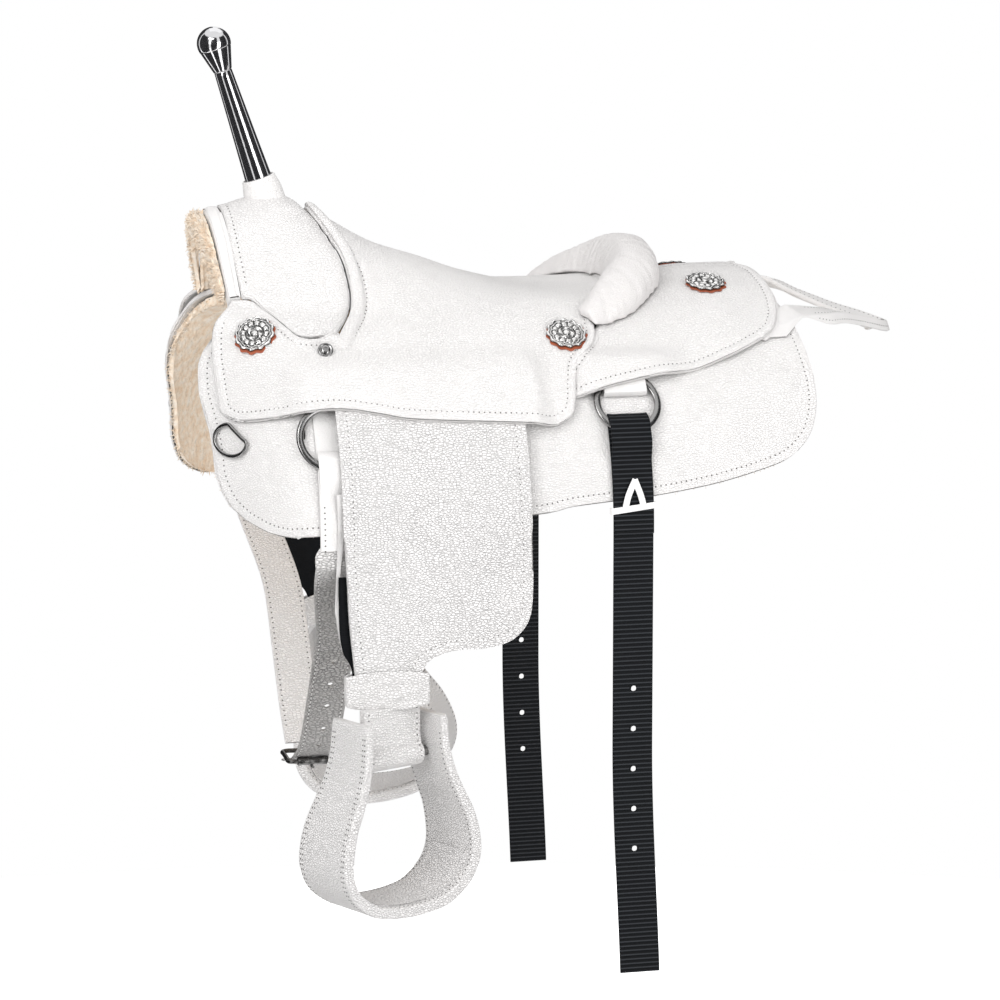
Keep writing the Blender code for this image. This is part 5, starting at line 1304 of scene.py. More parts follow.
def hold_section(at, along, tilt, free):
    outward = Vector((along.y, -along.x, 0.0)).normalized()
    upward = Vector((0.0, 0.0, 1.0))
    slope = outward * math.cos(tilt) - upward * math.sin(tilt)
    lift = outward * math.sin(tilt) + upward * math.cos(tilt)
    down = outward * 0.30 - upward * 0.95
    flat = HOLD_BASE_TOP - HOLD_BASE_UNDER
    thick = flat + (HOLD_THICK - flat) * free
    inner, outer = at - slope * HOLD_WIDTH, at + down * (flat + (HOLD_TURN_DOWN - flat) * free)
    under = at - lift * thick - slope * thick
    return [inner, at, outer, outer - slope * thick, under, inner - lift * thick], slope, lift


def hold_base(side, x, inner, crease, outer):
    over = [place(x, side * s, HOLD_BASE_TOP) for s in (inner, crease, outer)]
    return over + [place(x, side * s, HOLD_BASE_UNDER) for s in (outer, crease, inner)]


edge = along_curve([station[:3] for station in HOLD_EDGE], even(HOLD_STATIONS))
tilts = along_curve([(station[3], 0.0, 0.0) for station in HOLD_EDGE], even(HOLD_STATIONS))
sections = [hold_base(-1, *base) for base in HOLD_BASE]
hold_rows = {0.0050: [], 0.0205: []}
turned_row = []
for i, at in enumerate(edge):
    along = edge[min(HOLD_STATIONS, i + 1)] - edge[max(0, i - 1)]
    free = rise(min(i, HOLD_STATIONS - i), 0.0, 15.0)
    section, slope, lift = hold_section(at, along, math.radians(tilts[i].x), free)
    sections.append(section)
    for inset, row in hold_rows.items():
        row.append((at - slope * inset + lift * 0.0001, lift))
    way = (section[2] - section[1]).normalized()
    turned_row.append((section[1] + way * 0.0075 * free, slope))
sections += [hold_base(1, *base) for base in reversed(HOLD_BASE)]
bm = skin([round_corners(section, 0.0020) for section in sections])
dress("hand_hold_leather", bm, smooth_leather, "saddle", ["rear_hand_hold"])
runs = []
for row in [*hold_rows.values(), turned_row]:
    row = row[8:-8]
    runs.append(([point for point, _ in row], [way for _, way in row]))
sew("hand_hold_stitching", runs, "saddle", "hand_hold_leather")

# %% [markdown]
# ## Rings, dees and tabs
# Flat steel rings carry the straps. Each is an oval section carried round a circle. The rear ones hang
# in a folded leather tab, the front ones lie on a leather patch, and a dee on each front corner holds
# a breast strap.

# %% Rings
RING_X, RING_S = {"front": -0.1900, "rear": 0.1272}, {"front": 0.241, "rear": 0.217}
RING_FACES_S, RING_HEIGHT = {"front": 0.250, "rear": 0.2045}, {"front": 0.0259, "rear": 0.0253}
RING_RADIUS, RING_WIRE, RING_HALF_THICK = 0.0323, 0.0040, 0.0025
for word, side in SIDES:
    for which in ("front", "rear"):
        middle = place(RING_X[which], side * RING_S[which], RING_HEIGHT[which])
        at = standing(middle, normal_at(side * RING_FACES_S[which]))
        section = []
        for k in range(16):
            a = 2 * math.pi * k / 16
            flat = math.copysign(abs(math.cos(a)) ** 0.7, math.cos(a))
            section.append((RING_RADIUS + RING_WIRE * 0.97 * flat, RING_HALF_THICK * 0.92 * math.sin(a)))
        name = word + "_" + which + "_ring"
        dress(name + "_steel", turned(section, at, 96, closed=True), ring_steel, name + "_body", [name])

# %% Dees
DEE_BAR, DEE_REACH = ((-0.2838, 0.2345), (-0.2689, 0.2513)), (-0.2925, 0.2610)
DEE_WIRE, DEE_LIFT = 0.0021, 0.0074


def wire(name, points, radius, look, body, replaced=(), closed=True, order=3, around=4):
    """A round wire along a smooth line through points."""
    curve = bpy.data.curves.new(name, "CURVE")
    curve.dimensions, curve.bevel_depth, curve.bevel_resolution = "3D", radius, around
    curve.resolution_u, curve.use_fill_caps = 8, not closed
    line = curve.splines.new("BEZIER" if order == 3 else "POLY")
    controls = line.bezier_points if order == 3 else line.points
    controls.add(len(points) - 1)
    for control, point in zip(controls, points):
        if order == 3:
            control.co, control.handle_left_type, control.handle_right_type = point, "AUTO", "AUTO"
        else:
            control.co = (*point, 1.0)
    line.use_cyclic_u = closed
    guide = bpy.data.objects.new(name + "_line", curve)
    bpy.context.scene.collection.objects.link(guide)
    bpy.context.view_layer.update()
    mesh = bpy.data.meshes.new_from_object(guide.evaluated_get(bpy.context.evaluated_depsgraph_get()))
    bpy.data.objects.remove(guide)
    mesh.materials.clear()
    return dress(name, mesh, look, body, replaced)


for word, side in SIDES:
    ends = [place(x, side * s, SKIRT_TOP + DEE_LIFT) for x, s in DEE_BAR]
    middle, along = (ends[0] + ends[1]) / 2, (ends[1] - ends[0]) / 2
    out = place(DEE_REACH[0], side * DEE_REACH[1], SKIRT_TOP + DEE_LIFT) - middle
    points = [middle + along * share for share in (-0.96, -0.5, 0.0, 0.5, 0.96)]
    for i in range(1, 24):
        a = math.radians(52 + 256 * i / 24)
        points.append(middle + along * 1.264 * math.sin(a) + out * (0.379 - 0.621 * math.cos(a)))
    wire(word + "_dee_wire", points, DEE_WIRE * 0.97, ring_steel, word + "_dee_body", [word + "_dee"])
# %% [markdown]
# ## Straps
# A strap is a section with rounded edges carried along the middle line of the strap, seen from the
# front, and as wide as the strap along the horse. Nylon webbing gets real ribs, one every 4.8 mm, and a
# smooth border on each side. Holes are cut last, so that daylight shows through them.

# %% Strap builder
STRAP_OUT, NYLON_OUT, FENDER_OUT, FENDER_THICK, NYLON_THICK = 0.2360, 0.2454, 0.2475, 0.0040, 0.0024
RIB_PITCH, RIB_HIGH, BORDER = 0.0048, 0.00060, 0.0026


def strap_skin(line, x, wide, thick, ribs=False, edge=0.0009, across=10, rounded_tip=0.0, rounded_top=0.0):
    """The skin of a strap whose middle line is (y, z) points."""
    step = RIB_PITCH / 6 if ribs else 0.004
    line = resample(line, step)
    lengths = np.concatenate([[0.0], np.cumsum(np.linalg.norm(np.diff(line, axis=0), axis=1))])
    ways = np.gradient(line, axis=0)
    ways /= np.linalg.norm(ways, axis=1)[:, None]
    sections = []
    for (y, z), (ty, tz), t in zip(line, ways, lengths):
        half = wide / 2
        for radius, gone in ((rounded_tip, lengths[-1] - t), (rounded_top, t)):
            if radius and gone < radius:
                half = min(half, half - radius + math.sqrt(max(0.0, radius**2 - (radius - gone) ** 2)) + 0.0006)
        places = [-half, -half + edge * 0.3, -half + edge]
        places += [(-half + edge) + (2 * half - 2 * edge) * k / across for k in range(1, across)]
        places += [half - edge, half - edge * 0.3, half]
        highs = [0.30, 0.78] + [1.0] * (len(places) - 4) + [0.78, 0.30]
        ring = []
        for face in (1, -1):
            order = range(len(places)) if face == 1 else range(len(places) - 1, -1, -1)
            for k in order:
                high = thick / 2 * highs[k]
                if ribs and abs(places[k]) < half - BORDER:
                    high += RIB_HIGH * (math.cos(2 * math.pi * t / RIB_PITCH) - 1) / 2
                ring.append(Vector((x + places[k], y - tz * high * face, z + ty * high * face)))
        sections.append(ring)
    bm = skin(sections)
    if ribs:
        crest = bm.verts.layers.float.new("rib")
        for i, vert in enumerate(bm.verts):
            t = lengths[min(i // len(sections[0]), len(lengths) - 1)]
            vert[crest] = (1 + math.cos(2 * math.pi * t / RIB_PITCH)) / 2
    return bm


def punched(bm, spots, way, radius, name):
    """Cuts a round hole along a way at each spot."""
    mesh = bpy.data.meshes.new(name)
    bm.to_mesh(mesh)
    bm.free()
    strap = bpy.data.objects.new(name, mesh)
    cutters = bmesh.new()
    for spot_ in spots:
        bmesh.ops.create_cone(cutters, cap_ends=True, segments=20, radius1=radius, radius2=radius, depth=0.03,
                              matrix=standing(spot_, way))
    cut_mesh = bpy.data.meshes.new(name + "_holes")
    cutters.to_mesh(cut_mesh)
    cutters.free()
    cutter = bpy.data.objects.new(name + "_holes", cut_mesh)
    for obj in (strap, cutter):
        bpy.context.scene.collection.objects.link(obj)
    cut = strap.modifiers.new("holes", "BOOLEAN")
    cut.operation, cut.solver, cut.object = "DIFFERENCE", "EXACT", cutter
    bpy.context.view_layer.update()
    made = bpy.data.meshes.new_from_object(strap.evaluated_get(bpy.context.evaluated_depsgraph_get()))
    for obj in (strap, cutter):
        bpy.data.objects.remove(obj)
    made.materials.clear()
    return made


def folded_line(side, start, ring_s, join_s, end_z, wrap, thick):
    """The middle line of a strap that comes up outside, folds over inside a ring and goes down behind."""
    back = STRAP_OUT - BACK_RADIUS
    outer, inner = [], []
    widest = BACK_RADIUS * math.pi / 2
    for i in range(25):
        s = start + 0.0015 + (join_s - start - 0.0015) * i / 24
        open_by = wrap * (1 - rise(s, ring_s + 0.006, join_s)) * math.sqrt(rise(s, start, start + 0.012))
        outer.append(place(0, side * s, back + open_by + 1.5 * thick))
        inner.append(place(0, side * s, back + 0.5 * thick))
    for i in range(1, 9):
        s = join_s + (widest - join_s) * i / 8
        if s <= widest and join_s < widest:
            outer.append(place(0, side * s, back + 1.5 * thick - thick * rise(i, 2, 8) * 0.0))
            inner.append(place(0, side * s, back + 0.5 * thick))
    top = place(0, side * start, back + thick + wrap * 0.15)
    outer.append(Vector((0, side * (STRAP_OUT + 1.5 * thick), end_z)))
    inner.append(Vector((0, side * (STRAP_OUT + 0.5 * thick), end_z)))
    line = outer[::-1] + [top] + inner
    return [(p.y, p.z) for p in line]


print("rib pitch", RIB_PITCH * 1000, "mm")

# %% Rear billets with their loops
BILLET_X, BILLET_WIDTH, BILLET_BOTTOM = 0.1250, 0.0430, -0.690
BILLET_PIVOT_Z, BILLET_LEAN = -0.2150, 0.0055
BILLET_HOLES_Z, BILLET_HOLE_PITCH = -0.3835, 0.0430
for word, side in SIDES:
    line = folded_line(side, 0.2282, RING_S["rear"] + RING_RADIUS, 0.276, BILLET_PIVOT_Z - 0.004, 0.0086, NYLON_THICK)
    bm = strap_skin(line, BILLET_X, BILLET_WIDTH, NYLON_THICK, ribs=True)
    dress(word + "_billet_loop_webbing", bm, nylon_webbing, "saddle", [word + "_billet_loop"])
    out = side * (STRAP_OUT + NYLON_THICK / 2)
    bm = strap_skin([(out, BILLET_PIVOT_Z + 0.010), (out, BILLET_BOTTOM)], BILLET_X, BILLET_WIDTH, NYLON_THICK, ribs=True)
    for vert in bm.verts:
        vert.co.x += BILLET_LEAN * 2 * rise(-vert.co.z, 0.44, 0.76)
    holes = []
    for i in range(5):
        z = BILLET_HOLES_Z - BILLET_HOLE_PITCH * i
        holes.append((BILLET_X + 0.001 + BILLET_LEAN * 2 * rise(-z, 0.44, 0.76) * 0.6, out, z))
    mesh = punched(bm, holes, (0, 1, 0), 0.0030, word + "_billet_webbing_mesh")
    dress(word + "_rear_billet_webbing", mesh, nylon_webbing, word + "_billet_body", [word + "_rear_billet"])

# %% [markdown]
# A white lace is tied round each billet below its ring. It goes round the strap once, and its ends cross
# in front in a pointed knot.

# %% Lace round each billet
LACE_Z, LACE_WIDE, LACE_THICK = -0.1915, 0.0066, 0.0020


def lace(name, points, outs, body, wide=LACE_WIDE):
    """A flat lace through points, its face turned to the ways out."""
    line = along_curve(points, even(28))
    faces = along_curve(outs, even(28))
    sections = []
    for i, at in enumerate(line):
        along = (line[min(i + 1, 28)] - line[max(i - 1, 0)]).normalized()
        out = (faces[i] - along * faces[i].dot(along)).normalized()
        across = along.cross(out)
        section = [at + across * wide / 2 * a + out * LACE_THICK / 2 * b for a, b in ((-1, -1), (1, -1), (1, 1), (-1, 1))]
        sections.append(round_corners(section, 0.0009, 3))
    return dress(name, skin(sections), cord_look, body)


for word, side in SIDES:
    s = BACK_RADIUS * math.acos((LACE_Z + BACK_RADIUS) / (STRAP_OUT + 0.004))
    top = STRAP_OUT - BACK_RADIUS + 2 * NYLON_THICK + LACE_THICK / 2 + 0.0003
    low = STRAP_OUT - BACK_RADIUS - LACE_THICK / 2 - 0.0002
    half, out = BILLET_WIDTH / 2 + 0.0012, normal_at(side * s)
    on_strap = lambda x, down, high: place(BILLET_X + x, side * (s + down), high)
    front = [on_strap(x, 0.0030 - 0.10 * (x + half), top + lift_) for x, lift_ in
             ((-half - 0.0006, -0.0014), (-half * 0.9, 0.0), (0.0, 0.0003), (half * 0.9, 0.0), (half + 0.0006, -0.0014))]
    outs = [out - Vector((0.9, 0, 0)), out, out, out, out + Vector((0.9, 0, 0))]
    lace(word + "_lace_band", front, outs, "saddle")
    for reach, way, down in ((-half, -1, 0.0030), (half, 1, -0.0013)):
        around = [on_strap(reach + way * 0.0008, down, top), on_strap(reach + way * 0.0016, down, (top + low) / 2)]
        around += [on_strap(reach + way * 0.0008, down, low)]
        lace(word + "_lace_turn_" + ("rear" if way > 0 else "front"), around, [Vector((way, 0, 0))] * 3, "saddle")
    for foot, way, over in ((-0.0105, -1, 0.0), (0.0100, 1, 0.0012)):
        leg = [on_strap(foot, 0.0015, top + 0.0016), on_strap(foot * 0.60, -0.0115, top + 0.0016 + over)]
        leg += [on_strap(0.0010 - foot * 0.06, -0.0255, top + 0.0014 + over)]
        lace(word + "_lace_end_" + ("rear" if way > 0 else "front"), leg, [out] * 3, "saddle", 0.0066)

# %% Rear ring tabs
TAB_FROM, TAB_FOLD, TAB_THICK, TAB_WIDTH = 0.180, 0.2090, 0.0018, 0.046
for word, side in SIDES:
    low, high = SKIRT_TOP + GAP + TAB_THICK / 2, SKIRT_TOP + 0.0087 + TAB_THICK / 2
    mid = (low + high) / 2
    line = [place(0, side * (TAB_FROM + (TAB_FOLD - TAB_FROM - 0.002) * i / 6), low) for i in range(7)]
    for i in range(1, 8):
        a = math.pi * i / 8
        line.append(place(0, side * (TAB_FOLD - 0.002 + 0.0022 * math.sin(a)), mid - (mid - low) * math.cos(a)))
    line += [place(0, side * (TAB_FROM + (TAB_FOLD - TAB_FROM - 0.002) * i / 6), high) for i in range(6, -1, -1)]
    bm = strap_skin([(p.y, p.z) for p in line], RING_X["rear"] - 0.001, TAB_WIDTH, TAB_THICK)
    dress(word + "_rear_ring_tab_leather", bm, smooth_leather, "saddle", [word + "_rear_ring_tab"])
print("billets, laces and tabs made")

# %% [markdown]
# ## Girth
# The horse is girthed with two leather straps that meet under its belly in a roller buckle. Both hang
# from the front rings, and each turns about the flat round top of its strap. They share the strap
# section of the billets, without ribs, and drift back a little on their way down.

# %% Girth loops and straps
GIRTH_WIDTH, GIRTH_THICK, GIRTH_DRIFT = 0.0430, 0.0022, 0.0190
GIRTH_PIVOT = Vector((RING_X["front"], 0.0, -0.2350))
GIRTH_FALL = (
    (0.2370, -0.246), (0.205, -0.2720), (0.165, -0.3100), (0.125, -0.3600), (0.090, -0.4120),
    (0.062, -0.4510),
)
NEAR_GIRTH_END = (
    (0.040, -0.4740), (0.0147, -0.4882), (-0.004, -0.4965), (-0.030, -0.5035), (-0.062, -0.5100),
)
FAR_GIRTH_END = ((0.036, -0.4790), (0.0305, -0.4845))
HEEL, ROLLER, HEEL_BAR, ROLLER_RADIUS = (0.0250, -0.4920), (-0.0147, -0.4950), 0.0026, 0.0045
GIRTH_HOLES = ((0.123, -0.3625), (0.104, -0.3915), (0.085, -0.4185), (0.064, -0.4480), (0.044, -0.4700))


def girth_drift(z):
    return GIRTH_DRIFT * rise(-z, 0.235, 0.345)


def mark_rim(mesh, name="from_edge"):
    """Writes each point's distance to the nearest long edge of a strap that lies along Z and Y."""
    xs = np.array([v.co.x - girth_drift(v.co.z) for v in mesh.vertices])
    values = np.maximum(0.0, GIRTH_WIDTH / 2 - np.abs(xs - GIRTH_PIVOT.x))
    mesh.attributes.new(name, "FLOAT", "POINT").data.foreach_set("value", values.astype(np.float32))


for word, side in SIDES:
    look = painted_shade_girth_leather if word == "near" else far_girth_leather
    end_z = GIRTH_PIVOT.z + GIRTH_WIDTH / 2 - 0.010
    line = folded_line(side, 0.2545, RING_S["front"] + RING_RADIUS, 0.300, end_z, 0.0062, GIRTH_THICK)
    bm = strap_skin(line, RING_X["front"] + 0.0028, GIRTH_WIDTH - 0.0056, GIRTH_THICK, across=22)
    loop = dress(word + "_girth_loop_leather", bm, smooth_leather, "saddle", [word + "_girth_loop"])
    mark_rim(loop.data)
    rows = []
    path = [Vector((0.0, y, z)) for y, z in resample(line, 0.003)][:18]
    for edge_x in (-1, 1):
        x = RING_X["front"] + 0.0028 + edge_x * (GIRTH_WIDTH / 2 - 0.0073)
        spots = [Vector((x, p.y + side * GIRTH_THICK * 0.5, p.z)) for p in path]
        rows.append((spots, [Vector((0.0, side, 0.0))] * len(spots)))
    sew(word + "_girth_loop_stitching", rows, "saddle", word + "_girth_loop_leather")
    top_out = STRAP_OUT + GIRTH_THICK / 2
    fall = [(top_out, GIRTH_PIVOT.z + GIRTH_WIDTH / 2), (top_out, GIRTH_PIVOT.z), (top_out, -0.2430)]
    ending = NEAR_GIRTH_END if word == "near" else FAR_GIRTH_END
    line = along_curve([(side * out, z) for out, z in [*fall, *GIRTH_FALL[1:], *ending]], even(160))
    line = [(p.x, p.y) for p in line]
    bm = strap_skin(line, GIRTH_PIVOT.x, GIRTH_WIDTH, GIRTH_THICK, across=22, rounded_top=GIRTH_WIDTH / 2,
                    rounded_tip=0.012 if word == "near" else 0.0)
    for vert in bm.verts:
        vert.co.x += girth_drift(vert.co.z)
    if word == "near":
        spots = [(GIRTH_PIVOT.x + 0.0015 + girth_drift(z), -out, z) for out, z in GIRTH_HOLES]
        mesh = punched(bm, spots, (0.0, 0.78, 0.62), 0.0030, "near_girth_mesh")
    else:
        mesh = bpy.data.meshes.new("far_girth_mesh")
        bm.to_mesh(mesh)
        bm.free()
    strap = dress(word + "_girth_strap_leather", mesh, look, "girth_body", [word + "_girth_strap"])
    mark_rim(strap.data)
    rows = []
    path = [Vector((0.0, y, z)) for y, z in resample(line, 0.004)]
    path = path[7:-16] if word == "near" else path[7:-3]
    for face in (1, -1):
        for edge_x in (-1, 1):
            spots, ways = [], []
            for before, p, after in zip(path, path[1:], path[2:]):
                along = (after - before).normalized()
                way = Vector((0.0, -along.z, along.y)) * face
                x = GIRTH_PIVOT.x + girth_drift(p.z) + edge_x * (GIRTH_WIDTH / 2 - 0.0042)
                spots.append(Vector((x, p.y, p.z)) + way * GIRTH_THICK * 0.5)
                ways.append(way)
            rows.append((spots, ways))
    sew(word + "_girth_strap_stitching", rows, "girth_body", word + "_girth_strap_leather", pitch=0.0062)

# %% Buckle frame, roller and tongue
buckle_x = GIRTH_PIVOT.x + GIRTH_DRIFT
half = GIRTH_WIDTH / 2 + 0.0045
corners = [Vector((buckle_x + reach, *end)) for reach, end in ((-half, HEEL), (half, HEEL), (half, ROLLER), (-half, ROLLER))]
points = []
for corner, following in zip(corners, corners[1:] + corners[:1]):
    points += [corner.lerp(following, share) for share in (0.08, 0.25, 0.5, 0.75, 0.92)]
wire("girth_buckle_frame", points, HEEL_BAR * 0.97, buckle_steel, "girth_body", ["girth_buckle"])
across = Matrix.Translation((buckle_x, *ROLLER)) @ Matrix.Rotation(math.pi / 2, 4, "Y")
sleeve = [(HEEL_BAR + 0.0005, 0.017), (ROLLER_RADIUS - 0.0006, 0.017), (ROLLER_RADIUS, 0.0163), (ROLLER_RADIUS, 0.0045)]
sleeve += [(ROLLER_RADIUS - 0.0004, 0.0035), (ROLLER_RADIUS - 0.0004, -0.0035), (ROLLER_RADIUS, -0.0045)]
sleeve += [(ROLLER_RADIUS, -0.0163), (ROLLER_RADIUS - 0.0006, -0.017), (HEEL_BAR + 0.0005, -0.017)]
dress("buckle_roller_steel", turned(sleeve, across, 40, closed=True), buckle_steel, "roller_body", ["buckle_roller"])
roller_y, roller_z = ROLLER
heel_y, heel_z = HEEL
tongue = [(heel_y + 0.0040, heel_z - 0.0030), (heel_y + 0.0005, heel_z - 0.0047), (heel_y - 0.0060, heel_z - 0.0050)]
tongue += [(roller_y + 0.0080, roller_z - 0.0066), (roller_y + 0.0020, roller_z - 0.0068), (roller_y - 0.0030, roller_z - 0.0064)]
tongue_points = [Vector((buckle_x, y, z)) for y, z in tongue]
wire("buckle_tongue_steel", tongue_points, 0.0014, buckle_steel, "tongue_body", ["buckle_tongue"], closed=False)
eye = Matrix.Translation((buckle_x, *HEEL)) @ Matrix.Rotation(math.pi / 2, 4, "Y")
curl = [(HEEL_BAR + 0.0005, 0.0015), (0.0057, 0.0015), (0.0061, 0.0008), (0.0061, -0.0008), (0.0057, -0.0015), (HEEL_BAR + 0.0005, -0.0015)]
dress("buckle_tongue_eye", turned(curl, eye, 32, closed=True), buckle_steel, "tongue_body")
print("girth buckled")

# %% [markdown]
# ## Fenders
# A fender hangs between the rider's leg and the horse. It is one wide leather that comes down from under
# the jockey and narrows to the stirrup's tail. It swings, so here its top stays in place and the rest is
# turned back by its side's swing: the leather bends between them. Its outline is filled with triangles that
# lie in rows along the rim, so that the rim can be rounded and the stitches drawn in.

# %% The fender's shape on the leg
FENDER_PIVOT, FENDER_DISC, FENDER_TOP_S = Vector((-0.0865, 0.0, -0.130)), 0.106, 0.196
SWING = {"near": 0.0, "far": math.radians(13)}
BEND_FROM, BEND_TO = -0.118, -0.236
FENDER_SIDES = (
    (0.0115, -0.166), (0.0125, -0.200), (0.0138, -0.243), (0.0130, -0.283), (0.0088, -0.3035),
    (-0.0030, -0.3185), (-0.0190, -0.3265), (-0.0410, -0.3300), (-0.0700, -0.3305), (-0.0890, -0.3360),
    (-0.0990, -0.3425), (-0.1026, -0.3480), (-0.1036, -0.3600), (-0.1040, -0.3830), (-0.1700, -0.3830),
    (-0.1735, -0.3540),
    (-0.1790, -0.3000), (-0.1810, -0.2600), (-0.1830, -0.2100),
)
QUARTER = FENDER_OUT * math.pi / 2


def down_leg(z):
    """The way along the leather from the ridge to a height z."""
    if z > -BACK_RADIUS:
        return FENDER_OUT * math.acos((z + BACK_RADIUS) / FENDER_OUT)
    return QUARTER - BACK_RADIUS - z


def on_leg(x, t, height, side):
    """The point at a height over a place on the leather, which is round above and flat below."""
    if t < QUARTER:
        a, r = t / FENDER_OUT, FENDER_OUT + height
        return Vector((x, side * r * math.sin(a), r * math.cos(a) - BACK_RADIUS))
    return Vector((x, side * (FENDER_OUT + height), QUARTER - BACK_RADIUS - t))


def fender_pivot(side):
    return Vector((FENDER_PIVOT.x, side * (FENDER_OUT + FENDER_THICK / 2), FENDER_PIVOT.z))


def hung_back(p, word, side):
    """Hangs a point back by its side's swing, less so near the fender's top."""
    share = rise(-p.z, -BEND_FROM, -BEND_TO)
    turn = Matrix.Rotation(-SWING[word] * share, 3, "Y")
    pivot = fender_pivot(side)
    return pivot + turn @ (p - pivot)


def swung(points, word, side):
    turn = Matrix.Rotation(-SWING[word], 3, "Y")
    pivot = fender_pivot(side)
    return [pivot + turn @ (Vector(p) - pivot) for p in points]


def inward(outline, inset):
    """An outline's points moved inwards, leaving out those that come too near another edge."""
    ways = np.roll(outline, -1, axis=0) - np.roll(outline, 1, axis=0)
    sides = np.stack([-ways[:, 1], ways[:, 0]], 1) / np.maximum(np.linalg.norm(ways, axis=1), 1e-9)[:, None]
    area = (outline[:, 0] * np.roll(outline[:, 1], -1) - np.roll(outline[:, 0], -1) * outline[:, 1]).sum()
    line = outline + sides * inset * (1 if area > 0 else -1)
    return line[distance_to(line, outline, True) > inset * 0.97]


def filled(outline, step=0.0055, rows=(0.0016, 0.0036, 0.0062, 0.0080, 0.0095, 0.0110, 0.0135)):
    """Triangles inside an outline, with rows of points along its rim. Returns points and triangles."""
    rim = resample(outline, 0.0026, True)[:-1]
    points = [tuple(p) for p in rim]
    for inset in rows:
        points += [tuple(p) for p in inward(rim, inset)]
    low, high = rim.min(0), rim.max(0)
    inner = []
    for j, v in enumerate(np.arange(low[1], high[1], step * 0.87)):
        for u in np.arange(low[0] + (step / 2 if j % 2 else 0.0), high[0], step):
            inner.append((u, v))
    inner = np.array(inner)
    inside = np.zeros(len(inner), bool)
    a, b = rim, np.roll(rim, -1, axis=0)
    for (x0, y0), (x1, y1) in zip(a, b):
        crosses = (y0 > inner[:, 1]) != (y1 > inner[:, 1])
        at = x0 + (inner[:, 1] - y0) * (x1 - x0) / (y1 - y0 if abs(y1 - y0) > 1e-12 else 1e-12)
        inside ^= crosses & (inner[:, 0] < at)
    inner = inner[inside]
    inner = inner[distance_to(inner, rim, True) > rows[-1] + 0.0025]
    points += [tuple(p) for p in inner]
    edges = [(i, (i + 1) % len(rim)) for i in range(len(rim))]
    made = geometry.delaunay_2d_cdt([Vector(p) for p in points], edges, [], 1, 1e-7)
    return made[0], made[2]


def leather_piece(outline, to_place, thick, rim=0.0014, lift=None):
    """A closed sheet inside an outline. to_place(u, v, height) gives its points."""
    spots, triangles = filled(outline)
    loop = resample(outline, 0.0026, True)[:-1]
    gaps = distance_to([(p.x, p.y) for p in spots], loop, True)
    bm = bmesh.new()
    flat = bm.verts.layers.float_vector.new("place")
    inside = bm.verts.layers.float.new("from_edge")
    verts = []
    for p, gap in zip(spots, gaps):
        vert = bm.verts.new((p.x, p.y, 0.0))
        vert[flat], vert[inside] = vert.co.copy(), gap
        verts.append(vert)
    for triangle in triangles:
        bm.faces.new([verts[k] for k in triangle])
    bmesh.ops.recalc_face_normals(bm, faces=bm.faces)
    grown = bmesh.ops.extrude_face_region(bm, geom=bm.faces[:])
    raised_ = {v for v in grown["geom"] if isinstance(v, bmesh.types.BMVert)}
    for vert in bm.verts:
        u, v = vert[flat].x, vert[flat].y
        height = thick + (lift(u, v, vert[inside]) if lift else 0.0) if vert in raised_ else 0.0
        vert.co = to_place(u, v, height)
    walls = [f for f in bm.faces if len({v in raised_ for v in f.verts}) == 2]
    edges = {e for f in walls for e in f.edges if (e.verts[0] in raised_) == (e.verts[1] in raised_)}
    bmesh.ops.bevel(bm, geom=list(edges), offset=rim, segments=3, profile=0.5, affect="EDGES")
    bmesh.ops.recalc_face_normals(bm, faces=bm.faces)
    if bm.calc_volume(signed=True) < 0:
        bmesh.ops.reverse_faces(bm, faces=bm.faces)
    return bm


# %% Fender leather
def soft_outline(*runs):
    """An outline of smooth runs with a corner between each and the next."""
    points = []
    for run in runs:
        length = sum(math.dist(a, b) for a, b in zip(run, run[1:]))
        points += [(p.x, p.y) for p in along_curve(run, even(max(2, int(length / 0.003))))][:-1]
    return points


right = [(x, down_leg(z)) for x, z in FENDER_SIDES[:14]]
left = [(x, down_leg(z)) for x, z in FENDER_SIDES[14:]]
top_t = FENDER_OUT * FENDER_TOP_S / BACK_RADIUS
top_left, top_right = (-0.1837, top_t), (0.0110, top_t)
fender_outline = soft_outline((top_left, top_right), (top_right, *right), (right[-1], left[0]), (*left, top_left))
FENDER_STITCH = 0.0095
for word, side in SIDES:
    to_place = lambda u, v, height: hung_back(on_leg(u, v, height, side), word, side)
    lift = lambda u, v, gap: bead(gap, 0.0002, FENDER_STITCH, 0.0006) + waves(u, v, 0.0012, 21.0 + side) * rise(gap, 0, 0.03)
    bm = leather_piece(fender_outline, to_place, FENDER_THICK, lift=lift)
    fender = dress(word + "_fender_leather", bm, fender_finish, None)
    low, high = fender_pivot(side).copy(), fender_pivot(side).copy()
    high.z, low.z = BEND_FROM, BEND_TO
    bend = ("saddle", word + "_fender_body", high, low)
    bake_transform(fender)
    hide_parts(word + "_fender_top", word + "_fender")
    line = resample(fender_outline, 0.0026, True)[:-1]
    stitch_line = inward(line, FENDER_STITCH)
    stitch_line = [p for p in stitch_line if p[1] > top_t + 0.014]
    turns = [i for i in range(len(stitch_line)) if math.dist(stitch_line[i - 1], stitch_line[i]) > 0.02]
    stitch_line = stitch_line[turns[0]:] + stitch_line[:turns[0]] if turns else stitch_line
    spots, ways = [], []
    for u, v in stitch_line:
        here = to_place(u, v, FENDER_THICK - 0.0004)
        spots.append(here)
        ways.append((to_place(u, v, FENDER_THICK + 0.002) - here).normalized())
    sew(word + "_fender_stitching", [(spots, ways)], None, word + "_fender_leather", blend=bend)
print("fenders hang back by", [round(math.degrees(value)) for value in SWING.values()], "degrees")

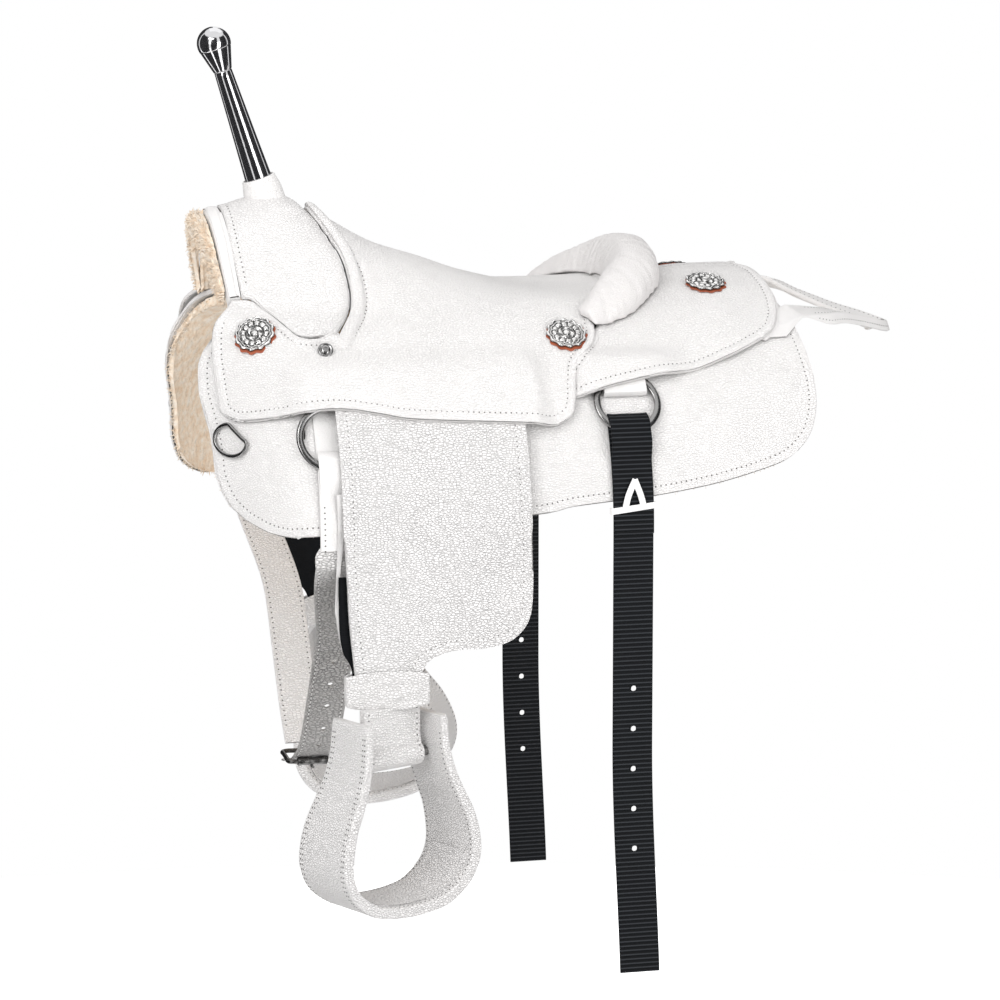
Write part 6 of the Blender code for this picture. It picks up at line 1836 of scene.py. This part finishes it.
# %% Nylon stirrup leathers behind the fenders
STIRRUP_LEATHER = (
    (-0.1890, -0.250), (-0.1885, -0.300), (-0.1850, -0.328), (-0.1760, -0.3465), (-0.1730, -0.3830),
    (-0.1330, -0.3830),
    (-0.1430, -0.335), (-0.1440, -0.300), (-0.1440, -0.250),
)
for word, side in SIDES:
    pivot = fender_pivot(side)
    turn = Matrix.Rotation(-SWING[word], 3, "Y")
    outline = soft_outline(STIRRUP_LEATHER[:5], STIRRUP_LEATHER[4:6], STIRRUP_LEATHER[5:], (STIRRUP_LEATHER[-1], STIRRUP_LEATHER[0]))
    back = NYLON_OUT - NYLON_THICK / 2
    ribbed = lambda u, v, gap: RIB_HIGH * (math.cos(2 * math.pi * v / RIB_PITCH) - 1) / 2 * rise(gap, 0.002, 0.004)
    to_place = lambda u, v, height: pivot + turn @ (Vector((u, side * (back + height), v)) - pivot)
    bm = leather_piece(outline, to_place, NYLON_THICK, rim=0.0007, lift=ribbed)
    dress(word + "_stirrup_leather_webbing", bm, nylon_webbing, word + "_fender_body", [word + "_stirrup_leather"])

# %% [markdown]
# ### Hobble strap and tail
# The hobble strap is a leather band that keeps the fender and its stirrup leather together. On the front
# it is a little deeper, and a plain oval is pressed into it, left without letters here. Below it the
# fender's tail goes round the stirrup's bolt and back up, with a row of stitches on each side.

# %% Hobble straps
HOBBLE_Z, HOBBLE_HEIGHT = -0.3665, 0.0360
OVAL_WIDE, OVAL_HIGH, OVAL_CENTRE = 0.0190, 0.0098, -0.1365


def stadium(x0, x1, y0, y1, count):
    across, deep = (x1 - x0) / 2, (y1 - y0) / 2
    points = []
    for i in range(count):
        a = 2 * math.pi * i / count
        u = math.copysign(abs(math.cos(a)) ** 0.3, math.cos(a))
        v = math.copysign(abs(math.sin(a)) ** 0.3, math.sin(a))
        points.append(Vector((x0 + across * (1 + u), y0 + deep * (1 + v), 0.0)))
    return points


for word, side in SIDES:
    faces = (side * (FENDER_OUT + FENDER_THICK + 0.0008), side * (NYLON_OUT - 0.0018))
    low, high = min(faces), max(faces)
    dense = resample(stadium(-0.1835, -0.0955, low - 0.0028, high + 0.0028, 400), 0.0013, True)[:-1]
    middle = Vector((-0.1395, (low + high) / 2, 0.0))
    count = len(dense)
    rows = []
    for k, (x, y, _) in enumerate(dense):
        ahead, behind = Vector(dense[(k + 1) % count]), Vector(dense[k - 1])
        way = (ahead - behind).normalized()
        out = Vector((way.y, -way.x, 0.0))
        if out.dot(Vector((x, y, 0.0)) - middle) < 0:
            out = -out
        front = side * y > FENDER_OUT + FENDER_THICK
        far_out = min(1.0, ((x + 0.1395) / 0.044) ** 2)
        bow = 0.0050 * (1 - far_out) if front else 0.0
        bottom, top_ = HOBBLE_Z - HOBBLE_HEIGHT / 2 - bow, HOBBLE_Z + HOBBLE_HEIGHT / 2 - 0.0042 * far_out
        row = []
        for i in range(33):
            share = i / 32
            z = bottom + (top_ - bottom) * share
            edge_gap = min(z - bottom, top_ - z)
            swell = -0.0011 * (1 - math.sqrt(max(0.0, 1 - (1 - min(1.0, edge_gap / 0.0014)) ** 2)))
            swell += 0.0004 * math.sin(math.pi * share)
            if front:
                ring_at = math.hypot((x - OVAL_CENTRE) / OVAL_WIDE, (z - HOBBLE_Z + 0.001) / OVAL_HIGH)
                swell += 0.00075 * math.exp(-(((ring_at - 1.0) / 0.085) ** 2)) - 0.00030 * (ring_at < 0.92)
                swell += 0.00035 * math.exp(-(((ring_at - 0.78) / 0.05) ** 2))
            row.append(Vector((x, y, z)) + out * swell)
        for z in (top_ - 0.0006, (top_ + bottom) / 2, bottom + 0.0006):
            row.append(Vector((x, y, z)) - out * 0.0021)
        rows.append(swung(row, word, side))
    bm = bmesh.new()
    grid = [[bm.verts.new(p) for p in row] for row in rows]
    for k in range(count):
        first, second = grid[k], grid[(k + 1) % count]
        for i in range(len(first)):
            j = (i + 1) % len(first)
            bm.faces.new((first[i], first[j], second[j], second[i]))
    bmesh.ops.recalc_face_normals(bm, faces=bm.faces)
    hobble = dress(word + "_hobble_leather", bm, stirrup_finish, word + "_fender_body", [word + "_hobble_strap"])
print("hobble straps made")

# %% Tails round the bolts
TWIST_X, TWIST_Z, STIRRUP_TURN, BOLT_Z, BOLT_RADIUS = -0.137, -0.3860, math.radians(25), -0.4385, 0.0055
TAIL_WIDTH, TAIL_LOOP = 0.072, 0.0130


def stirrup_frame(side):
    along = Vector((-math.cos(STIRRUP_TURN), side * math.sin(STIRRUP_TURN), 0.0))
    outward = Vector((math.sin(STIRRUP_TURN), side * math.cos(STIRRUP_TURN), 0.0))
    return Vector((TWIST_X, side * (FENDER_OUT + FENDER_THICK / 2), BOLT_Z)), along, outward


def slab(outline, frame_, thick, edge=0.0015, steps=4):
    """A flat outline, as thick as thick about its frame's XY plane, with round edges."""
    line = np.array(outline, float)
    ways = np.roll(line, -1, axis=0) - np.roll(line, 1, axis=0)
    out = np.stack([ways[:, 1], -ways[:, 0]], 1) / np.maximum(np.linalg.norm(ways, axis=1), 1e-9)[:, None]
    area = (line[:, 0] * np.roll(line[:, 1], -1) - np.roll(line[:, 0], -1) * line[:, 1]).sum()
    out *= 1 if area > 0 else -1
    levels = []
    for k in range(steps + 1):
        a = math.pi / 2 * k / steps
        levels.append((-thick / 2 + edge * (1 - math.sin(a)), edge * (1 - math.cos(a))))
    levels = levels[::-1]
    levels = [(z, gone) for z, gone in levels]
    half_ = [(-thick / 2 + edge * (1 - math.cos(math.pi / 2 * k / steps)), edge * (1 - math.sin(math.pi / 2 * k / steps))) for k in range(steps + 1)]
    levels = half_ + [(z, gone) for z, gone in ((-thick / 6, 0.0), (thick / 6, 0.0))] + [(-z, gone) for z, gone in reversed(half_)]
    sections = []
    for z, gone in levels:
        sections.append([frame_ @ Vector((x - ox * gone, y - oy * gone, z)) for (x, y), (ox, oy) in zip(line, out)])
    return skin(sections)


def frame_from(origin, x_axis, y_axis):
    x_axis, y_axis = Vector(x_axis).normalized(), Vector(y_axis).normalized()
    return Matrix.Translation(origin) @ Matrix((x_axis, y_axis, x_axis.cross(y_axis))).transposed().to_4x4()


for word, side in SIDES:
    middle, along, outward = stirrup_frame(side)
    neck, end = 0.0050, TWIST_Z - 0.0006
    outline = [(TAIL_LOOP * math.sin(a), BOLT_Z - TAIL_LOOP * math.cos(a)) for a in np.linspace(-2.55, 2.55, 44)]
    for share in (0.25, 0.6, 1.0):
        outline.append((neck + 0.0022 * (1 - share), BOLT_Z + 0.0108 + (0.012) * share))
    outline += [(neck, end - 0.012), (neck, end), (-neck, end), (-neck, end - 0.012)]
    for share in (1.0, 0.6, 0.25):
        outline.append((-neck - 0.0022 * (1 - share), BOLT_Z + 0.0108 + (0.012) * share))
    frame_ = frame_from((middle.x, middle.y, 0.0), outward, (0, 0, 1))
    bm = slab(outline, frame_, TAIL_WIDTH, 0.0018)
    bm.transform(Matrix.Identity(4))
    for vert in bm.verts:
        vert.co = swung([vert.co], word, side)[0]
    dress(word + "_fender_tail_leather", bm, stirrup_finish, word + "_tail_body", [word + "_fender_tail"])
    rows = []
    for edge_at in (-TAIL_WIDTH / 2 + 0.005, TAIL_WIDTH / 2 - 0.005):
        for face in (1, -1):
            spots, ways = [], []
            for z in np.linspace(end - 0.004, BOLT_Z + 0.020, 12):
                spots.append(frame_ @ Vector((face * neck, z, edge_at)))
                ways.append(outward * face)
            for a in np.linspace(2.45, 1.0, 9):
                spots.append(frame_ @ Vector((face * TAIL_LOOP * math.sin(a), BOLT_Z - TAIL_LOOP * math.cos(a), edge_at)))
                ways.append(outward * face * math.sin(a) - Vector((0, 0, 1)) * math.cos(a))
            turn = Matrix.Rotation(-SWING[word], 3, "Y")
            rows.append((swung(spots, word, side), [turn @ way for way in ways]))
    sew(word + "_fender_tail_stitching", rows, word + "_tail_body", word + "_fender_tail_leather")

# %% [markdown]
# ## Stirrups
# A bell stirrup is a bent strap of steel or wood under leather: straight legs that open out to a wide
# tread. It is a rounded section carried down one leg, over the tread and up the other, with the leather
# stitched along both rims. A patch on the tread keeps the boot from slipping.

# %% Stirrup bells
STIRRUP_HALF = (
    (-0.3960, 0.0520), (-0.4300, 0.0545), (-0.4550, 0.0605), (-0.4770, 0.0700), (-0.5015, 0.0815),
    (-0.5290, 0.0880), (-0.5510, 0.0875), (-0.5710, 0.0785), (-0.5860, 0.0620), (-0.5965, 0.0400),
)
STIRRUP_BOTTOM, STIRRUP_LEG_WIDTH, TREAD_WIDTH = -0.6005, 0.062, 0.081
STIRRUP_LEG_THICK, TREAD_THICK, BOLT_REACH, BELL_PIECES = 0.0095, 0.0120, 0.0545, 120
half = [(u, z) for z, u in STIRRUP_HALF]
bell_line = along_curve([*half, (0.0, STIRRUP_BOTTOM), *[(-u, z) for u, z in reversed(half)]], even(BELL_PIECES))


def bell_at(i):
    """The stirrup's outer line at a station: the point, the way in, its width and its thickness."""
    at = bell_line[i]
    way = (bell_line[min(i + 1, BELL_PIECES)] - bell_line[max(i - 1, 0)]).normalized()
    way_in = Vector((-way.y, way.x, 0.0))
    if way_in.dot(Vector((0.0, -0.50, 0.0)) - at) < 0:
        way_in = -way_in
    low = rise(-at.y, 0.40, 0.54)
    wide = STIRRUP_LEG_WIDTH + (TREAD_WIDTH - STIRRUP_LEG_WIDTH) * low
    return at, way_in, wide, STIRRUP_LEG_THICK + (TREAD_THICK - STIRRUP_LEG_THICK) * low


for word, side in SIDES:
    middle, along, outward = stirrup_frame(side)

    def in_stirrup(flat, across):
        return Vector((middle.x, middle.y, flat.y)) + along * flat.x + outward * across

    sections, rows = [], {key: [] for key in ((-1, 0, 0.0042), (1, 0, 0.0042), (-1, 1, 0.0042), (1, 1, 0.0042), (-1, 0, 0.0075), (1, 0, 0.0075))}
    for i in range(BELL_PIECES + 1):
        at, way_in, wide, thick = bell_at(i)
        tip = min(i, BELL_PIECES - i)
        slim = 0.0012 * (1 - rise(tip, -0.5, 1.5))
        corners = []
        for across, deep in ((-0.5, 0.0), (0.5, 0.0), (0.5, 1.0), (-0.5, 1.0)):
            spot_ = at + way_in * (slim + (thick - 2 * slim) * deep)
            corners.append(in_stirrup(spot_, across * (wide - 2 * slim)))
        section = round_corners(corners, 0.0028, 4)
        section = swung(section, word, side)
        sections.append(section)
        for (edge_side, inside_, inset), row in rows.items():
            spot_ = at + way_in * (thick if inside_ else 0.0)
            way = way_in if inside_ else -way_in
            row.append((in_stirrup(spot_, edge_side * (wide / 2 - inset)), along * way.x + Vector((0, 0, way.y))))
    bell = dress(word + "_stirrup_leather_cover", skin(sections), stirrup_finish, word + "_stirrup_body", [word + "_stirrup"])
    turn = Matrix.Rotation(-SWING[word], 3, "Y")
    runs = []
    for row in rows.values():
        spots = swung([p for p, _ in row[3:-3]], word, side)
        runs.append((spots, [turn @ way for _, way in row[3:-3]]))
    sew(word + "_stirrup_stitching", runs, word + "_stirrup_body", word + "_stirrup_leather_cover", pitch=0.0055)
    patch_outline = []
    for a in np.linspace(0, 2 * math.pi, 72, endpoint=False):
        u = math.copysign(abs(math.cos(a)) ** 0.25, math.cos(a))
        v = math.copysign(abs(math.sin(a)) ** 0.25, math.sin(a))
        patch_outline.append((0.050 * u, 0.031 * v))

    def on_tread(u, v, height):
        share = 0.5 + u / 0.24
        at_ = share * BELL_PIECES
        i = int(at_)
        at, way_in, _, thick = bell_at(i)
        next_at = bell_line[min(i + 1, BELL_PIECES)]
        flat = at.lerp(next_at, at_ - i) + way_in * (thick + 0.0001 + height)
        return swung([in_stirrup(flat, v)], word, side)[0]

    bm = leather_piece(patch_outline, on_tread, 0.0014, rim=0.0005)
    dress(word + "_stirrup_tread_patch", bm, stirrup_finish, word + "_stirrup_body")

# %% Stirrup bolts
for word, side in SIDES:
    middle, along, outward = stirrup_frame(side)
    at = standing(middle, along)
    profile = [(0.0, BOLT_REACH), (BOLT_RADIUS - 0.0012, BOLT_REACH), (BOLT_RADIUS * 0.98, BOLT_REACH - 0.001), (BOLT_RADIUS * 0.98, 0.0)]
    profile += [(radius, -height) for radius, height in reversed(profile[:-1])]
    bm = turned(profile, at, 40)
    for vert in bm.verts:
        vert.co = swung([vert.co], word, side)[0]
    dress(word + "_stirrup_bolt_steel", bm, ring_steel, word + "_stirrup_body", [word + "_stirrup_bolt"])
print("stirrups made")

# %% [markdown]
# ## Conchos and screws
# Conchos are stamped silver discs that cover the screws holding the covers to the tree. The stamping is
# a height for each place on the disc: a rope edge, a ring of petals and a small flower in the middle. A
# scalloped rosette of red-brown leather lies under each one.

# %% Conchos
CONCHO_RADIUS, CONCHO_THICK, CONCHO_LIFT = 0.0205, 0.0030, 0.0014
CONCHO_SPOTS = (
    ("front", -0.2507, 0.1316, seat_top), ("middle", 0.0752, 0.1416, seat_top), ("rear", 0.2500, 0.0640, rear_jockey_top),
)


def stamped(share, a):
    """The relief of a concho at a share of its radius, from 0 to 1."""
    dish = 0.58 - 0.16 * share**2
    scallop = 0.42 * math.exp(-(((share - 0.93) / 0.055) ** 2)) * (0.55 + 0.45 * math.cos(12 * a))
    berry = 0.62 * math.exp(-(((share - 0.80) / 0.052) ** 2)) * max(0.0, math.cos(12 * a + math.pi)) ** 0.6
    petal = abs(math.cos(6 * a))
    ring_ = math.exp(-(((share - 0.60) / 0.11) ** 2))
    petals = 0.60 * ring_ * petal**0.8 - 0.62 * ring_ * (petal < 0.38) - 0.22 * ring_ * (abs(math.sin(6 * a)) < 0.10)
    curl = 0.50 * math.exp(-(((share - 0.33) / 0.09) ** 2)) * math.sin(4 * a + 9 * share)
    groove = -0.55 * math.exp(-(((share - 0.455) / 0.028) ** 2)) - 0.46 * math.exp(-(((share - 0.745) / 0.022) ** 2))
    groove -= 0.40 * math.exp(-(((share - 0.868) / 0.018) ** 2)) + 0.50 * math.exp(-(((share - 0.19) / 0.022) ** 2))
    heart = 0.50 * math.sqrt(max(0.0, 1 - (share / 0.16) ** 2)) if share < 0.16 else 0.0
    return dish + scallop + berry + petals + curl + groove + heart


def disc(name, frame_, radius, lobes, depth, base, relief, look, replaced=(), around=192, rings=44, high=0.0018):
    bm = bmesh.new()
    value = bm.verts.layers.float.new("relief")
    centre = bm.verts.new(frame_ @ Vector((0.0, 0.0, base + depth * 0.6 + high * relief(0.0, 0.0))))
    centre[value] = relief(0.0, 0.0)
    rows = []
    for r in range(1, rings + 1):
        share, row = r / rings, []
        for k in range(around):
            a = 2 * math.pi * k / around
            reach = radius * share * (1 + (lobes[0] * math.cos(lobes[1] * a)) * share**3)
            z = base + depth * 0.6 + high * relief(share, a)
            vert = bm.verts.new(frame_ @ Vector((reach * math.cos(a), reach * math.sin(a), z)))
            vert[value] = relief(share, a)
            row.append(vert)
        rows.append(row)
    for drop, shrink in ((depth * 0.25, 1.012), (0.0, 0.99)):
        row = []
        for k in range(around):
            a = 2 * math.pi * k / around
            reach = radius * shrink * (1 + lobes[0] * math.cos(lobes[1] * a))
            row.append(bm.verts.new(frame_ @ Vector((reach * math.cos(a), reach * math.sin(a), base + drop))))
        rows.append(row)
    for k in range(around):
        bm.faces.new((centre, rows[0][k], rows[0][(k + 1) % around]))
    for low, high_ in zip(rows, rows[1:]):
        for k in range(around):
            j = (k + 1) % around
            bm.faces.new((low[k], high_[k], high_[j], low[j]))
    bm.faces.new(rows[-1])
    bmesh.ops.recalc_face_normals(bm, faces=bm.faces)
    return dress(name, bm, look, "saddle", replaced, smooth=math.radians(60))


for word, side in SIDES:
    for spot_name, x, s, top in CONCHO_SPOTS:
        here, across, up, out = surface_frame(x, side * s, top)
        frame_ = frame_from(here, across, up)
        if (frame_.to_3x3() @ Vector((0, 0, 1))).dot(out) < 0:
            frame_ = frame_from(here, -across, up)
        name = word + "_" + spot_name + "_concho"
        disc(name + "_silver", frame_, CONCHO_RADIUS, (0.045, 12), 0.0018, CONCHO_LIFT, stamped, silver, [name])
        offset = frame_ @ Matrix.Translation((0.0006, -0.0018, 0.0))
        flat = lambda share, a: 0.1 + 0.08 * math.cos(24 * a) * share**4
        disc(name + "_rosette", offset, CONCHO_RADIUS * 1.045, (0.05, 12), 0.0012, -0.0002, flat, rosette_leather, rings=6, high=0.0004)

# %% Screws at the front of the seat
SCREW_X, SCREW_S = -0.1845, 0.1553
for word, side in SIDES:
    here, across, up, out = surface_frame(SCREW_X, side * SCREW_S, seat_top)
    at = standing(here + out * 0.0028, out * 0.5 + Vector((-0.15, side * 0.85, 0.2)))
    washer = [(0.0, 0.0), (0.0078, 0.0), (0.0080, 0.0009), (0.0074, 0.0015), (0.0062, 0.0016), (0.0057, 0.0011), (0.0050, 0.0011), (0.0, 0.0011)]
    dress(word + "_seat_washer", turned(washer, at, 48), ring_steel, "saddle")
    head = [(0.0, 0.0008), (0.0046, 0.0008), (0.0047, 0.0019), (0.0040, 0.0025), (0.0026, 0.0027), (0.0024, 0.0017), (0.0, 0.0017)]
    dress(word + "_seat_screw", turned(head, at, 48), ring_steel, "saddle")
print("conchos and screws made")

# %% [markdown]
# ## Small leathers at the front rigging
# A leather tab lies on the skirt behind each front ring and goes down through a slot in the skirt; the
# slot is a flat dark oval, painted shade. A narrow strip tapers down from the girth loop along the front
# edge of the fender.

# %% Rigging tabs and tapered strips
STRIP = (
    (-0.1900, -0.1650), (-0.1891, -0.2105), (-0.1918, -0.2736), (-0.1917, -0.2902), (-0.1860, -0.3238),
    (-0.1745, -0.3450),
    (-0.1700, -0.3462), (-0.1799, -0.3294), (-0.1876, -0.2862), (-0.1868, -0.2530), (-0.1830, -0.2108),
    (-0.1820, -0.1650),
)
# The slot's colour is near black: painted shade for the opening.
slot_shade_look, tree, shader = finish_tree("cut_leather_slot", 0.9)
colour_from(tree, shader, ramp(tree, cloud(tree, 200.0), (0.3, (0.018, 0.017, 0.016)), (0.7, (0.045, 0.042, 0.040))))
for word, side in SIDES:
    rail = [place(0, side * (0.203 + 0.062 * i / 12), SKIRT_TOP + 0.0010) for i in range(13)]
    bm = strap_skin([(p.y, p.z) for p in rail], RING_X["front"] + 0.0060, 0.0440, 0.0014, rounded_tip=0.008)
    dress(word + "_front_ring_tab_leather", bm, smooth_leather, "saddle")
    # The slot is a flat dark oval laid on the skirt: painted shade.
    bm = bmesh.new()
    here, across, up, out = surface_frame(-0.2165, side * 0.2330, skirt_top)
    flat = frame_from(here + out * 0.0012, across, up) @ Matrix.Rotation(math.radians(-12 * side), 4, "Z") @ Matrix.Diagonal((0.0020, 0.0085, 0.0006, 1.0))
    bmesh.ops.create_uvsphere(bm, u_segments=24, v_segments=12, radius=1.0, matrix=flat)
    dress(word + "_skirt_slot_shade", bm, slot_shade_look, "saddle")
outline = soft_outline(STRIP[:6], STRIP[5:7], STRIP[6:], (STRIP[-1], STRIP[0]))
to_place = lambda u, v, height: Vector((u, -(STRAP_OUT + 2 * GIRTH_THICK + 0.0003 + height), v))
bm = leather_piece(outline, to_place, 0.0016, rim=0.0006)
dress("near_girth_keeper_leather", bm, smooth_leather, "saddle")
